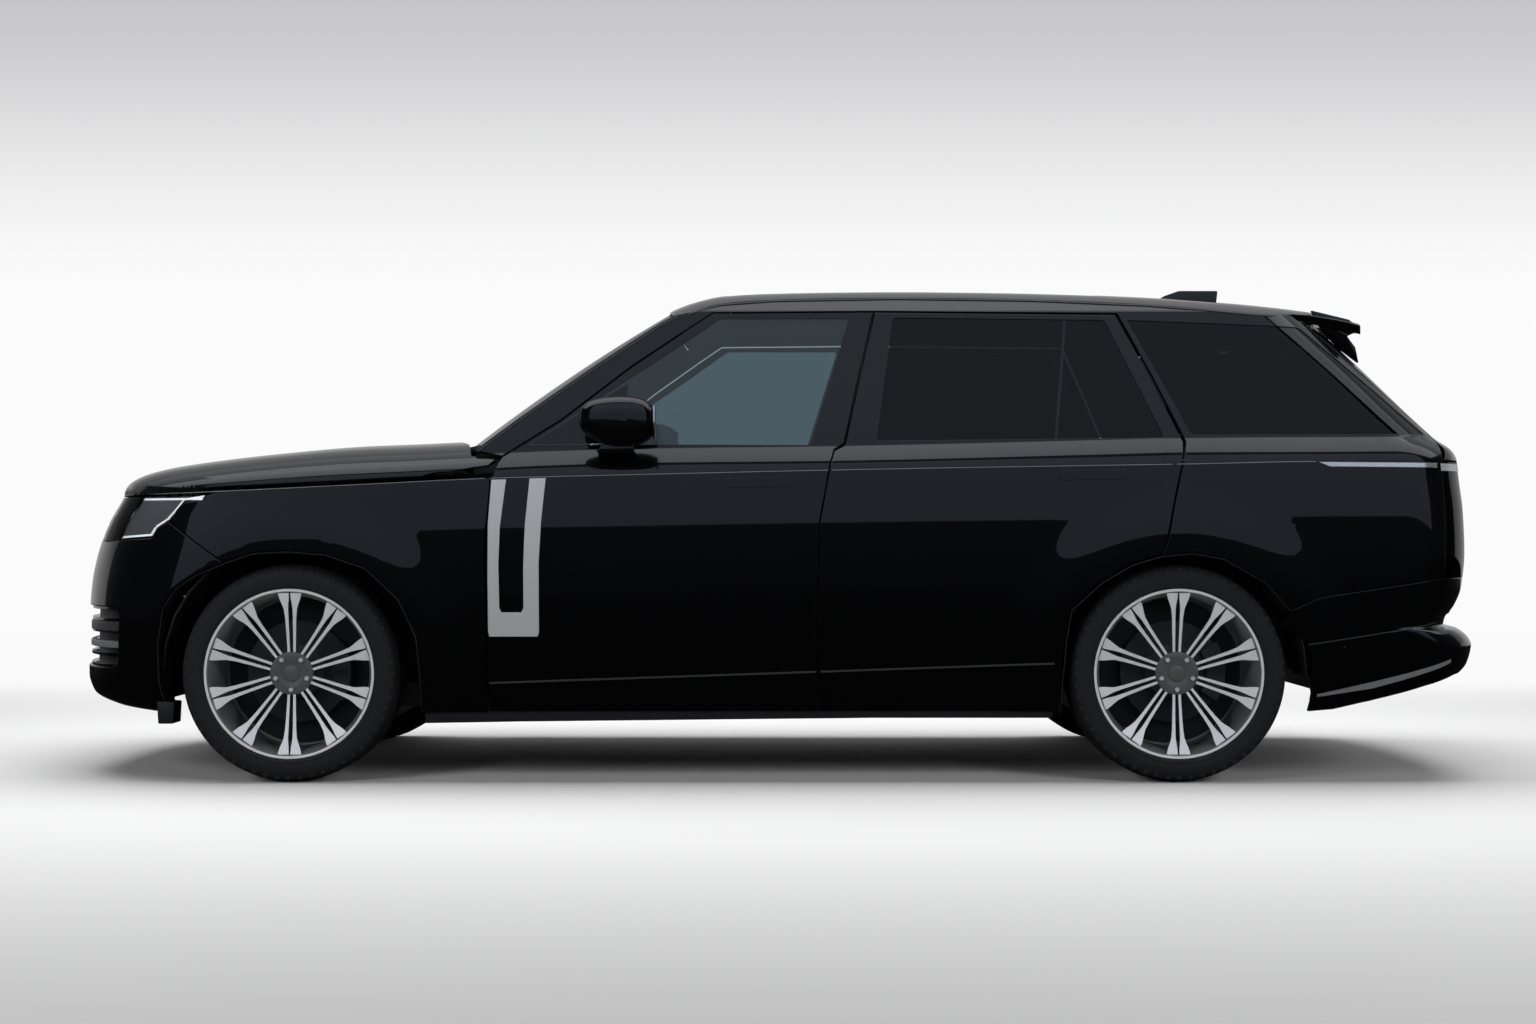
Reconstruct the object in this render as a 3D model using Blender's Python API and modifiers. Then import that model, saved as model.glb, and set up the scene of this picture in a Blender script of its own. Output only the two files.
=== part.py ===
"""A long luxury sport utility vehicle as separate named pieces that move like the real ones.

+X runs to the tail, +Y to the vehicle's right, +Z up. The middle of the ground footprint is the origin.
One skin, given by a few lines along the body, carries every outer panel. Each panel is drawn flat as an
outline, cut along evenly spaced stations and laid on that skin with its own wall thickness.
"""
import math

import bmesh
import bpy
from mathutils import Matrix, Vector

# Overall sizes in metres
LENGTH = 5.280
BODY_HEIGHT = 1.842
HALF_WIDTH = 1.005
WHEELBASE = 3.197
FRONT_OVERHANG = 0.894
FRONT_AXLE_X = FRONT_OVERHANG - LENGTH / 2
REAR_AXLE_X = FRONT_AXLE_X + WHEELBASE

# Wheels
TYRE_RADIUS = 0.392
TYRE_HALF_WIDTH = 0.142
TYRE_SHOULDER_DROP = 0.012
RIM_RADIUS = 0.306
RIM_LIP_HEIGHT = 0.012
RIM_WALL = 0.014
BARREL_RADIUS = 0.272
WHEEL_CENTRE_Y = 0.846
SPOKE_PLATE = 0.022
SPOKE_FACE_INSET = 0.020
DISH_DEPTH = 0.030
HUB_RADIUS = 0.079
HUB_REACH = 0.055
SPOKE_OUTER_RADIUS = 0.284
HUB_BORE_RADIUS = 0.034
SPOKE_PAIRS = 10
SPOKE_ROOT_SHARE = 0.30
SPOKE_WIDTH_ROOT = 0.013
SPOKE_WIDTH_TIP = 0.030
SLOT_WIDTH_ROOT = 0.009
SLOT_WIDTH_TIP = 0.012
SLOT_TIP_SHARE = 0.90
WHEEL_FACETS = 32

# Gaps and walls
TOUCH_GAP = 0.0003
SHUT_GAP = 0.006
SEAM = 0.00045
HALF_GAP = SHUT_GAP / 2
OVERRUN = 0.05
SKIN_WALL = 0.030
DOOR_SKIN = 0.034
DOOR_DEPTH = 0.135
DOOR_STEP = 0.045
GLASS_WALL = 0.005
GLASS_INSET = 0.010
GLASS_GAP = 0.0006
MERGE = 0.00005

# Lines along the body: (share of the length, share of the height)
WAIST_SHARES = ((0.0, 0.560), (0.11, 0.568), (0.21, 0.581), (0.31, 0.5946), (0.38, 0.5996),
                (0.54, 0.6103), (0.65, 0.6161), (0.78, 0.622), (0.87, 0.627), (1.0, 0.627))
BELT_SHARES = ((0.0, 0.600), (0.20, 0.620), (0.31, 0.644), (0.352, 0.6493), (0.42, 0.6542),
               (0.54, 0.6582), (0.72, 0.670), (0.78, 0.6741), (1.0, 0.678))
LOWER_CREASE_LINE_SHARES = ((0.26, 0.191), (1.0, 0.263))
WAIST_LINE_SHARES = ((0.38, 0.5996), (0.78, 0.622))
BELT_LINE_SHARES = ((0.352, 0.6493), (0.78, 0.6741))
LOWER_CREASE_SHARES = ((0.0, 0.165), (0.26, 0.191), (0.53, 0.2175), (0.70, 0.2343), (1.0, 0.263))
BONNET_TOP_SHARES = ((0.0, 0.560), (0.0245, 0.568), (0.028, 0.582), (0.036, 0.601), (0.0625, 0.6225),
                     (0.088, 0.634), (0.147, 0.654), (0.207, 0.669), (0.251, 0.674), (0.320, 0.684))
ROOF_TOP_SHARES = ((0.400, 0.925), (0.4205, 0.9475), (0.4288, 0.960), (0.4424, 0.9745), (0.462, 0.987),
                   (0.491, 0.9925), (0.554, 0.996), (0.591, 0.9965), (0.661, 0.9945), (0.733, 0.989), (0.766, 0.985),
                   (0.814, 0.976), (0.858, 0.9645), (0.894, 0.950), (0.909, 0.940), (0.930, 0.919))
# Section: half widths as shares of HALF_WIDTH
SKIRT_SHARE = 0.925
SIDE_SHARE = 0.985
SIDE_SWELL_SHARE = 0.015
BELT_WIDTH_SHARE = 0.925
CANT_WIDTH_SHARE = 0.786
GLASSHOUSE_SWELL_SHARE = 0.008
SKIRT_HEIGHT_SHARE = 0.110
CANT_HEIGHT_SHARE = 0.930
CANT_FALL = 1.10
SHOULDER_POWER = 1.5
ROOF_FALL = 0.070
ROOF_FALL_HALF_WIDTH = 0.740
ROOF_FALL_POWER = 2.9
# Taper of the plan: (share of the length, share of the width)
TAPER_SHARES = ((0.0, 0.965), (0.17, 0.985), (0.31, 1.0), (0.80, 1.0), (0.90, 0.990), (1.0, 0.975))
# Nose and tail in profile: (share of the height, share of the length)
NOSE_SHARES = ((0.125, 0.050), (0.14, 0.020), (0.165, 0.004), (0.20, 0.0), (0.34, 0.001), (0.39, 0.0025),
               (0.44, 0.006), (0.473, 0.0095), (0.515, 0.0155), (0.54, 0.0205), (0.56, 0.0245), (0.60, 0.034),
               (0.70, 0.20))
TAIL_SHARES = ((0.10, 0.975), (0.304, 0.981), (0.343, 0.9875), (0.380, 0.9925), (0.45, 0.9948), (0.53, 0.9938),
               (0.60, 0.991), (0.634, 0.990), (0.652, 0.9875), (0.678, 0.9765), (0.834, 0.922), (0.94, 0.885))
BUMPER_TAIL_SHARES = ((0.12, 0.945), (0.19, 0.985), (0.228, 0.9975), (0.264, 1.0), (0.275, 0.9985),
                      (0.296, 0.990), (0.304, 0.980), (0.318, 0.981), (0.343, 0.9875), (0.38, 0.9925), (0.45, 0.9948))
NOSE_REACH = 0.80
NOSE_POWER = 3.0
TAIL_REACH = 0.34
TAIL_POWER = 2.8
ARC_STEPS = 60
SIDE_STEPS = 2000

# Shut lines and outlines seen from the side: (share of the length, share of the height)
DOOR_FRONT_LINE_SHARES = ((0.3044, 0.136), (0.3038, 0.318), (0.3027, 0.435), (0.3032, 0.474), (0.3064, 0.591),
                          (0.3106, 0.626), (0.3134, 0.6385))
PILLAR_LINE_SHARES = ((0.3527, 0.7095), (0.4010, 0.818), (0.440, 0.895), (0.457, 0.927))
DOOR_MIDDLE_LINE_SHARES = ((0.5292, 0.136), (0.5284, 0.357), (0.5305, 0.513), (0.5373, 0.620), (0.5403, 0.650),
                           (0.5479, 0.662), (0.5587, 0.800), (0.5695, 0.930))
DOOR_REAR_LINE_SHARES = ((0.7665, 0.474), (0.7718, 0.552), (0.7780, 0.630), (0.7807, 0.666),
                         (0.7786, 0.682), (0.7585, 0.806), (0.7379, 0.925))
REAR_ARCH_FRONT_SHARES = ((0.6940, 0.136), (0.6950, 0.200), (0.6970, 0.280), (0.7006, 0.338), (0.7212, 0.392),
                          (0.7420, 0.427), (0.7620, 0.444))
REAR_ARCH_BACK_SHARES = ((0.7837, 0.4495), (0.8045, 0.439), (0.8335, 0.392), (0.8502, 0.338))
FRONT_ARCH_BACK_SHARES = ((0.2597, 0.136), (0.2597, 0.196), (0.2570, 0.286), (0.2447, 0.360), (0.2223, 0.420),
                          (0.1950, 0.447), (0.1687, 0.453), (0.1443, 0.449), (0.1250, 0.430))
FRONT_ARCH_FRONT_SHARES = ((0.1060, 0.408), (0.0907, 0.380), (0.0811, 0.340), (0.0770, 0.270), (0.0775, 0.200),
                           (0.0820, 0.130))
SILL_BOTTOM_SHARE = 0.136
DOOR_TOP_SHARE = 0.9295
SCREEN_EDGE_SHARES = ((0.2945, 0.650), (0.3240, 0.714), (0.3770, 0.822), (0.4200, 0.905), (0.4300, 0.921))
RAIL_STATION_SHARES = (0.4450, 0.4620, 0.500, 0.587, 0.680, 0.760, 0.803, 0.830, 0.845, 0.860)
TAILGATE_SIDE_SHARES = ((0.8700, 0.905), (0.9545, 0.690), (0.9575, 0.667))
LAMP_SIDE_SHARES = ((0.9570, 0.628), (0.9568, 0.400))
QUARTER_BOTTOM_SHARES = ((0.8706, 0.363),)
FRONT_GLASS_SHARES = ((0.3300, 0.660), (0.3990, 0.661), (0.5240, 0.6605), (0.5515, 0.914), (0.4620, 0.914),
                      (0.4300, 0.850))
REAR_GLASS_SHARES = ((0.5700, 0.669), (0.7660, 0.6745), (0.7285, 0.911), (0.5820, 0.916))
QUARTER_GLASS_SHARES = ((0.7850, 0.680), (0.9500, 0.682), (0.8650, 0.897), (0.7440, 0.911))
HEADLAMP_SHARES = ((0.0309, 0.4705), (0.0720, 0.478), (0.0756, 0.496), (0.0843, 0.5105), (0.0903, 0.530),
                   (0.0956, 0.548), (0.1098, 0.5535), (0.1114, 0.5605), (0.0560, 0.5605), (0.0350, 0.5595))

# Openings in the nose and the inside pieces, in metres
LAMP_INNER_Y = 0.560
GRILLE_HALF_WIDTH = 0.540
GRILLE_BOTTOM = 0.800
GRILLE_TOP = 1.034
GRILLE_BARS = 4
GRILLE_BAR = 0.020
INTAKE_HALF_WIDTH = 0.860
INTAKE_BOTTOM = 0.405
INTAKE_TOP = 0.629
NOSE_WALL = 0.035
LAMP_DEPTH = 0.110
BUMPER_TOP = 0.872
FLOOR_BOTTOM = 0.262
FLOOR_WALL = 0.060
FLOOR_HALF_WIDTH = 0.745
FLOOR_REAR_X = 2.380
WELL_REACH = 0.500
SILL_TOP = 0.430
SILL_DEPTH = 0.145
SILL_WALL = 0.070
CANT_DEPTH = 0.040
BULKHEAD_X = -1.180
BULKHEAD_WALL = 0.040
BULKHEAD_TOP = 1.120
FLOOR_FRONT_X = BULKHEAD_X + BULKHEAD_WALL + TOUCH_GAP
LINER_FRONT_INNER_Y = 0.470
LINER_REAR_INNER_Y = 0.610
AXLE_ZONE_HALF_WIDTH = LINER_REAR_INNER_Y - TOUCH_GAP


def place_x(share):
    return (share - 0.5) * LENGTH


def place(pairs):
    """Turn (length share, height share) pairs into side-view places."""
    return [(place_x(u), h * BODY_HEIGHT) for u, h in pairs]


def follow(pairs, at):
    """Read a smooth curve that passes through the pairs without overshooting."""
    last = len(pairs) - 1
    if at <= pairs[0][0]:
        return pairs[0][1]
    if at >= pairs[last][0]:
        return pairs[last][1]
    index = 0
    while pairs[index + 1][0] < at:
        index += 1

    def chord(i):
        return (pairs[i + 1][1] - pairs[i][1]) / (pairs[i + 1][0] - pairs[i][0])

    def slope(i):
        if i == 0:
            return chord(0)
        if i == last:
            return chord(last - 1)
        before, after = chord(i - 1), chord(i)
        if before * after <= 0:
            return 0
        return 2 * before * after / (before + after)

    span = pairs[index + 1][0] - pairs[index][0]
    t = (at - pairs[index][0]) / span
    rise = 3 * t * t - 2 * t * t * t
    lead = t * (1 - t) * (1 - t)
    trail = t * t * (t - 1)
    return (pairs[index][1] * (1 - rise) + pairs[index + 1][1] * rise
            + span * (lead * slope(index) + trail * slope(index + 1)))


def section_width(x, z):
    """Half width of the long middle of the body at a place along it and a height."""
    u = x / LENGTH + 0.5
    crease = BODY_HEIGHT * follow(LOWER_CREASE_SHARES, u)
    waist = BODY_HEIGHT * follow(WAIST_SHARES, u)
    belt = BODY_HEIGHT * follow(BELT_SHARES, u)
    cant = BODY_HEIGHT * CANT_HEIGHT_SHARE
    skirt = BODY_HEIGHT * SKIRT_HEIGHT_SHARE
    if z < crease:
        t = max((z - skirt) / (crease - skirt), 0)
        share = SKIRT_SHARE + (SIDE_SHARE - SKIRT_SHARE) * t
    elif z < waist:
        t = (z - crease) / (waist - crease)
        share = SIDE_SHARE + SIDE_SWELL_SHARE * 4 * t * (1 - t)
    elif z < belt:
        t = (z - waist) / (belt - waist)
        share = SIDE_SHARE - (SIDE_SHARE - BELT_WIDTH_SHARE) * t ** SHOULDER_POWER
    elif z < cant:
        t = (z - belt) / (cant - belt)
        share = (BELT_WIDTH_SHARE - (BELT_WIDTH_SHARE - CANT_WIDTH_SHARE) * t
                 + GLASSHOUSE_SWELL_SHARE * 4 * t * (1 - t))
    else:
        share = CANT_WIDTH_SHARE - CANT_FALL * (z - cant) / HALF_WIDTH
    return HALF_WIDTH * share * follow(TAPER_SHARES, u)


class End:
    """The rounded plan of the nose or the tail; distances along it are measured from the centre line."""

    def __init__(self, sign, reach, power, profile):
        self.sign, self.reach, self.power, self.profile = sign, reach, power, profile
        self.table = [(0, 0)]
        run, last = 0, (reach, 0)
        for i in range(1, ARC_STEPS + 1):
            angle = math.pi / 2 * i / ARC_STEPS
            here = (reach * math.cos(angle) ** (2 / power), HALF_WIDTH * math.sin(angle) ** (2 / power))
            run += math.dist(here, last)
            last = here
            self.table.append((run, angle))
        self.back = [(angle, run) for run, angle in self.table]

    def tip(self, z):
        return place_x(follow(self.profile, z / BODY_HEIGHT))

    def narrowing(self, x, z):
        root = self.tip(z) - self.sign * self.reach
        t = (x - root) * self.sign / self.reach
        if t <= 0:
            return 1
        return max(1 - t ** self.power, 0) ** (1 / self.power)

    def along(self, x, z):
        """Distance along the plan curve of the point at x."""
        root = self.tip(z) - self.sign * self.reach
        t = min((x - root) * self.sign / self.reach, 1)
        if t < 0:
            return self.table[-1][0] - t * self.reach
        return follow(self.back, math.acos(t ** (self.power / 2)))

    def at_width(self, y, z):
        """Distance along the plan curve of the point at a half width."""
        share = min(y / section_width(self.tip(z) - self.sign * self.reach / 2, z), 1)
        return follow(self.back, math.asin(share ** (self.power / 2)))

    def point(self, along, z):
        """The skin point at a distance along the plan curve; negative distances are on the left."""
        angle = follow(self.table, abs(along))
        root = self.tip(z) - self.sign * self.reach
        past = max(abs(along) - self.table[-1][0], 0)
        x = root + self.sign * (self.reach * max(math.cos(angle), 0) ** (2 / self.power) - past)
        y = section_width(x, z) * math.sin(angle) ** (2 / self.power)
        return x, math.copysign(y, along)

    def skin(self, along, z, depth):
        """The point at a depth behind the skin, measured square to the plan curve."""
        step = self.reach / ARC_STEPS
        ax, ay = self.point(along - step, z)
        bx, by = self.point(along + step, z)
        x, y = self.point(along, z)
        size = math.dist((ax, ay), (bx, by))
        return Vector((x - self.sign * depth * (by - ay) / size, y + self.sign * depth * (bx - ax) / size, z))


NOSE = End(-1, NOSE_REACH, NOSE_POWER, NOSE_SHARES)
TAIL = End(1, TAIL_REACH, TAIL_POWER, TAIL_SHARES)
BUMPER_TAIL = End(1, TAIL_REACH, TAIL_POWER, BUMPER_TAIL_SHARES)


def half_width(x, z):
    return section_width(x, z) * NOSE.narrowing(x, z) * TAIL.narrowing(x, z)


def rail_height(x):
    """Height of the seam where the roof meets the body side."""
    height = BODY_HEIGHT * CANT_HEIGHT_SHARE
    for _ in range(ARC_STEPS):
        height = roof_skin(x, half_width(x, height), 0).z
    return height


def side_skin(side):
    """Lays (x, z) on the body side; depth runs straight inwards."""
    def lay(x, z, depth):
        step = LENGTH / SIDE_STEPS
        rise = (half_width(x + step, z) - half_width(x - step, z)) / (2 * step)
        size = math.hypot(1, rise)
        return Vector((x + depth * rise / size, side * (half_width(x, z) - depth / size), z))
    return lay


BONNET_EDGE_POWER = 4.0
BONNET_CROWN_POWER = 2.2
BONNET_LEAN_POWER = 3.0


def bonnet_skin(x, y, depth):
    u = x / LENGTH + 0.5
    edge = BODY_HEIGHT * follow(WAIST_SHARES, u)
    top = max(BODY_HEIGHT * follow(BONNET_TOP_SHARES, u), edge)
    share = min(abs(y) / max(half_width(x, edge), MERGE), 1)
    height = edge + (top - edge) * (1 - share ** BONNET_EDGE_POWER) ** (1 / BONNET_CROWN_POWER)
    ahead = max((NOSE.tip(edge) + NOSE_REACH - x) / NOSE_REACH, 0)
    across = abs(y) / section_width(x, edge)
    lean = min(ahead ** NOSE_POWER + across ** NOSE_POWER, 1) ** BONNET_LEAN_POWER
    push = Vector((ahead ** (NOSE_POWER - 1), -math.copysign(across ** (NOSE_POWER - 1), y), 0))
    if push.length > 0:
        push.normalize()
    way = push * lean - Vector((0, 0, 1 - lean))
    return Vector((x, y, height)) + way.normalized() * depth


def roof_skin(x, y, depth):
    top = BODY_HEIGHT * follow(ROOF_TOP_SHARES, x / LENGTH + 0.5)
    return Vector((x, y, top - ROOF_FALL * (abs(y) / ROOF_FALL_HALF_WIDTH) ** ROOF_FALL_POWER - depth))


SCREEN_FOOT_SHARE = (0.2740, 0.663)
SCREEN_HEAD_SHARE = (0.4205, 0.948)
SCREEN_BOW_SHARE = 0.010
SCREEN_SWEEP_FOOT = 0.150
SCREEN_SWEEP_HEAD = 0.075
SCREEN_HALF_WIDTH_FOOT = 0.884
SCREEN_HALF_WIDTH_HEAD = 0.745


def screen_skin(t, y, depth):
    """t runs from the foot of the windscreen (0) to its head (1)."""
    (foot_u, foot_h), (head_u, head_h) = SCREEN_FOOT_SHARE, SCREEN_HEAD_SHARE
    share = abs(y) / SCREEN_HALF_WIDTH_FOOT
    sweep = SCREEN_SWEEP_FOOT + (SCREEN_SWEEP_HEAD - SCREEN_SWEEP_FOOT) * t
    x = place_x(foot_u + (head_u - foot_u) * t) + sweep * share * share
    z = BODY_HEIGHT * (foot_h + (head_h - foot_h) * t + SCREEN_BOW_SHARE * 4 * t * (1 - t))
    z -= ROOF_FALL * t * (abs(y) / ROOF_FALL_HALF_WIDTH) ** ROOF_FALL_POWER
    run = place_x(head_u) - place_x(foot_u)
    rise = BODY_HEIGHT * (head_h - foot_h)
    size = math.hypot(run, rise)
    return Vector((x + depth * rise / size, y, z - depth * run / size))


def clear_scene():
    for item in list(bpy.data.objects):
        bpy.data.objects.remove(item, do_unlink=True)


def make_collection(name):
    group = bpy.data.collections.new(name)
    bpy.context.scene.collection.children.link(group)
    return group


clear_scene()
BODY = make_collection("long_luxury_suv")
CUTTERS = make_collection("cutters")


def material(name, colour, roughness, metallic, alpha=1.0):
    made = bpy.data.materials.new(name)
    made.use_nodes = True
    shader = made.node_tree.nodes["Principled BSDF"]
    shader.inputs["Base Color"].default_value = (*colour, 1)
    shader.inputs["Roughness"].default_value = roughness
    shader.inputs["Metallic"].default_value = metallic
    shader.inputs["Alpha"].default_value = alpha
    made.diffuse_color = (*colour, alpha)
    return made


LOOKS = {
    "paint": ((0.008, 0.009, 0.011), 0.16, 0.0),
    "black_trim": ((0.012, 0.012, 0.013), 0.40, 0.0),
    "clear_glass": ((0.055, 0.075, 0.080), 0.05, 0.0),
    "dark_glass": ((0.006, 0.007, 0.009), 0.05, 0.0),
    "lamp_glass": ((0.62, 0.64, 0.66), 0.08, 0.0),
    "red_glass": ((0.05, 0.008, 0.010), 0.10, 0.0),
    "alloy": ((0.48, 0.49, 0.50), 0.25, 1.0),
    "tyre": ((0.012, 0.012, 0.013), 0.82, 0.0),
    "steel": ((0.22, 0.22, 0.23), 0.45, 1.0),
    "leather": ((0.045, 0.040, 0.037), 0.55, 0.0),
    "soft_trim": ((0.022, 0.022, 0.024), 0.62, 0.0),
    "satin_silver": ((0.62, 0.62, 0.62), 0.30, 1.0),
}


def finish(mesh_object, look, group=None):
    colour, roughness, metallic = LOOKS[look]
    mesh_object.data.materials.clear()
    mesh_object.data.materials.append(material(mesh_object.name + "_" + look, colour, roughness, metallic))
    for face in mesh_object.data.polygons:
        face.use_smooth = False
    (group or BODY).objects.link(mesh_object)
    return mesh_object


def make_object(name, mesh):
    return bpy.data.objects.new(name, mesh)


def outline_slab(name, outline, holes):
    """A unit-thick flat slab from a closed outline with holes, as a mesh."""
    curve = bpy.data.curves.new(name, "CURVE")
    curve.dimensions = "2D"
    curve.fill_mode = "BOTH"
    curve.extrude = 1
    for ring in [outline, *holes]:
        spline = curve.splines.new("POLY")
        spline.points.add(len(ring) - 1)
        for point, (a, b) in zip(spline.points, ring):
            point.co = (a, b, 0, 1)
        spline.use_cyclic_u = True
    guide = bpy.data.objects.new(name + "_guide", curve)
    CUTTERS.objects.link(guide)
    bpy.context.view_layer.update()
    mesh = bpy.data.meshes.new_from_object(guide.evaluated_get(bpy.context.evaluated_depsgraph_get()))
    bpy.data.objects.remove(guide, do_unlink=True)
    return mesh


def laid_panel(name, outline, skin, outer, inner, holes=(), cuts_a=(), cuts_b=(), lines=()):
    """Cut a flat slab along stations and sloped lines and lay it on a skin between two depths."""
    mesh = outline_slab(name, outline, holes)
    work = bmesh.new()
    work.from_mesh(mesh)
    bmesh.ops.remove_doubles(work, verts=work.verts, dist=MERGE)
    bmesh.ops.dissolve_limit(work, angle_limit=math.radians(1), verts=work.verts, edges=work.edges)
    for axis, stations in ((Vector((1, 0, 0)), cuts_a), (Vector((0, 1, 0)), cuts_b)):
        for station in stations:
            every = work.verts[:] + work.edges[:] + work.faces[:]
            bmesh.ops.bisect_plane(work, geom=every, dist=TOUCH_GAP, plane_co=axis * station, plane_no=axis)
    for start, end in lines:
        every = work.verts[:] + work.edges[:] + work.faces[:]
        square = Vector((start[1] - end[1], end[0] - start[0], 0)).normalized()
        bmesh.ops.bisect_plane(work, geom=every, dist=TOUCH_GAP, plane_co=Vector((*start, 0)), plane_no=square)
    bmesh.ops.triangulate(work, faces=work.faces, quad_method="BEAUTY", ngon_method="BEAUTY")
    for vertex in work.verts:
        a, b, side = vertex.co
        depth = outer if side > 0 else inner
        vertex.co = skin(a, b, depth(a, b) if callable(depth) else depth)
    work.normal_update()
    bmesh.ops.recalc_face_normals(work, faces=work.faces)
    if work.calc_volume(signed=True) < 0:
        bmesh.ops.reverse_faces(work, faces=work.faces)
    work.to_mesh(mesh)
    work.free()
    return make_object(name, mesh)


def inset(ring, gap):
    """Move every side of a closed outline inwards by a gap."""
    area = sum(a[0] * b[1] - b[0] * a[1] for a, b in zip(ring, ring[1:] + ring[:1]))
    turn = 1 if area > 0 else -1
    moved = []
    count = len(ring)
    for i in range(count):
        before, here, after = (Vector(ring[(i + k) % count]) for k in (-1, 0, 1))
        first = (here - before).normalized()
        second = (after - here).normalized()
        square_first = Vector((-first.y, first.x)) * turn
        square_second = Vector((-second.y, second.x)) * turn
        middle = (square_first + square_second).normalized()
        moved.append(tuple(here + middle * gap / max(middle.dot(square_first), 0.4)))
    return moved


DENSE_STEP = 0.060


def dense(points):
    """Add points along the straight runs of an open line."""
    full = [points[0]]
    for start, end in zip(points, points[1:]):
        count = max(math.ceil(math.dist(start, end) / DENSE_STEP), 1)
        full += [tuple(a + (b - a) * i / count for a, b in zip(start, end)) for i in range(1, count + 1)]
    return full


def stations(low, high, count):
    return [low + (high - low) * i / count for i in range(1, count)]


def join(base, *others):
    """Weld solids that overlap into one."""
    for other in others:
        CUTTERS.objects.link(other)
        other.hide_render = True
        other.display_type = "WIRE"
    CUTTERS.objects.link(base)
    for other in others:
        step = base.modifiers.new("weld", "BOOLEAN")
        step.operation = "UNION"
        step.solver = "EXACT"
        step.object = other
    return flatten(base, others)


def cut(base, *others):
    for other in others:
        CUTTERS.objects.link(other)
        other.hide_render = True
        other.display_type = "WIRE"
    CUTTERS.objects.link(base)
    for other in others:
        step = base.modifiers.new("cut", "BOOLEAN")
        step.operation = "DIFFERENCE"
        step.solver = "EXACT"
        step.object = other
    return flatten(base, others)


def flatten(base, others):
    bpy.context.view_layer.update()
    mesh = bpy.data.meshes.new_from_object(base.evaluated_get(bpy.context.evaluated_depsgraph_get()))
    work = bmesh.new()
    work.from_mesh(mesh)
    bmesh.ops.transform(work, matrix=base.matrix_world, verts=work.verts)
    bmesh.ops.remove_doubles(work, verts=work.verts, dist=MERGE)
    bmesh.ops.dissolve_degenerate(work, edges=work.edges, dist=MERGE)
    bmesh.ops.triangulate(work, faces=work.faces)
    work.to_mesh(mesh)
    work.free()
    name = base.name
    for item in (base, *others):
        bpy.data.objects.remove(item, do_unlink=True)
    return bpy.data.objects.new(name, mesh)


def box(name, low, high):
    mesh = bpy.data.meshes.new(name)
    work = bmesh.new()
    size = [b - a for a, b in zip(low, high)]
    middle = [(a + b) / 2 for a, b in zip(low, high)]
    bmesh.ops.create_cube(work, size=1, matrix=Matrix.Translation(middle) @ Matrix.Diagonal((*size, 1)))
    work.to_mesh(mesh)
    work.free()
    return make_object(name, mesh)


def rod(name, start, end, radius, facets=12):
    mesh = bpy.data.meshes.new(name)
    work = bmesh.new()
    start, end = Vector(start), Vector(end)
    way = end - start
    turn = way.to_track_quat("Z", "Y").to_matrix().to_4x4()
    bmesh.ops.create_cone(work, cap_ends=True, segments=facets, radius1=radius, radius2=radius, depth=way.length,
                          matrix=Matrix.Translation((start + end) / 2) @ turn)
    work.to_mesh(mesh)
    work.free()
    return make_object(name, mesh)


def swept(name, profile, low, high, axis="Y"):
    """Push a closed profile along Y (drawn in XZ) or along Z (drawn in XY)."""
    mesh = outline_slab(name, profile, [])
    work = bmesh.new()
    work.from_mesh(mesh)
    bmesh.ops.remove_doubles(work, verts=work.verts, dist=MERGE)
    for vertex in work.verts:
        a, b, side = vertex.co
        along = high if side > 0 else low
        vertex.co = (a, along, b) if axis == "Y" else (a, b, along)
    work.normal_update()
    bmesh.ops.recalc_face_normals(work, faces=work.faces)
    work.to_mesh(mesh)
    work.free()
    return make_object(name, mesh)


def mirrored(source, name):
    mesh = source.data.copy()
    work = bmesh.new()
    work.from_mesh(mesh)
    bmesh.ops.scale(work, vec=(1, -1, 1), verts=work.verts)
    bmesh.ops.reverse_faces(work, faces=work.faces)
    work.to_mesh(mesh)
    work.free()
    return make_object(name, mesh)


def both_sides(base_name, build, look):
    """Build the left piece (y below zero) and its mirror image."""
    left = build(base_name + "_left")
    right = mirrored(left, base_name + "_right")
    finish(left, look)
    finish(right, look)
    return left, right


LEFT = side_skin(-1)
SIDE_CUTS_X = [place_x(u) for u in (0.10, 0.13, 0.17, 0.21, 0.26, 0.40, 0.64, 0.80, 0.84, 0.88, 0.91, 0.935)]
DOOR_CUTS_Z = [h * BODY_HEIGHT for h in (0.3, 0.44, 0.54, 0.80)]
CREASES = [place(pairs) for pairs in (LOWER_CREASE_LINE_SHARES, WAIST_LINE_SHARES, BELT_LINE_SHARES)]

# Closed outlines seen from the side, before their gaps
front_line = place(DOOR_FRONT_LINE_SHARES)
pillar_line = place(PILLAR_LINE_SHARES)
middle_line = place(DOOR_MIDDLE_LINE_SHARES)
rear_line = place(DOOR_REAR_LINE_SHARES)
arch_front = place(REAR_ARCH_FRONT_SHARES)
BELT_Z = BODY_HEIGHT * 0.655


def eased(line, low_shift, high_shift):
    """Move a shut line along the body, by other amounts below and above the belt."""
    return [(x + (high_shift if z > BELT_Z else low_shift), z) for x, z in line]


front_door_ring = front_line + pillar_line + eased(middle_line, HALF_GAP, -HALF_GAP / 2)[::-1]
rear_door_ring = eased(middle_line, -HALF_GAP, -HALF_GAP) + eased(rear_line, 0, -SHUT_GAP)[::-1] + arch_front[::-1]

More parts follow.
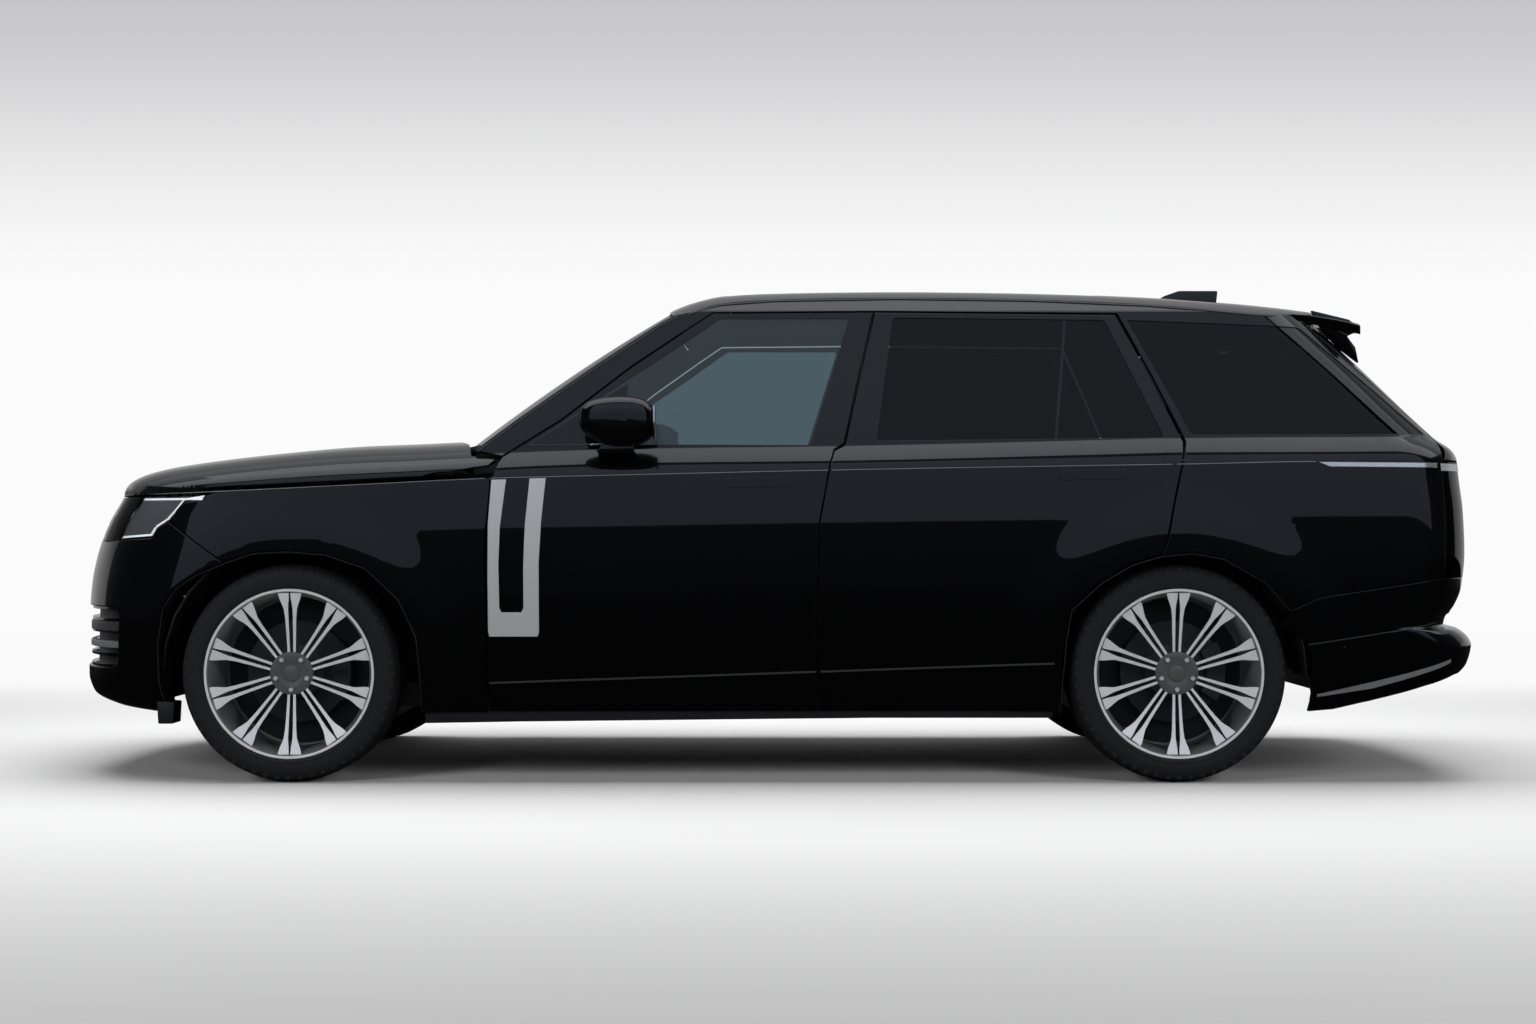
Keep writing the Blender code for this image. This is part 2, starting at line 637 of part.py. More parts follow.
DOOR_BOX_TOP_SHARE = 0.650
FRONT_LATCH_X = 0.105
REAR_LATCH_X = 1.385
LATCH_LENGTH = 0.030
FRONT_HINGE_X = -0.977
REAR_HINGE_X = 0.215
HINGE_Y = 0.998
LATCH_HEIGHT = 0.080
LATCH_LOW = 0.760
JAMB_LOW = 1.020
JAMB_OUTER_Y = 0.900
JAMB_WALL = 0.030
JAMB_REAR_X = 1.500
PILLAR_OUTER_Y = 0.842


def door_core(name, ring):
    """The thick inner box of a door, below the glass and set in from the door's edges."""
    return laid_panel(name, ring, LEFT, DOOR_SKIN - SHUT_GAP, DOOR_DEPTH,
                      cuts_b=[BODY_HEIGHT * h for h in (0.3, 0.44, 0.56, 0.61)])


def latch(front_x, face_y, low):
    """A block on the door's inner side that closes against a flat face of the frame."""
    outer = half_width(front_x, low) - DOOR_SKIN / 2
    return box("latch", (front_x, -outer, low), (front_x + LATCH_LENGTH, -face_y - TOUCH_GAP, low + LATCH_HEIGHT))


def front_door(name):
    ring = inset(front_door_ring, SHUT_GAP)
    window = place(FRONT_GLASS_SHARES)
    skin = laid_panel(name, ring, LEFT, 0, DOOR_SKIN, holes=[window], cuts_b=DOOR_CUTS_Z,
                      cuts_a=SIDE_CUTS_X, lines=CREASES)
    core_ring = [(place_x(0.3150), SILL_TOP), (place_x(0.5180), SILL_TOP), (place_x(0.5170), BODY_HEIGHT * 0.50),
                 (place_x(0.5240), BODY_HEIGHT * DOOR_BOX_TOP_SHARE), (place_x(0.3260), BODY_HEIGHT * 0.640),
                 (place_x(0.3150), BODY_HEIGHT * 0.58)]
    return join(skin, door_core("core", core_ring), latch(FRONT_LATCH_X, PILLAR_OUTER_Y, LATCH_LOW))


def rear_door(name):
    ring = inset(rear_door_ring, SHUT_GAP)
    window = place(REAR_GLASS_SHARES)
    skin = laid_panel(name, ring, LEFT, 0, DOOR_SKIN, holes=[window], cuts_b=DOOR_CUTS_Z,
                      cuts_a=SIDE_CUTS_X, lines=CREASES)
    core_ring = [(place_x(0.5400), SILL_TOP), (place_x(0.6800), SILL_TOP), (place_x(0.6880), BODY_HEIGHT * 0.36),
                 (place_x(0.7060), BODY_HEIGHT * 0.412), (place_x(0.7380), BODY_HEIGHT * 0.474), (place_x(0.7600), BODY_HEIGHT * 0.655),
                 (place_x(0.5540), BODY_HEIGHT * DOOR_BOX_TOP_SHARE), (place_x(0.5400), BODY_HEIGHT * 0.58)]
    return join(skin, door_core("core", core_ring), latch(REAR_LATCH_X, JAMB_OUTER_Y, JAMB_LOW))


def side_glass(pairs):
    def build(name):
        ring = inset(place(pairs), GLASS_GAP)
        return laid_panel(name, ring, LEFT, GLASS_INSET, GLASS_INSET + GLASS_WALL,
                          cuts_b=DOOR_CUTS_Z, cuts_a=SIDE_CUTS_X, lines=CREASES)
    return build


both_sides("door_front", front_door, "paint")
both_sides("door_rear", rear_door, "paint")
both_sides("glass_front", side_glass(FRONT_GLASS_SHARES), "clear_glass")
both_sides("glass_rear", side_glass(REAR_GLASS_SHARES), "dark_glass")
both_sides("glass_quarter", side_glass(QUARTER_GLASS_SHARES), "dark_glass")


# Fixed body side: front pillar, roof rail and rear quarter in one piece
def body_side(name):
    rail = [(place_x(u), rail_height(place_x(u))) for u in RAIL_STATION_SHARES]
    ring = (place(SCREEN_EDGE_SHARES) + rail + place(TAILGATE_SIDE_SHARES) + place(LAMP_SIDE_SHARES)
            + place(QUARTER_BOTTOM_SHARES) + place(REAR_ARCH_BACK_SHARES)[::-1] + place(REAR_ARCH_FRONT_SHARES)[-1:]
            + rear_line + middle_line[-1:] + pillar_line[::-1] + front_line[-1:])
    ring = inset(ring, SEAM)
    hole = place(QUARTER_GLASS_SHARES)
    skin = laid_panel(name, ring, LEFT, 0, SKIN_WALL, holes=[hole], cuts_b=DOOR_CUTS_Z,
                      cuts_a=SIDE_CUTS_X, lines=CREASES)
    high = JAMB_LOW + LATCH_HEIGHT
    outer = half_width(JAMB_REAR_X, high) - SKIN_WALL / 2
    jamb = box("jamb", (REAR_LATCH_X - HALF_GAP, -JAMB_OUTER_Y, JAMB_LOW), (JAMB_REAR_X, JAMB_WALL - JAMB_OUTER_Y, high))
    post = box("post", (JAMB_REAR_X - JAMB_WALL, -outer, JAMB_LOW), (JAMB_REAR_X, -JAMB_OUTER_Y + JAMB_WALL / 2, high))
    return join(skin, jamb, post)


both_sides("body_side", body_side, "paint")


FENDER_STATION_SHARES = (0.1200, 0.1350, 0.1500, 0.165, 0.20, 0.24, 0.28, 0.3065)


def fender(name):
    top = [(place_x(u), BODY_HEIGHT * follow(WAIST_SHARES, u)) for u in FENDER_STATION_SHARES]
    ring = (dense(place(FRONT_ARCH_BACK_SHARES[-1:] + HEADLAMP_SHARES[3:8])) + top + front_line[:5][::-1]
            + place(FRONT_ARCH_BACK_SHARES[:-1]))
    ring = inset(ring, SEAM)
    return laid_panel(name, ring, LEFT, 0, SKIN_WALL, cuts_b=[BODY_HEIGHT * h for h in (0.2, 0.32, 0.44, 0.51)],
                      cuts_a=SIDE_CUTS_X)


both_sides("fender", fender, "paint")


def nose_ring(points):
    """Turn side-view places into (distance along the nose, height) on the left."""
    return [(-NOSE.along(x, z), z) for x, z in dense(points)]


NOSE_CUTS = stations(-NOSE.table[-1][0], NOSE.table[-1][0], 16)


def front_bumper(name):
    edge = place(FRONT_ARCH_FRONT_SHARES)
    corner = nose_ring(place(FRONT_ARCH_BACK_SHARES[-1:] + HEADLAMP_SHARES[3:0:-1]))
    left = nose_ring(edge)
    lamp_line = nose_ring(place(HEADLAMP_SHARES[:1])) + [(-NOSE.at_width(LAMP_INNER_Y, BUMPER_TOP), BUMPER_TOP)]
    grille_corner = NOSE.at_width(GRILLE_HALF_WIDTH, GRILLE_BOTTOM)
    half = left[::-1] + corner + lamp_line + [(-grille_corner, BUMPER_TOP), (-grille_corner, GRILLE_BOTTOM)]
    ring = inset(half + [(-a, z) for a, z in half[::-1]], SEAM)
    reach = NOSE.at_width(INTAKE_HALF_WIDTH, INTAKE_TOP)
    intake = [(-reach, INTAKE_BOTTOM), (reach, INTAKE_BOTTOM), (reach, INTAKE_TOP), (-reach, INTAKE_TOP)]
    return laid_panel(name, ring, NOSE.skin, 0, NOSE_WALL, holes=[intake], cuts_a=NOSE_CUTS,
                      cuts_b=[BODY_HEIGHT * h for h in (0.165, 0.20, 0.38, 0.44)])


finish(front_bumper("front_bumper"), "paint")


def slatted(name, outline_half, bottom, top, bars, depth):
    """A frame with level bars across it, laid on the nose."""
    outline = [(-outline_half, bottom), (outline_half, bottom), (outline_half, top), (-outline_half, top)]
    outline = inset(outline, SEAM)
    pitch = (top - bottom - GRILLE_BAR) / (bars + 1)
    holes = []
    for i in range(bars + 1):
        low = bottom + GRILLE_BAR + pitch * i
        high = low + pitch - GRILLE_BAR
        for near, far in ((-outline_half + GRILLE_BAR, -GRILLE_BAR / 2), (GRILLE_BAR / 2, outline_half - GRILLE_BAR)):
            holes.append([(near, low), (far, low), (far, high), (near, high)])
    return laid_panel(name, outline, NOSE.skin, depth, depth + NOSE_WALL, holes=holes,
                      cuts_a=[cut_at for cut_at in NOSE_CUTS if abs(cut_at) < outline_half],
                        cuts_b=[BODY_HEIGHT * 0.44, BUMPER_TOP])


grille_half = NOSE.at_width(GRILLE_HALF_WIDTH, GRILLE_BOTTOM)
finish(slatted("grille", grille_half, GRILLE_BOTTOM, GRILLE_TOP, GRILLE_BARS, 0), "black_trim")
intake_half = NOSE.at_width(INTAKE_HALF_WIDTH, INTAKE_TOP)
finish(slatted("lower_grille", intake_half, INTAKE_BOTTOM, INTAKE_TOP, 3, SHUT_GAP), "black_trim")


def headlamp(name):
    outer = nose_ring(place(HEADLAMP_SHARES))
    z_low, z_high = BUMPER_TOP, outer[-1][1]
    inner = [(-NOSE.at_width(LAMP_INNER_Y, z_high), z_high), (-NOSE.at_width(LAMP_INNER_Y, z_low), z_low)]
    ring = inset(outer + inner, SEAM * 1.4)
    return laid_panel(name, ring, NOSE.skin, 0, LAMP_DEPTH, cuts_a=NOSE_CUTS)


both_sides("headlamp", headlamp, "lamp_glass")


# Bonnet: a lid that wraps over both fenders down to the waist line
BONNET_WALL = 0.028
BONNET_HINGE_X = -1.000
BONNET_HINGE_Z = 1.300
BONNET_SPREAD_SHARES = (0.3, 0.55, 0.75, 0.86, 0.92, 0.96)
BONNET_CORNER = ((0.3055, 0.974), (0.3110, 0.944), (0.2930, 0.912), (0.2880, 0.750), (0.2745, 0.500), (0.2665, 0.0))


def bonnet(name):
    lip = BODY_HEIGHT * follow(WAIST_SHARES, 0)
    end = NOSE.table[-1][0]
    front = []
    for share in (0.0, 0.2, 0.4, 0.55, 0.65, 0.75):
        x, y = NOSE.point(end * share, lip)
        front.append((x, y))
    sides = [(place_x(u), half_width(place_x(u), BODY_HEIGHT * follow(WAIST_SHARES, u)))
             for u in FENDER_STATION_SHARES[:-1]]
    corner = [(place_x(u), HALF_WIDTH * w) for u, w in BONNET_CORNER]
    half = front + sides + corner
    ring = half + [(x, -y) for x, y in half[::-1] if y > 0]
    edge, gap = inset(ring, TOUCH_GAP * 2), inset(ring, SHUT_GAP)
    ring = [far if far[0] > place_x(BONNET_CORNER[-1][0]) - SHUT_GAP * 2 and near[0] > place_x(0.2665) - OVERRUN / 4
            else near for near, far in zip(edge, gap)]
    spread = [w * HALF_WIDTH * k for w in BONNET_SPREAD_SHARES for k in (-1, 1)]
    return laid_panel(name, ring, bonnet_skin, 0, BONNET_WALL, cuts_b=spread,
                      cuts_a=[place_x(u) for u in (0.030, 0.040, 0.060, 0.088, 0.13, 0.19, 0.24)])


finish(bonnet("bonnet"), "paint")


# Cowl and bulkhead between the engine bay and the cabin
COWL_TOP = screen_skin(0, 0, GLASS_WALL).z - TOUCH_GAP
COWL_WALL = 0.020
COWL_FRONT = 0.030
COWL_BACK = 0.010
COWL_HALF_WIDTH = 0.870
SHELF_FRONT_X = -1.290
SHELF_HALF_WIDTH = 0.060
SHELF_LOW = 1.150
SHELF_HIGH = 1.185
REST_LENGTH = 0.028
LEG_FRONT_X = -2.240
LEG_INNER_Y = 0.380
LEG_OUTER_Y = LINER_FRONT_INNER_Y - TOUCH_GAP
LEG_LOW = 0.620
LEG_HIGH = 0.700


def cowl_skin(x, y, depth):
    return Vector((x, y, COWL_TOP - depth))


def foot_x(y):
    return screen_skin(0, y, 0).x


def bulkhead(name):
    ys = [COWL_HALF_WIDTH * k for k in (-1, -0.8, -0.6, -0.3, 0, 0.3, 0.6, 0.8, 1)]
    back = [(foot_x(y) + COWL_BACK, y) for y in ys]
    front = [(foot_x(y) - COWL_FRONT, y) for y in ys]
    shelf = laid_panel(name, back + front[::-1], cowl_skin, 0, COWL_WALL, cuts_b=ys[1:-1])
    wall = box("wall", (BULKHEAD_X, -SILL_INNER_Y, FLOOR_BOTTOM), (BULKHEAD_X + BULKHEAD_WALL, SILL_INNER_Y, BULKHEAD_TOP))
    brace = box("brace", (BULKHEAD_X, -COWL_HALF_WIDTH / 2, BULKHEAD_TOP - OVERRUN),
                (BULKHEAD_X + COWL_FRONT, COWL_HALF_WIDTH / 2, COWL_TOP - COWL_WALL / 2))
    step = box("step", (SHELF_FRONT_X, -SHELF_HALF_WIDTH, SHELF_LOW), (BULKHEAD_X + COWL_FRONT / 2, SHELF_HALF_WIDTH, SHELF_HIGH))
    under = bonnet_skin(SHELF_FRONT_X, HALF_WIDTH * BONNET_SPREAD_SHARES[0], BONNET_WALL).z
    rest = box("rest", (SHELF_FRONT_X, -SHELF_HALF_WIDTH, SHELF_LOW), (SHELF_FRONT_X + REST_LENGTH, SHELF_HALF_WIDTH, under - TOUCH_GAP))
    legs = [box("leg", (LEG_FRONT_X, min(side * LEG_INNER_Y, side * LEG_OUTER_Y), LEG_LOW),
                (BULKHEAD_X + BULKHEAD_WALL / 2, max(side * LEG_INNER_Y, side * LEG_OUTER_Y), LEG_HIGH)) for side in (-1, 1)]
    return join(shelf, wall, brace, step, rest, *legs)


SILL_INNER_Y = 0.775
SILL_OUTER_Y = 0.870
SILL_REAR_X = 0.960
finish(bulkhead("bulkhead"), "soft_trim")


SCREEN_YS = [SCREEN_HALF_WIDTH_FOOT * share for share in (-0.75, -0.5, -0.25, 0, 0.25, 0.5, 0.75)]


# Windscreen
def windscreen(name):
    foot, head = SCREEN_HALF_WIDTH_FOOT, SCREEN_HALF_WIDTH_HEAD
    ring = inset([(0, -foot), (1, -head), (1, head), (0, foot)], TOUCH_GAP)
    return laid_panel(name, ring, screen_skin, 0, GLASS_WALL, cuts_a=stations(0, 1, 4),
                      cuts_b=SCREEN_YS)


finish(windscreen("windscreen"), "clear_glass")

# Roof with its long glass panel and the aerial fin
ROOF_REAR_X = 2.000
HEADER_REAR_X = 1.955
HEADER_LENGTH = 0.060
HEADER_DEPTH = 0.100
HEADER_HALF_WIDTH = 0.550
ROOF_WALL = 0.026
ROOF_CORNER = 0.016
ROOF_GLASS_HALF_WIDTH = 0.520
ROOF_GLASS_FRONT_X = -0.180
ROOF_GLASS_REAR_X = 1.230
FIN_FRONT_SHARE = 0.7840
FIN_PROFILE = ((1.480, 1.798), (1.560, 1.848), (1.620, 1.870), (1.776, 1.870), (1.766, 1.772))
FIN_HALF_WIDTH = 0.028
ROOF_FRONT_SHARE = 0.4225


def roof_outline():
    xs = [place_x(u) for u in (0.4345, *RAIL_STATION_SHARES)]
    walls = [side_skin(1)(x, rail_height(x), SKIN_WALL + (ROOF_CORNER if x == xs[0] else 0)) for x in xs]
    right = [(wall.x, wall.y) for wall in walls]
    head = [(screen_skin(1, y, GLASS_WALL).x, y) for y in SCREEN_YS if y >= 0]
    back = roof_back(0)
    half = head + right + back
    return half + [(x, -y) for x, y in half[::-1] if y > 0]


BACK_BOW = 0.015
BACK_YS = (0.690, 0.550, 0.350, 0.0)


def roof_back(gap):
    """The bowed seam between the roof and the tailgate, from the side to the middle."""
    return [(ROOF_REAR_X + gap - BACK_BOW * (y / BACK_YS[0]) ** 2, y) for y in BACK_YS]


def roof_hole():
    half = ROOF_GLASS_HALF_WIDTH
    return [(ROOF_GLASS_FRONT_X, -half), (ROOF_GLASS_REAR_X, -half), (ROOF_GLASS_REAR_X, half), (ROOF_GLASS_FRONT_X, half)]


ROOF_CUTS_Y = [HALF_WIDTH * k for k in (-0.68, -0.6, -0.45, -0.25, 0, 0.25, 0.45, 0.6, 0.68)]
ROOF_CUTS_X = [place_x(u) for u in (0.445, 0.47, 0.52, 0.60, 0.68, 0.76, 0.82)]


def roof_panel(name):
    panel = laid_panel(name, inset(roof_outline(), TOUCH_GAP), roof_skin, 0, ROOF_WALL, holes=[roof_hole()],
                       cuts_a=ROOF_CUTS_X, cuts_b=ROOF_CUTS_Y)
    fin = swept("fin", FIN_PROFILE, -FIN_HALF_WIDTH, FIN_HALF_WIDTH)
    half, front = HEADER_HALF_WIDTH, HEADER_REAR_X - HEADER_LENGTH
    ring = [(front, -half), (HEADER_REAR_X, -half), (HEADER_REAR_X, half), (front, half)]
    header = laid_panel("header", ring, roof_skin, ROOF_WALL / 2, HEADER_DEPTH, cuts_b=ROOF_CUTS_Y)
    return join(panel, fin, header)


def roof_glass(name):
    return laid_panel(name, inset(roof_hole(), TOUCH_GAP), roof_skin, GLASS_WALL / 2, GLASS_WALL * 2,
                      cuts_a=ROOF_CUTS_X[2:-1], cuts_b=ROOF_CUTS_Y[2:-2])


finish(roof_panel("roof_panel"), "paint")
finish(roof_glass("roof_glass"), "dark_glass")

# Tail: split tailgate, lamps and bumper
GATE_SPLIT = 0.936
GATE_BOTTOM = 0.592
GATE_HINGE_X = 2.515
GATE_HINGE_Z = 0.645
GATE_SLOPE_TOP = 0.690
UPPER_HINGE_X = 2.015
UPPER_HINGE_Z = 1.762
REST_HIGH = 0.690
REST_Y = 0.480
LOAD_END_X = 2.400
LAMP_INNER_SHARE_Y = 0.700
GATE_LOW_HALF_WIDTH = 0.680
LAMP_TOP = BODY_HEIGHT * LAMP_SIDE_SHARES[0][1]
LAMP_BOTTOM = BODY_HEIGHT * LAMP_SIDE_SHARES[1][1]
LAMP_WALL = 0.090
GATE_WALL = 0.060
GLASS_LOW = 1.290
GLASS_HIGH = 1.640
GLASS_SIDE_LOW = 0.690
GLASS_SIDE_HIGH = 0.600
SPOILER_FRONT_X = 2.000
STOP_Y = 0.250
STOP_WIDTH = 0.060
STOP_LOW = 1.675
STOP_HIGH = 1.700
STOP_REAR_X = 2.050
SPOILER_WALL = 0.036
SPOILER_TIP_X = 2.225
SPOILER_HALF_WIDTH = 0.690


def tail_place(x, z):
    return (TAIL.along(x, z), z)


def tail_at(y, z):
    return (TAIL.at_width(y, z), z)


def twice(half):
    """Close a right-hand half outline with its mirror image."""
    return half + [(-a, b) for a, b in half[::-1] if a > 0]


def gate_glass_ring():
    return twice([tail_at(GLASS_SIDE_LOW, GLASS_LOW), tail_at(GLASS_SIDE_HIGH, GLASS_HIGH)])


def tailgate_upper(name):
    side = [tail_place(x + HALF_GAP, z) for x, z in place(TAILGATE_SIDE_SHARES)]
    top = []
    for y in (0.66, 0.5, 0.3, 0.0):
        z = roof_skin(SPOILER_FRONT_X + OVERRUN, y, SPOILER_WALL).z + SHUT_GAP * 2
        top.append(tail_at(y, z) if y else (0, z))
    low = GATE_SPLIT - HALF_GAP
    half = [(0, low), tail_at(LAMP_INNER_SHARE_Y, low), tail_at(LAMP_INNER_SHARE_Y, LAMP_TOP),
            tail_place(place_x(LAMP_SIDE_SHARES[0][0]), LAMP_TOP)] + side[::-1] + top
    ring = inset(twice(half), SHUT_GAP)
    end = TAIL.table[-1][0]
    panel = laid_panel(name, ring, TAIL.skin, 0, GATE_WALL, holes=[gate_glass_ring()],
                       cuts_a=[end * k for k in (-0.9, -0.75, -0.6, -0.3, 0, 0.3, 0.6, 0.75, 0.9)],
                       cuts_b=[1.05, 1.2, 1.24, 1.45])
    half = roof_back(SHUT_GAP)[::-1] + [
            (SPOILER_TIP_X - OVERRUN, SPOILER_HALF_WIDTH), (SPOILER_TIP_X, SPOILER_HALF_WIDTH * 0.7), (SPOILER_TIP_X, 0)]
    ring = half + [(x, -y) for x, y in half[::-1] if y > 0]
    blade = laid_panel("blade", ring, roof_skin, 0, SPOILER_WALL, cuts_a=stations(SPOILER_FRONT_X, SPOILER_TIP_X, 3),
                       cuts_b=ROOF_CUTS_Y)
    stops = [box("stop", (HEADER_REAR_X + TOUCH_GAP, y, STOP_LOW), (STOP_REAR_X, y + STOP_WIDTH, STOP_HIGH))
             for y in (STOP_Y, -STOP_Y - STOP_WIDTH)]
    return join(panel, blade, *stops)


def tailgate_glass(name):
    return laid_panel(name, inset(gate_glass_ring(), TOUCH_GAP), TAIL.skin, GLASS_INSET / 2, GLASS_INSET / 2 + GLASS_WALL,
                      cuts_a=stations(-0.8, 0.8, 8), cuts_b=[1.45])


def tailgate_lower(name):
    high = GATE_SPLIT + HALF_GAP
    half = [(0, GATE_BOTTOM), tail_at(GATE_LOW_HALF_WIDTH, GATE_BOTTOM), tail_at(LAMP_INNER_SHARE_Y, GATE_SLOPE_TOP),
            tail_at(LAMP_INNER_SHARE_Y, high), (0, high)]
    ring = inset(twice(half), SHUT_GAP + SEAM)
    end = TAIL.table[-1][0]
    panel = laid_panel(name, ring, TAIL.skin, 0, GATE_WALL, cuts_a=stations(-end, end, 12), cuts_b=[0.64, 0.72, 0.84])
    rests = [box("rest", (LOAD_END_X + TOUCH_GAP, y, GATE_HINGE_Z + TOUCH_GAP), (TAIL.tip(REST_HIGH) - GATE_WALL / 2, y + STOP_WIDTH, REST_HIGH))
             for y in (REST_Y, -REST_Y - STOP_WIDTH)]
    return join(panel, *rests)


finish(tailgate_upper("tailgate_upper"), "paint")
finish(tailgate_glass("tailgate_glass"), "dark_glass")
finish(tailgate_lower("tailgate_lower"), "paint")


def tail_lamp(name):
    side_x = place_x(LAMP_SIDE_SHARES[0][0])
    ring = [tail_place(side_x, LAMP_BOTTOM), tail_place(side_x, LAMP_TOP), tail_at(LAMP_INNER_SHARE_Y, LAMP_TOP),
            tail_at(LAMP_INNER_SHARE_Y, LAMP_BOTTOM)]
    ring = inset([(-a, b) for a, b in ring], SEAM)
    return laid_panel(name, ring, TAIL.skin, 0, LAMP_WALL, cuts_a=stations(-1.3, -0.7, 6), cuts_b=[0.85, 1.0])


both_sides("tail_lamp", tail_lamp, "red_glass")

BUMPER_SHELF = 0.560
BUMPER_BASE_SHARES = ((0.8640, 0.138), (0.8810, 0.142), (0.9170, 0.166), (0.9440, 0.186), (0.9700, 0.206))
BUMPER_ARCH_SHARES = ((0.8502, 0.338), (0.8595, 0.272), (0.8627, 0.207))


def rear_bumper(name):
    arch = [(BUMPER_TAIL.along(x, z), z) for x, z in place(BUMPER_ARCH_SHARES)[1:]]
    base = [(BUMPER_TAIL.along(x, z), z) for x, z in place(BUMPER_BASE_SHARES)]
    seam = dense(place(BUMPER_ARCH_SHARES[:1] + QUARTER_BOTTOM_SHARES + LAMP_SIDE_SHARES[1:]))
    joint = [(BUMPER_TAIL.along(x, z), z) for x, z in seam]
    joint.append((BUMPER_TAIL.at_width(LAMP_INNER_SHARE_Y, LAMP_BOTTOM), LAMP_BOTTOM))
    joint.append((BUMPER_TAIL.at_width(LAMP_INNER_SHARE_Y, BUMPER_SHELF), BUMPER_SHELF))
    half = [(0, BUMPER_SHELF)] + joint[::-1] + arch + base + [(0, base[-1][1])]
    ring = inset(twice(half), SEAM)
    end = BUMPER_TAIL.table[-1][0]
    return laid_panel(name, ring, BUMPER_TAIL.skin, 0, NOSE_WALL, cuts_a=stations(-end, end, 16),
                      cuts_b=[BODY_HEIGHT * h for h in (0.24, 0.262, 0.28, 0.296, 0.318, 0.35)])


finish(rear_bumper("rear_bumper"), "paint")


# Frame inside the doors: sill and middle pillar
PILLAR_HALF = 0.055
POST_HEAD = 0.022


def frame_skin(x, z, depth):
    """Inside the doors the frame stands clear of them; above them it meets the rail."""
    if z > middle_line[-1][1] + TOUCH_GAP:
        outer = half_width(x, z) - SKIN_WALL - TOUCH_GAP * 2
    else:
        outer = min(PILLAR_OUTER_Y, half_width(x, z) - DOOR_SKIN - SHUT_GAP * 2)
    return Vector((x, -(outer - depth), z))


def inner_frame(name):
    sill = box(name, (FLOOR_FRONT_X, -SILL_OUTER_Y, FLOOR_BOTTOM), (SILL_REAR_X, -SILL_INNER_Y, SILL_TOP - SHUT_GAP))
    line = [(x, z) for x, z in middle_line if z > SILL_TOP]
    top_x, top_z = line[-1]
    line = [(line[0][0], SILL_TOP - OVERRUN)] + line + [(top_x, top_z + HALF_GAP), (top_x, top_z + POST_HEAD)]
    ring = [(x - PILLAR_HALF, z) for x, z in line] + [(x + PILLAR_HALF, z) for x, z in line[::-1]]
    post = laid_panel("post", ring, frame_skin, 0, SILL_WALL,
                      cuts_b=[BODY_HEIGHT * h for h in (0.3, 0.5, 0.62, 0.66, 0.8)] + [top_z, top_z + HALF_GAP])
    return join(sill, post)


both_sides("inner_frame", inner_frame, "soft_trim")

# Floor: low in the cabin, raised over the rear axle
LOAD_FLOOR = 0.480
FLOOR_STEP_X = 1.020
FLOOR_PROFILE = ((FLOOR_FRONT_X, FLOOR_BOTTOM), (FLOOR_STEP_X, FLOOR_BOTTOM), (FLOOR_STEP_X + FLOOR_WALL, LOAD_FLOOR - FLOOR_WALL),
                 (FLOOR_REAR_X, LOAD_FLOOR - FLOOR_WALL), (FLOOR_REAR_X, LOAD_FLOOR), (FLOOR_STEP_X, LOAD_FLOOR),
                 (FLOOR_STEP_X - FLOOR_WALL, FLOOR_BOTTOM + FLOOR_WALL), (FLOOR_FRONT_X, FLOOR_BOTTOM + FLOOR_WALL))


LOAD_TOP = 0.680
LOAD_WALL = 0.040
LOAD_MARGIN = 0.010
LOAD_LIP = LOAD_TOP - LOAD_WALL * 0.75
LOAD_FRONT_X = 1.800
BOARD_LEG_X = FLOOR_REAR_X - LOAD_MARGIN
LOAD_BASE = LOAD_FLOOR - FLOOR_WALL / 2
LOAD_PROFILE = ((LOAD_FRONT_X, LOAD_BASE), (LOAD_FRONT_X, LOAD_TOP), (LOAD_END_X, LOAD_TOP), (LOAD_END_X, LOAD_LIP),
                (BOARD_LEG_X, LOAD_LIP), (BOARD_LEG_X, LOAD_BASE),
                (BOARD_LEG_X - LOAD_WALL, LOAD_BASE), (BOARD_LEG_X - LOAD_WALL, LOAD_TOP - LOAD_WALL),
                (LOAD_FRONT_X + LOAD_WALL, LOAD_TOP - LOAD_WALL), (LOAD_FRONT_X + LOAD_WALL, LOAD_BASE))


def floor_pan(name):
    half = SILL_INNER_Y - TOUCH_GAP
    board = half - LOAD_MARGIN
    pan = join(swept(name, FLOOR_PROFILE, -half, half), swept("load", LOAD_PROFILE, -board, board))
    front, back = REAR_AXLE_X - WELL_REACH, REAR_AXLE_X + WELL_REACH
    wells = [box("well", (front, side * AXLE_ZONE_HALF_WIDTH if side > 0 else -1, 0),
                 (back, 1 if side > 0 else side * AXLE_ZONE_HALF_WIDTH, 1)) for side in (-1, 1)]
    return cut(pan, *wells)


finish(floor_pan("floor_pan"), "soft_trim")

# Wheel housings
LINER_WALL = 0.008
LINER_RADIUS = 0.470
LINER_EDGE_DEPTH = 0.045
LINER_LOW_ANGLE = 0
LINER_WALL_ANGLE = 3
LINER_STEPS = 14
LINER_SEAT = 0.0007


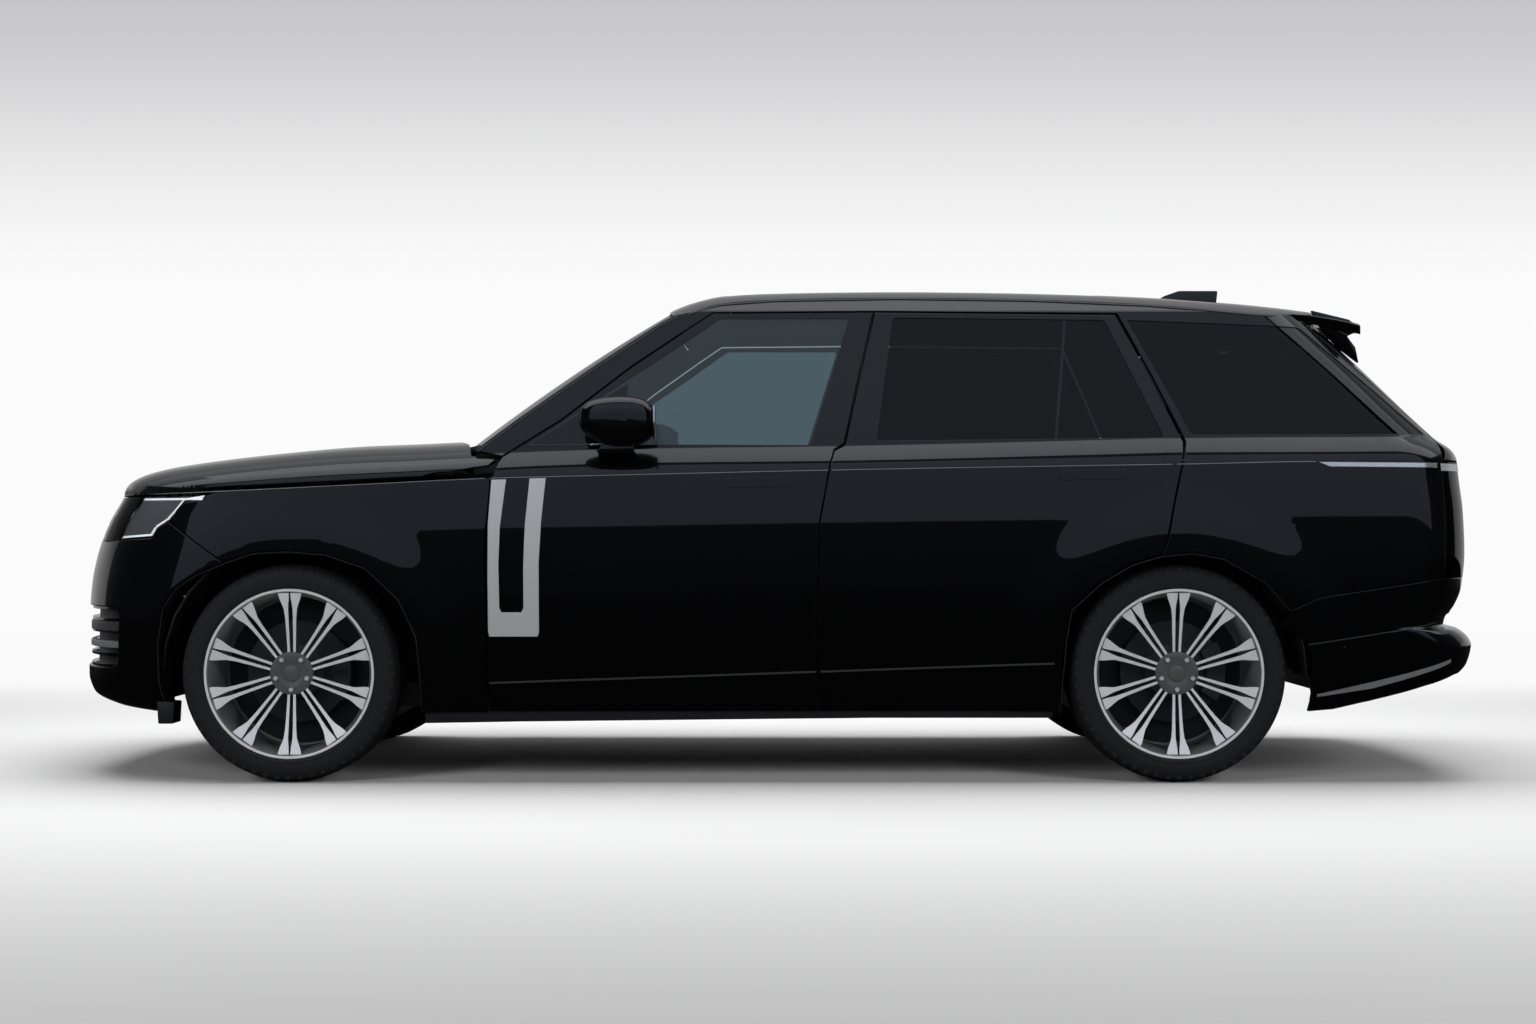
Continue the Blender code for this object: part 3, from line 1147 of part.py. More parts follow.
def liner(centre_x, inner_y, seat_x):
    def build(name):
        def arc(radius, low=LINER_LOW_ANGLE):
            steps = range(LINER_STEPS + 1)
            angles = [math.radians(low + (180 - 2 * low) * i / LINER_STEPS) for i in steps]
            return [(centre_x + radius * math.cos(a), TYRE_RADIUS + radius * math.sin(a)) for a in angles]
        ring = arc(LINER_RADIUS + LINER_WALL) + arc(LINER_RADIUS)[::-1]

        def to_inner(x, z):
            return half_width(x, z) - inner_y

        def edge(x, z):
            return SKIN_WALL + LINER_SEAT if x > seat_x else LINER_EDGE_DEPTH

        def across(x, z, depth):
            return Vector((x, depth - half_width(x, z), z))

        band = laid_panel(name, ring, across, edge, to_inner)
        disc = arc(LINER_RADIUS + LINER_WALL / 2, LINER_WALL_ANGLE)
        wall = swept("wall", disc, -inner_y - LINER_WALL, -inner_y)
        return join(band, wall)
    return build


both_sides("liner_front", liner(FRONT_AXLE_X, LINER_FRONT_INNER_Y, FRONT_AXLE_X + LINER_RADIUS * 0.8), "black_trim")
both_sides("liner_rear", liner(REAR_AXLE_X, LINER_REAR_INNER_Y, LENGTH), "black_trim")


def turned(name, profile, facets):
    """Turn a closed (radius, along) profile about an axis that ends up along Y."""
    mesh = bpy.data.meshes.new(name)
    mesh.from_pydata([(r, 0, a) for r, a in profile], [(i, (i + 1) % len(profile)) for i in range(len(profile))], [])
    spun = bpy.data.objects.new(name, mesh)
    screw = spun.modifiers.new("turn", "SCREW")
    screw.axis = "Z"
    screw.steps = facets
    screw.render_steps = facets
    screw.use_merge_vertices = True
    screw.merge_threshold = MERGE
    CUTTERS.objects.link(spun)
    solid = flatten(spun, ())
    work = bmesh.new()
    work.from_mesh(solid.data)
    bmesh.ops.transform(work, matrix=Matrix.Rotation(math.radians(90), 4, "X"), verts=work.verts)
    bmesh.ops.recalc_face_normals(work, faces=work.faces)
    work.to_mesh(solid.data)
    work.free()
    return solid


def ring_points(radius, count, start=0.0):
    return [(radius * math.cos(start + 2 * math.pi * i / count), radius * math.sin(start + 2 * math.pi * i / count))
            for i in range(count)]


# Road wheels, built on the left with their outer face towards -Y
RIM_EDGE = 0.130
SEAT_EDGE = 0.118
SEAT_RADIUS = 0.290
DISC_RADIUS = 0.185
DISC_WALL = 0.026
DISC_INNER = -0.075
HUB_INNER = -0.060
TYRE_PROFILE = ((SEAT_RADIUS + TOUCH_GAP, -SEAT_EDGE + TOUCH_GAP), (SEAT_RADIUS + TOUCH_GAP, SEAT_EDGE - TOUCH_GAP),
                (RIM_RADIUS + TOUCH_GAP, SEAT_EDGE - TOUCH_GAP), (RIM_RADIUS + 0.004, 0.130), (0.350, TYRE_HALF_WIDTH), (0.380, 0.126),
                (TYRE_RADIUS, 0.095), (TYRE_RADIUS, -0.095), (0.380, -0.126),
                (0.350, -TYRE_HALF_WIDTH), (RIM_RADIUS + 0.004, -0.130),
                (RIM_RADIUS + TOUCH_GAP, TOUCH_GAP - SEAT_EDGE))
BARREL_PROFILE = ((SEAT_RADIUS, -SEAT_EDGE), (SEAT_RADIUS, SEAT_EDGE), (RIM_RADIUS, SEAT_EDGE), (RIM_RADIUS, RIM_EDGE),
                  (RIM_RADIUS - RIM_WALL, RIM_EDGE), (BARREL_RADIUS, SEAT_EDGE - DISH_DEPTH), (BARREL_RADIUS, -SEAT_EDGE),
                  (RIM_RADIUS, -RIM_EDGE), (RIM_RADIUS, -SEAT_EDGE))


def plate_holes():
    """Wide openings between the ten spoke pairs and a narrow slot inside each pair."""
    holes = []
    root = HUB_RADIUS
    reach = SPOKE_OUTER_RADIUS - RIM_WALL
    for i in range(SPOKE_PAIRS):
        pair = math.pi / 2 + 2 * math.pi * i / SPOKE_PAIRS
        between = pair + math.pi / SPOKE_PAIRS

        def spot(angle, radius, across):
            return (radius * math.cos(angle) - across * math.sin(angle), radius * math.sin(angle) + across * math.cos(angle))

        def half_opening(radius, spoke):
            return radius * math.sin(math.pi / SPOKE_PAIRS) - spoke

        wide_root = half_opening(root, SLOT_WIDTH_ROOT / 2 + SPOKE_WIDTH_ROOT)
        wide_tip = half_opening(reach, SPOKE_WIDTH_TIP)
        holes.append([spot(between, root + RIM_WALL, -wide_root / 2), spot(between, reach * 0.97, -wide_tip),
                      spot(between, reach, 0), spot(between, reach * 0.97, wide_tip),
                      spot(between, root + RIM_WALL, wide_root / 2)])
        slot_tip = reach * SLOT_TIP_SHARE
        holes.append([spot(pair, root + RIM_WALL, -SLOT_WIDTH_ROOT / 2), spot(pair, slot_tip, -SLOT_WIDTH_TIP / 2),
                      spot(pair, slot_tip, SLOT_WIDTH_TIP / 2), spot(pair, root + RIM_WALL, SLOT_WIDTH_ROOT / 2)])
    return holes


def spoke_plate(name):
    mesh = outline_slab(name, ring_points(SPOKE_OUTER_RADIUS, WHEEL_FACETS), plate_holes())
    work = bmesh.new()
    work.from_mesh(mesh)
    bmesh.ops.remove_doubles(work, verts=work.verts, dist=MERGE)
    face = RIM_EDGE - SPOKE_FACE_INSET
    for vertex in work.verts:
        a, b, side = vertex.co
        radius = math.hypot(a, b)
        dish = DISH_DEPTH * (1 - min(radius / SPOKE_OUTER_RADIUS, 1) ** 2)
        along = face - dish - (0 if side > 0 else SPOKE_PLATE)
        vertex.co = (a, -along, b)
    work.normal_update()
    bmesh.ops.recalc_face_normals(work, faces=work.faces)
    work.to_mesh(mesh)
    work.free()
    return make_object(name, mesh)


def rim(name):
    barrel = turned(name, [(r, a) for r, a in BARREL_PROFILE], WHEEL_FACETS)
    hub = rod("hub", (0, -HUB_INNER, 0), (0, -(RIM_EDGE - SPOKE_FACE_INSET - DISH_DEPTH), 0), HUB_RADIUS, WHEEL_FACETS // 2)
    disc = rod("disc", (0, -DISC_INNER, 0), (0, -(DISC_INNER + DISC_WALL), 0), DISC_RADIUS, WHEEL_FACETS // 2)
    return join(barrel, spoke_plate("plate"), hub, disc)


def moved(source, name, offset):
    mesh = source.data.copy()
    work = bmesh.new()
    work.from_mesh(mesh)
    bmesh.ops.translate(work, vec=offset, verts=work.verts)
    work.to_mesh(mesh)
    work.free()
    return make_object(name, mesh)


left_rim = rim("rim_pattern")
left_tyre = turned("tyre_pattern", TYRE_PROFILE, WHEEL_FACETS)
for axle, axle_x in (("front", FRONT_AXLE_X), ("rear", REAR_AXLE_X)):
    for pattern, piece, look in ((left_rim, "rim", "alloy"), (left_tyre, "tyre", "tyre")):
        left = moved(pattern, piece + "_" + axle + "_left", (axle_x, -WHEEL_CENTRE_Y, TYRE_RADIUS))
        finish(mirrored(left, piece + "_" + axle + "_right"), look)
        finish(left, look)

# Knuckles, axles and the heavy masses underneath
SPINDLE_RADIUS = 0.034
BEARING_GAP = 0.0005
SPINDLE_END_Y = WHEEL_CENTRE_Y + DISC_INNER - BEARING_GAP
KNUCKLE_INNER_Y = 0.640
KNUCKLE_HALF = 0.045
KNUCKLE_HEIGHT = 0.110
CALIPER_LOW = 0.110
CALIPER_HIGH = 0.180
CALIPER_HALF = 0.075
CALIPER_GAP = 0.003
KINGPIN_Y = 0.725
LUG_HALF = 0.030
LUG_LOW = 0.250
LUG_OUTER_Y = KINGPIN_Y + LUG_HALF


def carrier(name, axle_x, side, steered):
    """Upright block with the spindle and the brake caliper's bracket."""
    block = box("block", (axle_x - KNUCKLE_HALF, KNUCKLE_INNER_Y, TYRE_RADIUS - KNUCKLE_HEIGHT),
                (axle_x + KNUCKLE_HALF, KNUCKLE_INNER_Y + KNUCKLE_HALF, TYRE_RADIUS + KNUCKLE_HEIGHT))
    spindle = rod("spindle", (axle_x, KNUCKLE_INNER_Y + KNUCKLE_HALF / 2, TYRE_RADIUS), (axle_x, SPINDLE_END_Y, TYRE_RADIUS),
                  SPINDLE_RADIUS)
    arm = box("arm", (axle_x + KNUCKLE_HALF / 2, KNUCKLE_INNER_Y + KNUCKLE_HALF / 2, TYRE_RADIUS - KNUCKLE_HALF),
              (axle_x + CALIPER_HIGH, SPINDLE_END_Y - CALIPER_GAP, TYRE_RADIUS + KNUCKLE_HALF))
    parts = [spindle, arm]
    if steered:
        parts.append(box("lug", (axle_x - LUG_HALF, KNUCKLE_INNER_Y + KNUCKLE_HALF / 2, LUG_LOW),
                         (axle_x + LUG_HALF, LUG_OUTER_Y, LUG_LOW + KNUCKLE_HALF)))
    solid = join(block, *parts)
    turned_over = solid if side > 0 else mirrored(solid, name)
    turned_over.name = name
    return turned_over


finish(carrier("knuckle_front_right", FRONT_AXLE_X, 1, True), "steel")
finish(carrier("knuckle_front_left", FRONT_AXLE_X, -1, True), "steel")

BEAM_HALF = 0.110
BEAM_SEAT_HALF = 0.400
BEAM_LOW = 0.265
BEAM_HIGH = 0.385


def rear_axle(name):
    beam = box(name, (REAR_AXLE_X - BEAM_HALF, -KNUCKLE_INNER_Y - KNUCKLE_HALF / 2, BEAM_LOW),
               (REAR_AXLE_X + BEAM_HALF, KNUCKLE_INNER_Y + KNUCKLE_HALF / 2, BEAM_HIGH))
    seat = box("seat", (REAR_AXLE_X - BEAM_HALF, -BEAM_SEAT_HALF, BEAM_LOW),
               (REAR_AXLE_X + BEAM_HALF, BEAM_SEAT_HALF, LOAD_FLOOR - FLOOR_WALL - TOUCH_GAP))
    return join(beam, seat, carrier("carrier_right", REAR_AXLE_X, 1, False), carrier("carrier_left", REAR_AXLE_X, -1, False))


finish(rear_axle("rear_axle"), "steel")

SUBFRAME_HALF_WIDTH = 0.420
SUBFRAME_REACH = 0.420
SUBFRAME_LOW = 0.235
SUBFRAME_HIGH = 0.330
ARM_HALF = 0.030
ARM_PAST = 0.010
ARM_LOW = 0.210
ENGINE_LOW = 0.3303
ENGINE_HIGH = 0.960
ENGINE_FRONT_X = -2.140
ENGINE_REAR_X = -1.260
ENGINE_HALF_WIDTH = 0.300


def front_subframe(name):
    cradle = box(name, (FRONT_AXLE_X - SUBFRAME_REACH, -SUBFRAME_HALF_WIDTH, SUBFRAME_LOW),
                 (BULKHEAD_X - TOUCH_GAP, SUBFRAME_HALF_WIDTH, SUBFRAME_HIGH))
    arms = box("arms", (FRONT_AXLE_X - ARM_HALF, -KINGPIN_Y - ARM_PAST, ARM_LOW),
               (FRONT_AXLE_X + ARM_HALF, KINGPIN_Y + ARM_PAST, LUG_LOW - TOUCH_GAP))
    return join(cradle, arms)


finish(front_subframe("front_subframe"), "steel")
finish(box("engine_block", (ENGINE_FRONT_X, -ENGINE_HALF_WIDTH, ENGINE_LOW), (ENGINE_REAR_X, ENGINE_HALF_WIDTH, ENGINE_HIGH)), "steel")

PIPE_RADIUS = 0.030
SILENCER = ((2.060, -0.470, 0.300), (2.360, 0.470, 0.4197))


def exhaust(name):
    can = box(name, *SILENCER)
    tips = [rod("tip", (SILENCER[1][0] - OVERRUN, side * 0.40, 0.360), (2.530, side * 0.40, 0.350), PIPE_RADIUS) for side in (-1, 1)]
    return join(can, *tips)


finish(exhaust("exhaust"), "steel")

# Cabin
DASH_BACK_X = BULKHEAD_X + BULKHEAD_WALL + TOUCH_GAP
DASH_PROFILE = ((DASH_BACK_X, 0.640), (-0.800, 0.640), (-0.640, 0.860), (-0.620, 1.020), (-0.700, 1.105), (-0.900, 1.130), (DASH_BACK_X, 1.115))
DASH_HALF_WIDTH = 0.760
CONSOLE_PROFILE = ((-0.800, 0.3223), (0.420, 0.3223), (0.420, 0.640), (0.000, 0.690), (-0.560, 0.760), (-0.700, 0.6390), (-0.800, 0.6390))
CONSOLE_HALF_WIDTH = 0.120
SEAT_PROFILE = ((-0.380, 0.3223), (0.180, 0.3223), (0.220, 0.560), (0.300, 0.700), (0.440, 1.250), (0.330, 1.275),
                (0.110, 0.760), (-0.360, 0.730), (-0.410, 0.640))
HEADREST_PROFILE = ((0.350, 1.240), (0.440, 1.230), (0.490, 1.440), (0.400, 1.450))
SEAT_INNER_Y = 0.135
SEAT_OUTER_Y = 0.655
HEADREST_HALF = 0.135
BENCH_PROFILE = ((0.900, 0.4803), (1.500, 0.4803), (1.560, 0.760), (1.740, 1.300), (1.600, 1.320), (1.400, 0.800),
                 (0.930, 0.770), (0.880, 0.640), (0.900, 0.500))
BENCH_HALF_WIDTH = 0.600


def seat(side):
    def build(name):
        low, high = sorted((side * SEAT_INNER_Y, side * SEAT_OUTER_Y))
        middle = (low + high) / 2
        rest = swept("rest", HEADREST_PROFILE, middle - HEADREST_HALF, middle + HEADREST_HALF)
        return join(swept(name, SEAT_PROFILE, low, high), rest)
    return build


finish(swept("centre_console", CONSOLE_PROFILE, -CONSOLE_HALF_WIDTH, CONSOLE_HALF_WIDTH), "soft_trim")
finish(seat(-1)("seat_front_left"), "leather")
finish(seat(1)("seat_front_right"), "leather")


def bench(name):
    rests = [swept("rest", [(x + 1.285, z + 0.040) for x, z in HEADREST_PROFILE], y - HEADREST_HALF, y + HEADREST_HALF)
             for y in (-0.39, 0.39)]
    return join(swept(name, BENCH_PROFILE, -BENCH_HALF_WIDTH, BENCH_HALF_WIDTH), *rests)


finish(bench("rear_bench"), "leather")

# Steering wheel on its column
STEER_CENTRE = Vector((-0.410, -0.395, 1.175))
STEER_TILT = math.radians(24)
STEER_RADIUS = 0.180
STEER_TUBE = 0.014
STEER_HUB = 0.050
STEER_HUB_DEPTH = 0.060
COLUMN_RADIUS = 0.030
COLUMN_LENGTH = 0.260
STEER_AXIS = Vector((math.cos(STEER_TILT), 0, math.sin(STEER_TILT)))


def steering_wheel(name):
    profile = [(STEER_RADIUS + STEER_TUBE * math.cos(k * math.pi / 3), STEER_TUBE * math.sin(k * math.pi / 3)) for k in range(6)]
    ring = turned(name, profile, 20)
    spoke = box("spoke", (-STEER_RADIUS, -STEER_TUBE / 2, -STEER_TUBE), (STEER_RADIUS, STEER_TUBE / 2, STEER_TUBE))
    stem = box("stem", (-STEER_TUBE, -STEER_TUBE / 2, -STEER_RADIUS), (STEER_TUBE, STEER_TUBE / 2, 0))
    hub = rod("hub", (0, -STEER_TUBE, 0), (0, STEER_HUB_DEPTH, 0), STEER_HUB)
    wheel = join(ring, spoke, stem, hub)
    way = STEER_AXIS.cross(Vector((0, 1, 0)))
    turn = Matrix((Vector((0, -1, 0)), -STEER_AXIS, way)).transposed().to_4x4()
    wheel.data.transform(Matrix.Translation(STEER_CENTRE) @ turn)
    return wheel


def checked(item):
    work = bmesh.new()
    work.from_mesh(item.data)
    bmesh.ops.recalc_face_normals(work, faces=work.faces)
    work.to_mesh(item.data)
    work.free()
    return item


finish(checked(steering_wheel("steering_wheel")), "soft_trim")
column_start = STEER_CENTRE - STEER_AXIS * (STEER_HUB_DEPTH + BEARING_GAP)
column = rod("column", column_start, column_start - STEER_AXIS * COLUMN_LENGTH, COLUMN_RADIUS)
finish(join(swept("dashboard", DASH_PROFILE, -DASH_HALF_WIDTH, DASH_HALF_WIDTH), column), "soft_trim")

# Door mirrors
MIRROR_PROFILE = ((-0.700, 1.235), (-0.640, 1.205), (-0.480, 1.205), (-0.425, 1.240), (-0.430, 1.330), (-0.460, 1.375),
                  (-0.560, 1.385), (-0.650, 1.350), (-0.700, 1.290))
MIRROR_INNER_Y = 0.960
MIRROR_OUTER_Y = 1.105
MIRROR_FOOT = ((-0.630, 1.176), (-0.530, 1.176), (-0.530, 1.218), (-0.630, 1.218))
MIRROR_FOOT_REACH = 0.055
MIRROR_TAPER_SHARE = 0.80


def mirror(name):
    head = swept(name, MIRROR_PROFILE, -MIRROR_OUTER_Y, -MIRROR_INNER_Y)
    middle = sum((Vector(p) for p in MIRROR_PROFILE), Vector((0, 0))) / len(MIRROR_PROFILE)
    for vertex in head.data.vertices:
        if vertex.co.y < -(MIRROR_INNER_Y + MIRROR_OUTER_Y) / 2:
            vertex.co.x = middle.x + (vertex.co.x - middle.x) * MIRROR_TAPER_SHARE
            vertex.co.z = middle.y + (vertex.co.z - middle.y) * MIRROR_TAPER_SHARE
    foot = laid_panel("foot", MIRROR_FOOT, LEFT, -MIRROR_FOOT_REACH, -TOUCH_GAP, cuts_b=DOOR_CUTS_Z, lines=CREASES)
    return join(head, foot)


both_sides("mirror", mirror, "paint")


# Every moving piece turns about its own origin
def hang(name, pivot):
    piece = BODY.objects[name]
    piece.data.transform(Matrix.Translation(-Vector(pivot)))
    piece.location = pivot


for side, sign in (("left", -1), ("right", 1)):
    for name in ("door_front_", "glass_front_", "mirror_"):
        hang(name + side, (FRONT_HINGE_X, sign * HINGE_Y, TYRE_RADIUS))
    for name in ("door_rear_", "glass_rear_"):
        hang(name + side, (REAR_HINGE_X, sign * HINGE_Y, TYRE_RADIUS))
    hang("knuckle_front_" + side, (FRONT_AXLE_X, sign * KINGPIN_Y, TYRE_RADIUS))
    for axle, axle_x in (("front_", FRONT_AXLE_X), ("rear_", REAR_AXLE_X)):
        for name in ("rim_", "tyre_"):
            hang(name + axle + side, (axle_x, sign * WHEEL_CENTRE_Y, TYRE_RADIUS))
hang("bonnet", (BONNET_HINGE_X, 0, BONNET_HINGE_Z))
for name in ("tailgate_upper", "tailgate_glass"):
    hang(name, (UPPER_HINGE_X, 0, UPPER_HINGE_Z))
hang("tailgate_lower", (GATE_HINGE_X, 0, GATE_HINGE_Z))
hang("steering_wheel", STEER_CENTRE)
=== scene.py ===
# %% [markdown]
# # A long luxury sport utility vehicle in a pale studio
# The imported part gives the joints, the places and the room that every piece may take. This script
# dresses it: outer panels are drawn again on the same body lines with rounded edges and true
# reflections, and wheels, lamps, glass, seats and trim get the detail that shows from a step away.
# +X runs to the tail, +Y to the vehicle's right, +Z up, in metres.

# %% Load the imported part
import math

import bmesh
import bpy
from mathutils import Matrix, Vector


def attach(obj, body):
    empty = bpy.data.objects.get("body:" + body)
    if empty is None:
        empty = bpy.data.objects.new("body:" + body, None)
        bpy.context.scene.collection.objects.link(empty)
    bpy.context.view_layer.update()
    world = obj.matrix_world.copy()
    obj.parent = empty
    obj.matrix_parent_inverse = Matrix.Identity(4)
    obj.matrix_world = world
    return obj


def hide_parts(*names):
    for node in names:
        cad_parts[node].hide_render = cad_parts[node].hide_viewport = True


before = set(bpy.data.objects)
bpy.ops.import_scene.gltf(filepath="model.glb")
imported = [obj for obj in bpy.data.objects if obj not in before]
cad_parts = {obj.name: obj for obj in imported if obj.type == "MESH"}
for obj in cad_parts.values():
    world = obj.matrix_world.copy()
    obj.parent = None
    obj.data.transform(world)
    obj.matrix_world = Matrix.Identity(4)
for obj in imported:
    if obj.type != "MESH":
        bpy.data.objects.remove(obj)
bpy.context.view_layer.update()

# %% [markdown]
# ## The lines of the body
# One skin carries every outer panel. It is given by a few lines along the body, as shares of the
# length and of the height, and by half widths as shares of the widest place. A smooth curve through
# a handful of values was chosen over a long list of points, because the reflections of black paint
# show every uneven value.

# %% Body lines
LENGTH = 5.280
BODY_HEIGHT = 1.842
HALF_WIDTH = 1.005
WHEELBASE = 3.197
FRONT_AXLE_X = 0.894 - LENGTH / 2
REAR_AXLE_X = FRONT_AXLE_X + WHEELBASE
TYRE_RADIUS = 0.392
WHEEL_CENTRE_Y = 0.846
SHUT_GAP = 0.006
SEAM = 0.00045
HALF_GAP = SHUT_GAP / 2
SKIN_WALL = 0.030
DOOR_SKIN = 0.034
DOOR_DEPTH = 0.135
GLASS_WALL = 0.005
GLASS_CORNER = 0.012
ROOF_CORNER = 0.030
PANE_GAP = 0.0006
NOSE_WALL = 0.035

WAIST_SHARES = ((0.0, 0.560), (0.11, 0.568), (0.21, 0.581), (0.31, 0.5946), (0.38, 0.5996),
                (0.54, 0.6103), (0.65, 0.6161), (0.78, 0.622), (0.87, 0.627), (1.0, 0.627))
BELT_SHARES = ((0.0, 0.600), (0.20, 0.620), (0.31, 0.644), (0.352, 0.6493), (0.42, 0.6542),
               (0.54, 0.6582), (0.72, 0.670), (0.78, 0.6741), (1.0, 0.678))
LOWER_CREASE_SHARES = ((0.0, 0.165), (0.26, 0.191), (0.53, 0.2175), (0.70, 0.2343), (1.0, 0.263))
BONNET_TOP_SHARES = ((0.0, 0.560), (0.0245, 0.568), (0.028, 0.582), (0.036, 0.601), (0.0625, 0.6225),
                     (0.088, 0.634), (0.147, 0.654), (0.207, 0.669), (0.251, 0.674), (0.320, 0.684))
ROOF_TOP_SHARES = ((0.400, 0.925), (0.4205, 0.9475), (0.4288, 0.960), (0.4424, 0.9745), (0.462, 0.987),
                   (0.491, 0.9925), (0.554, 0.996), (0.591, 0.9965), (0.661, 0.9945), (0.733, 0.989),
                   (0.766, 0.985), (0.814, 0.976), (0.858, 0.9645), (0.894, 0.950), (0.909, 0.940),
                   (0.930, 0.919))
SKIRT_SHARE, SIDE_SHARE, SIDE_SWELL_SHARE = 0.925, 0.985, 0.015
BELT_WIDTH_SHARE, CANT_WIDTH_SHARE, GLASSHOUSE_SWELL_SHARE = 0.925, 0.786, 0.008
SKIRT_HEIGHT_SHARE, CANT_HEIGHT_SHARE, CANT_FALL = 0.110, 0.930, 1.10
SHOULDER_POWER = 1.5
ROOF_FALL, ROOF_FALL_HALF_WIDTH, ROOF_FALL_POWER = 0.070, 0.740, 2.9
TAPER_SHARES = ((0.0, 0.965), (0.17, 0.985), (0.31, 1.0), (0.80, 1.0), (0.90, 0.990), (1.0, 0.975))
NOSE_SHARES = ((0.125, 0.050), (0.14, 0.020), (0.165, 0.004), (0.20, 0.0), (0.34, 0.001), (0.39, 0.0025),
               (0.44, 0.006), (0.473, 0.0095), (0.515, 0.0155), (0.54, 0.0205), (0.56, 0.0245),
               (0.60, 0.034), (0.70, 0.20))
TAIL_SHARES = ((0.10, 0.975), (0.304, 0.981), (0.343, 0.9875), (0.380, 0.9925), (0.45, 0.9948),
               (0.53, 0.9938), (0.60, 0.991), (0.634, 0.990), (0.652, 0.9875), (0.678, 0.9765),
               (0.834, 0.922), (0.94, 0.885))
BUMPER_TAIL_SHARES = ((0.12, 0.945), (0.19, 0.985), (0.228, 0.9975), (0.264, 1.0), (0.275, 0.9985),
                      (0.296, 0.990), (0.304, 0.980), (0.318, 0.981), (0.343, 0.9875), (0.38, 0.9925),
                      (0.45, 0.9948))
NOSE_REACH, NOSE_POWER, TAIL_REACH, TAIL_POWER = 0.80, 3.0, 0.34, 2.8
ARC_STEPS = 60


def place_x(share):
    return (share - 0.5) * LENGTH


def share_x(x):
    return x / LENGTH + 0.5


def place(pairs):
    """Turn (length share, height share) pairs into side-view places."""
    return [(place_x(u), h * BODY_HEIGHT) for u, h in pairs]


def follow(pairs, at):
    """Read a smooth curve that passes through the pairs without overshooting."""
    last = len(pairs) - 1
    if at <= pairs[0][0]:
        return pairs[0][1]
    if at >= pairs[last][0]:
        return pairs[last][1]
    index = 0
    while pairs[index + 1][0] < at:
        index += 1

    def chord(i):
        return (pairs[i + 1][1] - pairs[i][1]) / (pairs[i + 1][0] - pairs[i][0])

    def slope(i):
        if i == 0:
            return chord(0)
        if i == last:
            return chord(last - 1)
        before, after = chord(i - 1), chord(i)
        return 0 if before * after <= 0 else 2 * before * after / (before + after)

    span = pairs[index + 1][0] - pairs[index][0]
    t = (at - pairs[index][0]) / span
    rise = 3 * t * t - 2 * t * t * t
    return (pairs[index][1] * (1 - rise) + pairs[index + 1][1] * rise
            + span * (t * (1 - t) * (1 - t) * slope(index) + t * t * (t - 1) * slope(index + 1)))


FLARE_OUT, FLARE_START, FLARE_END = 0.0085, 0.490, 0.680


def flare(x, z):
    """The slight swell of the body round a wheel arch, flat at the lip and fading with distance."""
    reach = min(math.dist((x, z), (axle, TYRE_RADIUS)) for axle in (FRONT_AXLE_X, REAR_AXLE_X))
    fade = min(max((reach - FLARE_START) / (FLARE_END - FLARE_START), 0), 1)
    return FLARE_OUT * (1 - fade * fade * (3 - 2 * fade))


def line_z(shares, x):
    """The height of a body line at a place along the body."""
    return BODY_HEIGHT * follow(shares, share_x(x))


def section_width(x, z):
    """Half width of the long middle of the body at a place along it and a height."""
    crease, waist, belt = (line_z(shares, x) for shares in (LOWER_CREASE_SHARES, WAIST_SHARES, BELT_SHARES))
    cant = BODY_HEIGHT * CANT_HEIGHT_SHARE
    skirt = BODY_HEIGHT * SKIRT_HEIGHT_SHARE
    if z < crease:
        t = max((z - skirt) / (crease - skirt), 0)
        share = SKIRT_SHARE + (SIDE_SHARE - SKIRT_SHARE) * t
    elif z < waist:
        t = (z - crease) / (waist - crease)
        share = SIDE_SHARE + SIDE_SWELL_SHARE * 4 * t * (1 - t)
    elif z < belt:
        t = (z - waist) / (belt - waist)
        share = SIDE_SHARE - (SIDE_SHARE - BELT_WIDTH_SHARE) * t ** SHOULDER_POWER
    elif z < cant:
        t = (z - belt) / (cant - belt)
        share = (BELT_WIDTH_SHARE - (BELT_WIDTH_SHARE - CANT_WIDTH_SHARE) * t
                 + GLASSHOUSE_SWELL_SHARE * 4 * t * (1 - t))
    else:
        share = CANT_WIDTH_SHARE - CANT_FALL * (z - cant) / HALF_WIDTH
    return HALF_WIDTH * share * follow(TAPER_SHARES, share_x(x)) + flare(x, z)


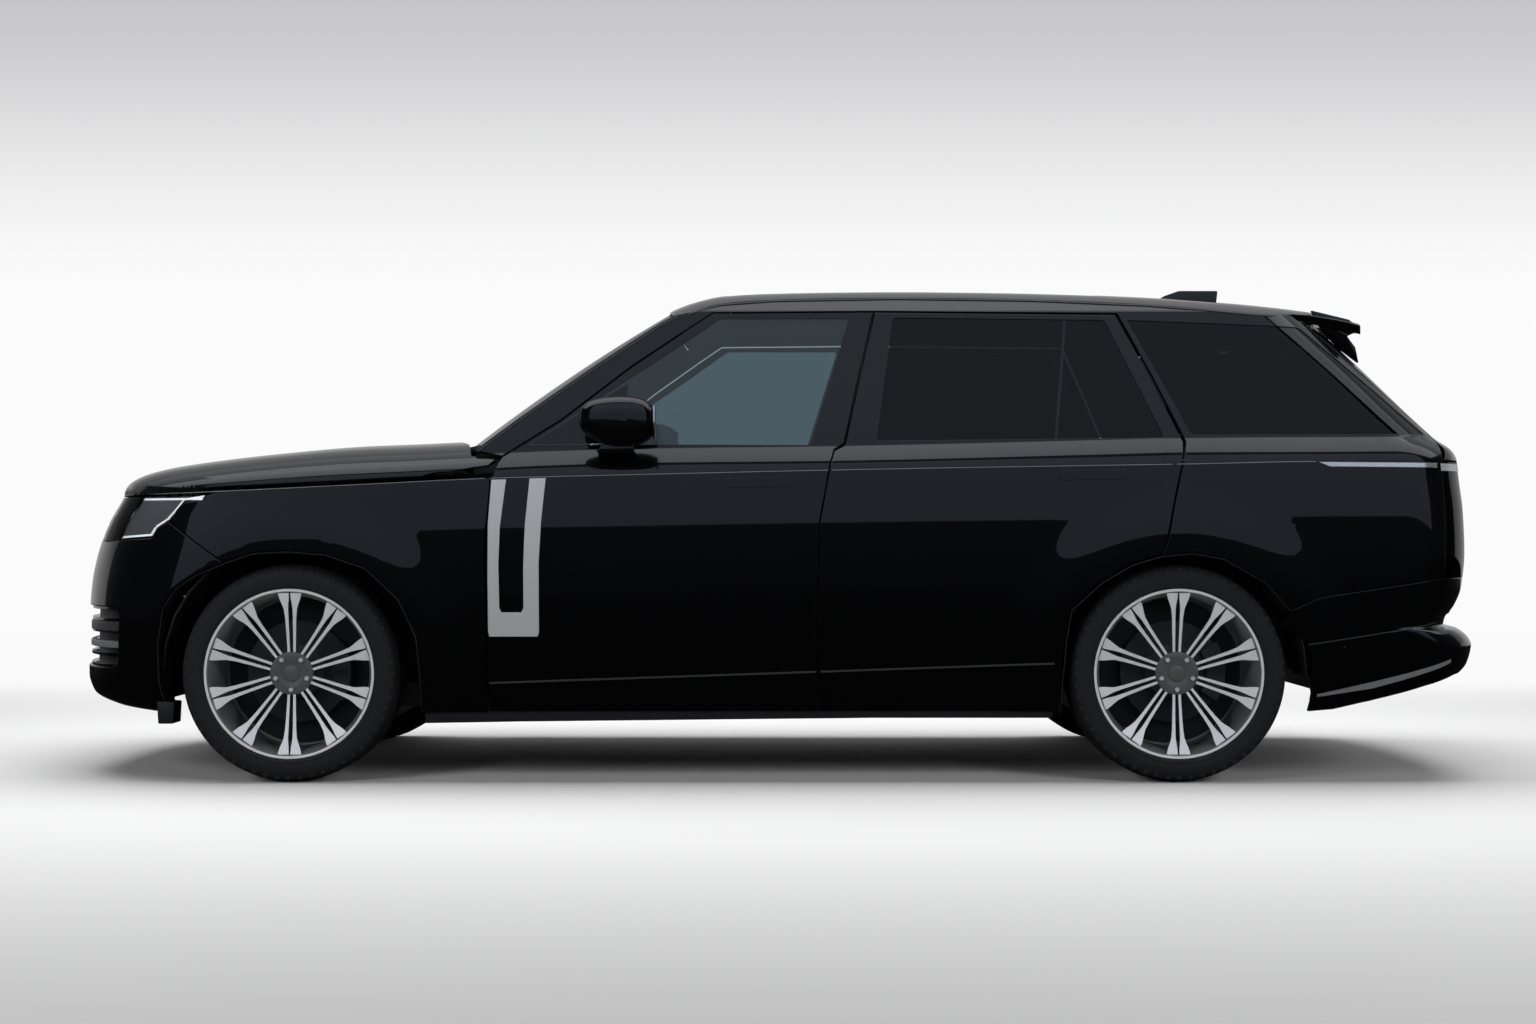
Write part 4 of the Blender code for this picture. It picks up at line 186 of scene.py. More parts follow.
class End:
    """The rounded plan of the nose or the tail; distances along it start at the centre line."""

    def __init__(self, sign, reach, power, profile):
        self.sign, self.reach, self.power, self.profile = sign, reach, power, profile
        self.table = [(0, 0)]
        run, last = 0, (reach, 0)
        for i in range(1, ARC_STEPS + 1):
            angle = math.pi / 2 * i / ARC_STEPS
            here = (reach * math.cos(angle) ** (2 / power), HALF_WIDTH * math.sin(angle) ** (2 / power))
            run += math.dist(here, last)
            last = here
            self.table.append((run, angle))
        self.back = [(angle, run) for run, angle in self.table]

    def tip(self, z):
        return place_x(follow(self.profile, z / BODY_HEIGHT))

    def narrowing(self, x, z):
        t = (x - self.tip(z) + self.sign * self.reach) * self.sign / self.reach
        return 1 if t <= 0 else max(1 - t ** self.power, 0) ** (1 / self.power)

    def along(self, x, z):
        t = min((x - self.tip(z) + self.sign * self.reach) * self.sign / self.reach, 1)
        if t < 0:
            return self.table[-1][0] - t * self.reach
        return follow(self.back, math.acos(t ** (self.power / 2)))

    def at_width(self, y, z):
        share = min(y / section_width(self.tip(z) - self.sign * self.reach / 2, z), 1)
        return follow(self.back, math.asin(share ** (self.power / 2)))

    def point(self, along, z):
        angle = follow(self.table, abs(along))
        root = self.tip(z) - self.sign * self.reach
        past = max(abs(along) - self.table[-1][0], 0)
        x = root + self.sign * (self.reach * max(math.cos(angle), 0) ** (2 / self.power) - past)
        y = section_width(x, z) * math.sin(angle) ** (2 / self.power)
        return x, math.copysign(y, along)

    def skin(self, along, z, depth):
        step = self.reach / ARC_STEPS
        ax, ay = self.point(along - step, z)
        bx, by = self.point(along + step, z)
        x, y = self.point(along, z)
        size = math.dist((ax, ay), (bx, by))
        return Vector((x - self.sign * depth * (by - ay) / size, y + self.sign * depth * (bx - ax) / size, z))


NOSE = End(-1, NOSE_REACH, NOSE_POWER, NOSE_SHARES)
TAIL = End(1, TAIL_REACH, TAIL_POWER, TAIL_SHARES)
BUMPER_TAIL = End(1, TAIL_REACH, TAIL_POWER, BUMPER_TAIL_SHARES)


def half_width(x, z):
    return section_width(x, z) * NOSE.narrowing(x, z) * TAIL.narrowing(x, z)


def left_skin(x, z, depth):
    """Lays (x, z) on the left body side."""
    step = 0.00264
    rise = (half_width(x + step, z) - half_width(x - step, z)) / (2 * step)
    size = math.hypot(1, rise)
    return Vector((x + depth * rise / size, depth / size - half_width(x, z), z))


def bonnet_skin(x, y, depth):
    edge = line_z(WAIST_SHARES, x)
    top = max(line_z(BONNET_TOP_SHARES, x), edge)
    share = min(abs(y) / max(half_width(x, edge), 0.00005), 1)
    height = edge + (top - edge) * (1 - share ** 4.0) ** (1 / 2.2)
    ahead = max((NOSE.tip(edge) + NOSE_REACH - x) / NOSE_REACH, 0)
    across = abs(y) / section_width(x, edge)
    lean = min(ahead ** NOSE_POWER + across ** NOSE_POWER, 1) ** 3.0
    push = Vector((ahead ** (NOSE_POWER - 1), -math.copysign(across ** (NOSE_POWER - 1), y), 0))
    if push.length > 0:
        push.normalize()
    way = push * lean - Vector((0, 0, 1 - lean))
    return Vector((x, y, height)) + way.normalized() * depth


def roof_skin(x, y, depth):
    top = line_z(ROOF_TOP_SHARES, x)
    return Vector((x, y, top - ROOF_FALL * (abs(y) / ROOF_FALL_HALF_WIDTH) ** ROOF_FALL_POWER - depth))


def rail_height(x):
    height = BODY_HEIGHT * CANT_HEIGHT_SHARE
    for _ in range(ARC_STEPS):
        height = roof_skin(x, half_width(x, height), 0).z
    return height


SCREEN_FOOT, SCREEN_HEAD = (0.2740, 0.663), (0.4205, 0.948)
SCREEN_HALF_FOOT, SCREEN_HALF_HEAD = 0.884, 0.745


def screen_skin(t, y, depth):
    """t runs from the foot of the windscreen (0) to its head (1)."""
    (foot_u, foot_h), (head_u, head_h) = SCREEN_FOOT, SCREEN_HEAD
    share = abs(y) / SCREEN_HALF_FOOT
    x = place_x(foot_u + (head_u - foot_u) * t) + (0.150 - 0.075 * t) * share * share
    z = BODY_HEIGHT * (foot_h + (head_h - foot_h) * t + 0.010 * 4 * t * (1 - t))
    z -= ROOF_FALL * t * (abs(y) / ROOF_FALL_HALF_WIDTH) ** ROOF_FALL_POWER
    run = place_x(head_u) - place_x(foot_u)
    rise = BODY_HEIGHT * (head_h - foot_h)
    size = math.hypot(run, rise)
    return Vector((x + depth * rise / size, y, z - depth * run / size))


print("half width at the front door:", round(half_width(-0.3, 0.8), 4))

# %% [markdown]
# ## Outlines seen from the side
# Doors, fenders, glass and lamps are closed outlines in the side view. Neighbours read the same
# shut lines, so the gaps stay even. These lines decide how the side looks, and drawing them once
# was chosen over shaping each panel on its own.

# %% Shut lines and outlines
DOOR_FRONT_LINE = place(((0.3044, 0.136), (0.3038, 0.318), (0.3027, 0.435), (0.3032, 0.474),
                         (0.3064, 0.591), (0.3106, 0.626), (0.3134, 0.6385)))
PILLAR_LINE = place(((0.3527, 0.7095), (0.4010, 0.818), (0.440, 0.895), (0.457, 0.927)))
MIDDLE_LINE = place(((0.5292, 0.136), (0.5284, 0.357), (0.5305, 0.513), (0.5373, 0.620),
                     (0.5403, 0.650), (0.5479, 0.662), (0.5587, 0.800), (0.5695, 0.930)))
REAR_LINE = place(((0.7665, 0.474), (0.7718, 0.552), (0.7780, 0.630), (0.7807, 0.666),
                   (0.7786, 0.682), (0.7585, 0.806), (0.7379, 0.925)))
REAR_ARCH_FRONT = place(((0.6940, 0.136), (0.6950, 0.200), (0.6970, 0.280), (0.7006, 0.338),
                         (0.7212, 0.392), (0.7420, 0.427), (0.7620, 0.444)))
REAR_ARCH_BACK = place(((0.7837, 0.4495), (0.8045, 0.439), (0.8335, 0.392), (0.8502, 0.338)))
FRONT_ARCH_BACK = place(((0.2597, 0.136), (0.2597, 0.196), (0.2570, 0.286), (0.2447, 0.360),
                         (0.2223, 0.420), (0.1950, 0.447), (0.1687, 0.453), (0.1443, 0.449), (0.1250, 0.430)))
FRONT_ARCH_FRONT = place(((0.1060, 0.408), (0.0907, 0.380), (0.0811, 0.340), (0.0770, 0.270),
                          (0.0775, 0.200), (0.0820, 0.130)))
SCREEN_EDGE = place(((0.2945, 0.650), (0.3240, 0.714), (0.3770, 0.822), (0.4200, 0.905), (0.4300, 0.921)))
RAIL_STATIONS = (0.4450, 0.4620, 0.500, 0.587, 0.680, 0.760, 0.803, 0.830, 0.845, 0.860)
TAILGATE_SIDE = place(((0.8700, 0.905), (0.9545, 0.690), (0.9575, 0.667)))
LAMP_SIDE = place(((0.9570, 0.628), (0.9568, 0.400)))
QUARTER_BOTTOM = place(((0.8706, 0.363),))
FRONT_GLASS = place(((0.3300, 0.660), (0.3990, 0.661), (0.5240, 0.6605), (0.5515, 0.914), (0.4620, 0.914),
                     (0.4300, 0.850)))
REAR_GLASS = place(((0.5700, 0.669), (0.7660, 0.6745), (0.7285, 0.911), (0.5820, 0.916)))
QUARTER_GLASS = place(((0.7850, 0.680), (0.9500, 0.682), (0.8650, 0.897), (0.7440, 0.911)))
HEADLAMP = place(((0.0309, 0.4705), (0.0720, 0.478), (0.0756, 0.496), (0.0843, 0.5105), (0.0903, 0.530),
                  (0.0956, 0.548), (0.1098, 0.5535), (0.1114, 0.5605), (0.0560, 0.5605), (0.0350, 0.5595)))
FENDER_STATIONS = (0.1200, 0.1350, 0.1500, 0.165, 0.20, 0.24, 0.28, 0.3065)
BELT_Z = BODY_HEIGHT * 0.655
LAMP_INNER_Y, LAMP_INNER_TAIL_Y = 0.560, 0.700
BUMPER_TOP = 0.872
GRILLE_HALF, GRILLE_BOTTOM, GRILLE_TOP = 0.540, 0.800, 1.034
INTAKE_HALF, INTAKE_BOTTOM, INTAKE_TOP = 0.860, 0.405, 0.629
LAMP_TOP, LAMP_BOTTOM = LAMP_SIDE[0][1], LAMP_SIDE[1][1]


def eased(line, low_shift, high_shift):
    return [(x + (high_shift if z > BELT_Z else low_shift), z) for x, z in line]


def ring_turn(ring):
    """1 for an outline that runs anticlockwise, otherwise -1."""
    area = sum(a[0] * b[1] - b[0] * a[1] for a, b in zip(ring, ring[1:] + ring[:1]))
    return 1 if area > 0 else -1


def inset(ring, gap):
    """Move every side of a closed outline inwards by a gap."""
    turn = ring_turn(ring)
    moved, count = [], len(ring)
    for i in range(count):
        before, here, after = (Vector(ring[(i + k) % count]) for k in (-1, 0, 1))
        first, second = (here - before).normalized(), (after - here).normalized()
        square_first = Vector((-first.y, first.x)) * turn
        middle = (square_first + Vector((-second.y, second.x)) * turn).normalized()
        moved.append(tuple(here + middle * gap / max(middle.dot(square_first), 0.4)))
    return moved


def dense(points, step=0.050):
    """Add points along the straight runs of an open line."""
    full = [points[0]]
    for start, end in zip(points, points[1:]):
        count = max(math.ceil(math.dist(start, end) / step), 1)
        full += [tuple(a + (b - a) * i / count for a, b in zip(start, end)) for i in range(1, count + 1)]
    return full


def rounded(ring, radii, steps=5):
    """Round the corners of a closed outline: one radius, or one for each corner."""
    out, count = [], len(ring)
    for i in range(count):
        radius = radii if isinstance(radii, (int, float)) else radii[i]
        before, here, after = (Vector(ring[(i + k) % count]) for k in (-1, 0, 1))
        first, second = (before - here), (after - here)
        if radius <= 0 or abs(first.normalized().dot(second.normalized())) > 0.995:
            out.append(tuple(here))
            continue
        reach = min(radius, first.length * 0.45, second.length * 0.45)
        start, end = here + first.normalized() * reach, here + second.normalized() * reach
        for k in range(steps + 1):
            t = k / steps
            out.append(tuple(start * (1 - t) ** 2 + here * 2 * t * (1 - t) + end * t ** 2))
    return out


FRONT_DOOR = DOOR_FRONT_LINE + PILLAR_LINE + eased(MIDDLE_LINE, HALF_GAP, -HALF_GAP / 2)[::-1]
REAR_DOOR = eased(MIDDLE_LINE, -HALF_GAP, -HALF_GAP) + eased(REAR_LINE, 0,
                                                             -SHUT_GAP)[::-1] + REAR_ARCH_FRONT[::-1]
print("front door outline has", len(FRONT_DOOR), "corners")

# %% [markdown]
# ## Laying panels on the skin
# A panel starts as a flat slab in its own drawing, because bevelling and cutting are exact there.
# Its outer edge is rounded, it is cut along even stations and refined until no edge strays from
# the skin, and then every point is laid on the skin. The shading normals come from the skin itself
# and not from the triangles: on black gloss paint that is the difference between a clean
# reflection and a dented one. A subdivision surface would have needed a hand-drawn cage for each
# panel and would have let the shut lines wander.

# %% Panel maker
KNOT_SHARES = (0.0, 0.2175, 0.6103, 0.6582, 0.930, 1.02)


def knots(x):
    return [0, line_z(LOWER_CREASE_SHARES, x), line_z(WAIST_SHARES, x), line_z(BELT_SHARES, x),
            BODY_HEIGHT * CANT_HEIGHT_SHARE, BODY_HEIGHT * KNOT_SHARES[-1]]


LEVELS = [BODY_HEIGHT * share for share in KNOT_SHARES]


def shifted(value, source, target):
    for i in range(len(source) - 1):
        if value <= source[i + 1] or i == len(source) - 2:
            return target[i] + (value - source[i]) * (target[i + 1] - target[i]) / (source[i + 1] - source[i])


def to_level(ring, step=0.040):
    """Side-view outline to a drawing in which the creases run level."""
    closed = dense(list(ring) + [ring[0]], step)[:-1]
    return [(x, shifted(z, knots(x), LEVELS)) for x, z in closed]


def level_skin(x, v, depth):
    return left_skin(x, shifted(v, LEVELS, knots(x)), depth)


CREASE_ROWS = [LEVELS[i] + d for i in (1, 2, 3, 4) for d in (-0.006, 0, 0.006)]


def placed(name, data):
    """Put data in the scene as an object."""
    made = bpy.data.objects.new(name, data)
    bpy.context.scene.collection.objects.link(made)
    return made


def as_mesh(item):
    """The mesh of an object with its modifiers applied."""
    bpy.context.view_layer.update()
    return bpy.data.meshes.new_from_object(item.evaluated_get(bpy.context.evaluated_depsgraph_get()))


def flat_slab(outline, holes):
    """A slab from -1 to 1 with a closed outline and holes, as a bmesh."""
    curve = bpy.data.curves.new("outline", "CURVE")
    curve.dimensions = "2D"
    curve.fill_mode = "BOTH"
    curve.extrude = 1
    for ring in [outline, *holes]:
        spline = curve.splines.new("POLY")
        spline.points.add(len(ring) - 1)
        for point, (a, b) in zip(spline.points, ring):
            point.co = (a, b, 0, 1)
        spline.use_cyclic_u = True
    guide = placed("outline", curve)
    mesh = as_mesh(guide)
    bpy.data.objects.remove(guide, do_unlink=True)
    bpy.data.curves.remove(curve)
    work = bmesh.new()
    work.from_mesh(mesh)
    bpy.data.meshes.remove(mesh)
    bmesh.ops.remove_doubles(work, verts=work.verts, dist=0.00002)
    bmesh.ops.dissolve_limit(work, angle_limit=math.radians(0.2), verts=work.verts, edges=work.edges)
    work.normal_update()
    return work


def grid(low, high, pitch):
    count = max(math.ceil((high - low) / pitch), 1)
    return [low + (high - low) * i / count for i in range(1, count)]


def panel(outline, skin, outer, inner, holes=(), pitch=(0.07, 0.06), rows=(), columns=(), roll=0.0022,
          tolerance=0.0005, rounds=2):
    """Lay a slab with rolled outer edges on a skin. Returns points, faces and a normal for each corner."""
    work = flat_slab(outline, holes)
    if roll:
        rim = [e for e in work.edges if len(e.link_faces) == 2
               and min(f.normal.z for f in e.link_faces) < 0.5 < max(f.normal.z for f in e.link_faces)]
        bmesh.ops.bevel(work, geom=rim, offset=roll, offset_type="OFFSET", segments=2, profile=0.5,
                        affect="EDGES", clamp_overlap=True)
    us = [v.co.x for v in work.verts]
    vs = [v.co.y for v in work.verts]
    every_u = sorted(set(grid(min(us), max(us), pitch[0])) | set(columns))
    every_v = sorted(set(grid(min(vs), max(vs), pitch[1])) | set(rows))
    for axis, cuts, low, high in ((Vector((1, 0, 0)), every_u, min(us), max(us)),
                                  (Vector((0, 1, 0)), every_v, min(vs), max(vs))):
        for at in cuts:
            if low < at < high:
                geometry = work.verts[:] + work.edges[:] + work.faces[:]
                bmesh.ops.bisect_plane(work, geom=geometry, dist=0.0002, plane_co=axis * at, plane_no=axis)
    bmesh.ops.triangulate(work, faces=work.faces, quad_method="BEAUTY", ngon_method="BEAUTY")

    def depth_at(co):
        return outer + (1 - co.z) if co.z > 0 else (inner(co.x, co.y) if callable(inner) else inner)

    for _ in range(rounds):
        places = {v: skin(v.co.x, v.co.y, depth_at(v.co)) for v in work.verts if v.co.z > 0.9}
        long_edges = []
        for edge in work.edges:
            a, b = edge.verts
            if a in places and b in places and (a.co.xy - b.co.xy).length > 0.008:
                middle = (a.co + b.co) / 2
                if (skin(middle.x, middle.y,
                         depth_at(middle)) - (places[a] + places[b]) / 2).length > tolerance:
                    long_edges.append(edge)
        if not long_edges:
            break
        bmesh.ops.subdivide_edges(work, edges=long_edges, cuts=1)
        bmesh.ops.triangulate(work, faces=work.faces, quad_method="BEAUTY", ngon_method="BEAUTY")
    work.normal_update()
    work.verts.index_update()
    points, faces, normals = [], [], []
    frames = []
    reach = 0.004
    for vertex in work.verts:
        a, b, _ = vertex.co
        depth = depth_at(vertex.co)
        along = skin(a + reach, b, depth) - skin(a - reach, b, depth)
        up = skin(a, b + reach, depth) - skin(a, b - reach, depth)
        out = along.cross(up)
        here = skin(a, b, depth)
        if out.dot(here - skin(a, b, depth + reach)) < 0:
            out.negate()
        frames.append((along.normalized(), up.normalized(), out.normalized()))
        points.append(here)
    for face in work.faces:
        corners = [v.index for v in face.verts]
        flat = face.normal
        line = []
        for vertex in face.verts:
            if flat.z > 0.02:
                drop = min(max((1 - vertex.co.z) / roll, 0), 1) if roll else 0
                side = Vector((flat.x, flat.y, 0))
                side = side.normalized() if side.length > 0.001 else side
                tilt = drop * math.pi / 2 if side.length > 0.5 else 0
                local = side * math.sin(tilt) + Vector((0, 0, math.cos(tilt)))
            else:
                local = flat
            along, up, out = frames[vertex.index]
            line.append((along * local.x + up * local.y + out * local.z).normalized())
        a, b, c = (points[i] for i in corners[:3])
        if (b - a).cross(c - a).dot(sum(line, Vector())) < 0:
            corners, line = corners[::-1], line[::-1]
        faces.append(corners)
        normals.append(line)
    work.free()
    return points, faces, normals


def mirror_data(data):
    points, faces, normals = data
    return ([Vector((p.x, -p.y, p.z)) for p in points], [f[::-1] for f in faces],
            [[Vector((n.x, -n.y, n.z)) for n in line[::-1]] for line in normals])


def emit(name, parts, look):
    """Make one object from laid panels; parts is one panel or several."""
    parts = parts if isinstance(parts, list) else [parts]
    points, faces, normals = [], [], []
    for some_points, some_faces, some_normals in parts:
        start = len(points)
        points += [tuple(p) for p in some_points]
        faces += [[i + start for i in f] for f in some_faces]
        normals += [n for line in some_normals for n in line]
    mesh = bpy.data.meshes.new(name)
    mesh.from_pydata(points, [], faces)
    mesh.shade_smooth()
    mesh.normals_split_custom_set([tuple(n) for n in normals])
    mesh.materials.append(look)
    return placed(name, mesh)


def settle(item, body, slot=None, stands_for=()):
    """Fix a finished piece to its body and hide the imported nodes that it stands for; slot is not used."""
    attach(item, body)
    if stands_for:
        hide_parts(*([stands_for] if isinstance(stands_for, str) else stands_for))
    return item


def pair(name, parts, look, body, slot=None, stands_for=None):
    """Make the left piece and its mirror image. body and stands_for hold {} where the side goes."""
    parts = parts if isinstance(parts, list) else [parts]
    for side, data in (("left", parts), ("right", [mirror_data(p) for p in parts])):
        item = emit(name.format(side), data, look)
        node = stands_for.format(side) if stands_for else ()
        settle(item, body.format(side), slot, node)


print("level rows:", len(CREASE_ROWS))

# %% [markdown]
# ## Finishes
# Each finish is a procedural material: a base colour, a roughness that drifts a little with fine
# noise, and a bump at the scale of the real surface (orange peel in paint, grain in hide and
# moulded trim, brushed metal). Plain numbers stay on the shader so that a scene can repaint them.


# %% Finishes
COAT_ROUGHNESS, CLOUD_SIZE, GLASS_CLOUD_SCALE, GLASS_ROUGHNESS = 0.015, 0.06, 9, 0.02


def new_material(name, shade=None):
    """A material with its node tree and its shader; shade is the colour in plain views."""
    made = bpy.data.materials.new(name)
    made.use_nodes = True
    if shade:
        made.diffuse_color = shade
    return made, made.node_tree


def add_node(tree, kind, inputs=(), **settings):
    """Add a shader node, with its inputs given as pairs and its own settings by name."""
    made = tree.nodes.new("ShaderNode" + kind)
    for key, value in settings.items():
        setattr(made, key, value)
    for key, value in inputs:
        made.inputs[key].default_value = value
    return made


def wire(tree, *links):
    """Join nodes: each link is (from node, its output, to node, its input)."""
    for source, output, target, into in links:
        tree.links.new(source.outputs[output], target.inputs[into])


def surface(name, colour, roughness, metallic=0.0, coat=0.0, drift=0.04, grain=0.0, grain_size=0.002,
            stretch=(1, 1, 1), glow=0.0, specular=0.5):
    made, tree = new_material(name, (*colour, 1))
    shader = tree.nodes["Principled BSDF"]
    values = (("Base Color", (*colour, 1)), ("Metallic", metallic), ("Coat Weight", coat),
              ("Coat Roughness", COAT_ROUGHNESS), ("Specular IOR Level", specular))
    for key, value in values + ((("Emission Color", (*colour, 1)),
                                 ("Emission Strength", glow)) if glow else ()):
        shader.inputs[key].default_value = value
    where = add_node(tree, "TexCoord")
    squeeze = add_node(tree, "Mapping", (("Scale", stretch),))
    cloud = add_node(tree, "TexNoise", (("Scale", 1 / CLOUD_SIZE), ("Detail", 4)))
    ramp = add_node(tree, "MapRange",
                    (("To Min", max(roughness - drift, 0)), ("To Max", min(roughness + drift, 1))))
    wire(tree, (where, "Object", squeeze, "Vector"), (squeeze, "Vector", cloud, "Vector"),
         (cloud, "Fac", ramp, "Value"), (ramp, "Result", shader, "Roughness"))
    if grain:
        fine = add_node(tree, "TexNoise", (("Scale", 1 / grain_size), ("Detail", 3)))
        bump = add_node(tree, "Bump", (("Strength", grain), ("Distance", grain_size / 4)))
        wire(tree, (squeeze, "Vector", fine, "Vector"), (fine, "Fac", bump, "Height"),
             (bump, "Normal", shader, "Normal"))
    return made


def glass(name, tint, painted_glow=(0, 0, 0), index=1.45):
    """Tinted sheet glass: straight-through colour under a clean reflection; painted_glow is painted light, an
    even emission added to the pane that brightens it.
    """
    made, tree = new_material(name, (*tint, 0.4))
    tree.nodes.remove(tree.nodes["Principled BSDF"])
    through = add_node(tree, "BsdfTransparent", (("Color", (*tint, 1)),))
    shine = add_node(tree, "BsdfGlossy")
    where = add_node(tree, "TexCoord")
    cloud = add_node(tree, "TexNoise", (("Scale", GLASS_CLOUD_SCALE),))
    ramp = add_node(tree, "MapRange", (("To Min", 0.0), ("To Max", GLASS_ROUGHNESS)))
    edge = add_node(tree, "Fresnel", (("IOR", index),))
    mix = add_node(tree, "MixShader")
    emitted_glow = add_node(tree, "Emission", (("Color", (*painted_glow, 1)),))
    total = add_node(tree, "AddShader")
    wire(tree, (where, "Object", cloud, "Vector"), (cloud, "Fac", ramp, "Value"),
         (ramp, "Result", shine, "Roughness"), (edge, "Fac", mix, "Fac"), (through, "BSDF", mix, 1),
         (shine, "BSDF", mix, 2), (mix, "Shader", total, 0), (emitted_glow, "Emission", total, 1),
         (total if any(painted_glow) else mix, "Shader", tree.nodes["Material Output"], "Surface"))
    return made


PAINT = surface("black_paint", (0.0009, 0.0010, 0.0013), 0.30, coat=1.0, drift=0.03, grain=0.02,
                grain_size=0.012,
                specular=0.08)
GLOSS_BLACK = surface("gloss_black_trim", (0.0012, 0.0012, 0.0014), 0.22, coat=1.0, drift=0.02, grain=0.01,
                      grain_size=0.01,
                      specular=0.08)
BLACK_TRIM = surface("moulded_black_trim", (0.010, 0.010, 0.011), 0.46, drift=0.06, grain=0.25,
                     grain_size=0.0012)
SATIN = surface("satin_silver", (0.62, 0.63, 0.64), 0.34, metallic=0.55, drift=0.03, grain=0.06,
                grain_size=0.0016)
BRIGHT = surface("bright_strip", (0.80, 0.82, 0.84), 0.16, metallic=0.85, drift=0.03, grain=0.02,
                 grain_size=0.004)
MACHINED = surface("machined_face", (0.80, 0.81, 0.82), 0.30, metallic=0.45, drift=0.05, grain=0.10,
                   grain_size=0.0010)
DARK_ALLOY = surface("dark_grey_alloy", (0.060, 0.062, 0.066), 0.38, metallic=0.55, drift=0.05, grain=0.10,
                     grain_size=0.0015)
RUBBER = surface("tyre_rubber", (0.0105, 0.0105, 0.011), 0.72, drift=0.08, grain=0.35, grain_size=0.0016,
                 specular=0.3)
STEEL = surface("disc_steel", (0.15, 0.15, 0.155), 0.42, metallic=1.0, drift=0.06, grain=0.12,
                grain_size=0.0012)
CAST = surface("cast_metal", (0.060, 0.060, 0.062), 0.55, metallic=0.6, drift=0.08, grain=0.4,
               grain_size=0.003)
LAMP_DARK = surface("lamp_dark_bezel", (0.020, 0.021, 0.023), 0.25, metallic=0.3, drift=0.04, grain=0.03,
                    grain_size=0.004)
LAMP_GREY = surface("lamp_grey_bowl", (0.16, 0.165, 0.175), 0.34, metallic=0.4, drift=0.06, grain=0.04,
                    grain_size=0.004)
BARREL_ALLOY = surface("barrel_alloy", (0.22, 0.225, 0.23), 0.40, metallic=0.5, drift=0.05, grain=0.10,
                       grain_size=0.0015)
CHROME = surface("lamp_reflector", (0.72, 0.74, 0.76), 0.10, metallic=1.0, drift=0.03, grain=0.02,
                 grain_size=0.003)
LIGHT_GUIDE = surface("light_guide", (0.86, 0.88, 0.90), 0.25, drift=0.03, grain=0.03, grain_size=0.003,
                      glow=0.45)
RED_GUIDE = surface("red_light_guide", (0.24, 0.012, 0.016), 0.22, drift=0.03, grain=0.05, grain_size=0.003)
HIDE = surface("perforated_hide", (0.060, 0.052, 0.047), 0.52, drift=0.06, grain=0.45, grain_size=0.0016)
SOFT = surface("soft_dark_trim", (0.020, 0.020, 0.022), 0.60, drift=0.07, grain=0.35, grain_size=0.0018)
HEADLINING = surface("pale_headlining", (0.55, 0.54, 0.51), 0.85, drift=0.05, grain=0.5, grain_size=0.0015)
FRAME_TRIM = surface("frame_trim", (0.16, 0.16, 0.155), 0.70, drift=0.06, grain=0.4, grain_size=0.0018)
HUB_GREY = surface("hub_satin_grey", (0.10, 0.102, 0.106), 0.34, metallic=0.4, drift=0.04, grain=0.08,
                   grain_size=0.0015)
# The last colour of the front glass is a faint painted glow, painted light that brightens the pane evenly.
CLEAR_GLASS = glass("tinted_front_glass", (0.44, 0.505, 0.53), (0.014, 0.019, 0.021))
DARK_GLASS = glass("privacy_glass", (0.10, 0.11, 0.12))
SCREEN_GLASS = glass("windscreen_glass", (0.76, 0.80, 0.81))
ROOF_GLASS = glass("dark_roof_glass", (0.06, 0.07, 0.08))
LENS = glass("clear_lens", (0.94, 0.95, 0.96), index=1.12)
RED_LENS = glass("smoked_red_lens", (0.30, 0.12, 0.13))
print("finishes:", len(bpy.data.materials))

# %% [markdown]
# ## Doors, fenders and body sides
# A door is a thin outer skin with its window cut out, and a thick inner box below the glass. Both
# are laid on the skin, so the box follows the door's curve. The body side holds the front pillar,
# the roof rail and the rear quarter in one pressing, as on the real thing.


# %% Side panels
def side_panel(ring, outer, inner, holes=(), roll=0.0022, pitch=(0.028, 0.028)):
    return panel(to_level(ring), level_skin, outer, inner, holes=[to_level(h) for h in holes],
                 rows=CREASE_ROWS,
                 roll=roll, pitch=pitch)


front_core = place(((0.3150, 0.2334), (0.5180, 0.2334), (0.5170, 0.50), (0.5240, 0.650), (0.3260, 0.640),
                    (0.3150, 0.58)))
rear_core = place(((0.5400, 0.2334), (0.6800, 0.2334), (0.6880, 0.36), (0.7060, 0.412), (0.7380, 0.474),
                   (0.7600, 0.655), (0.5540, 0.650), (0.5400, 0.58)))
pair("door_front_{}_skin",
     side_panel(inset(FRONT_DOOR, SHUT_GAP), 0, DOOR_SKIN, [rounded(FRONT_GLASS, GLASS_CORNER)]), PAINT,
     "door_front_{}", "paint", "door_front_{}")
pair("door_rear_{}_skin",
     side_panel(inset(REAR_DOOR, SHUT_GAP), 0, DOOR_SKIN, [rounded(REAR_GLASS, GLASS_CORNER)]), PAINT,
     "door_rear_{}", "paint", "door_rear_{}")
pair("door_front_{}_inner",
     side_panel(front_core, DOOR_SKIN - SHUT_GAP, DOOR_DEPTH, roll=0, pitch=(0.1, 0.08)), SOFT,
     "door_front_{}", "soft_trim")
pair("door_rear_{}_inner",
     side_panel(rear_core, DOOR_SKIN - SHUT_GAP, DOOR_DEPTH, roll=0, pitch=(0.1, 0.08)), SOFT,
     "door_rear_{}", "soft_trim")
rail = [(place_x(u), rail_height(place_x(u))) for u in RAIL_STATIONS]
body_ring = (SCREEN_EDGE + rail + TAILGATE_SIDE + LAMP_SIDE + QUARTER_BOTTOM + REAR_ARCH_BACK[::-1]
             + REAR_ARCH_FRONT[-1:] + REAR_LINE + MIDDLE_LINE[-1:] + PILLAR_LINE[::-1] + DOOR_FRONT_LINE[-1:])
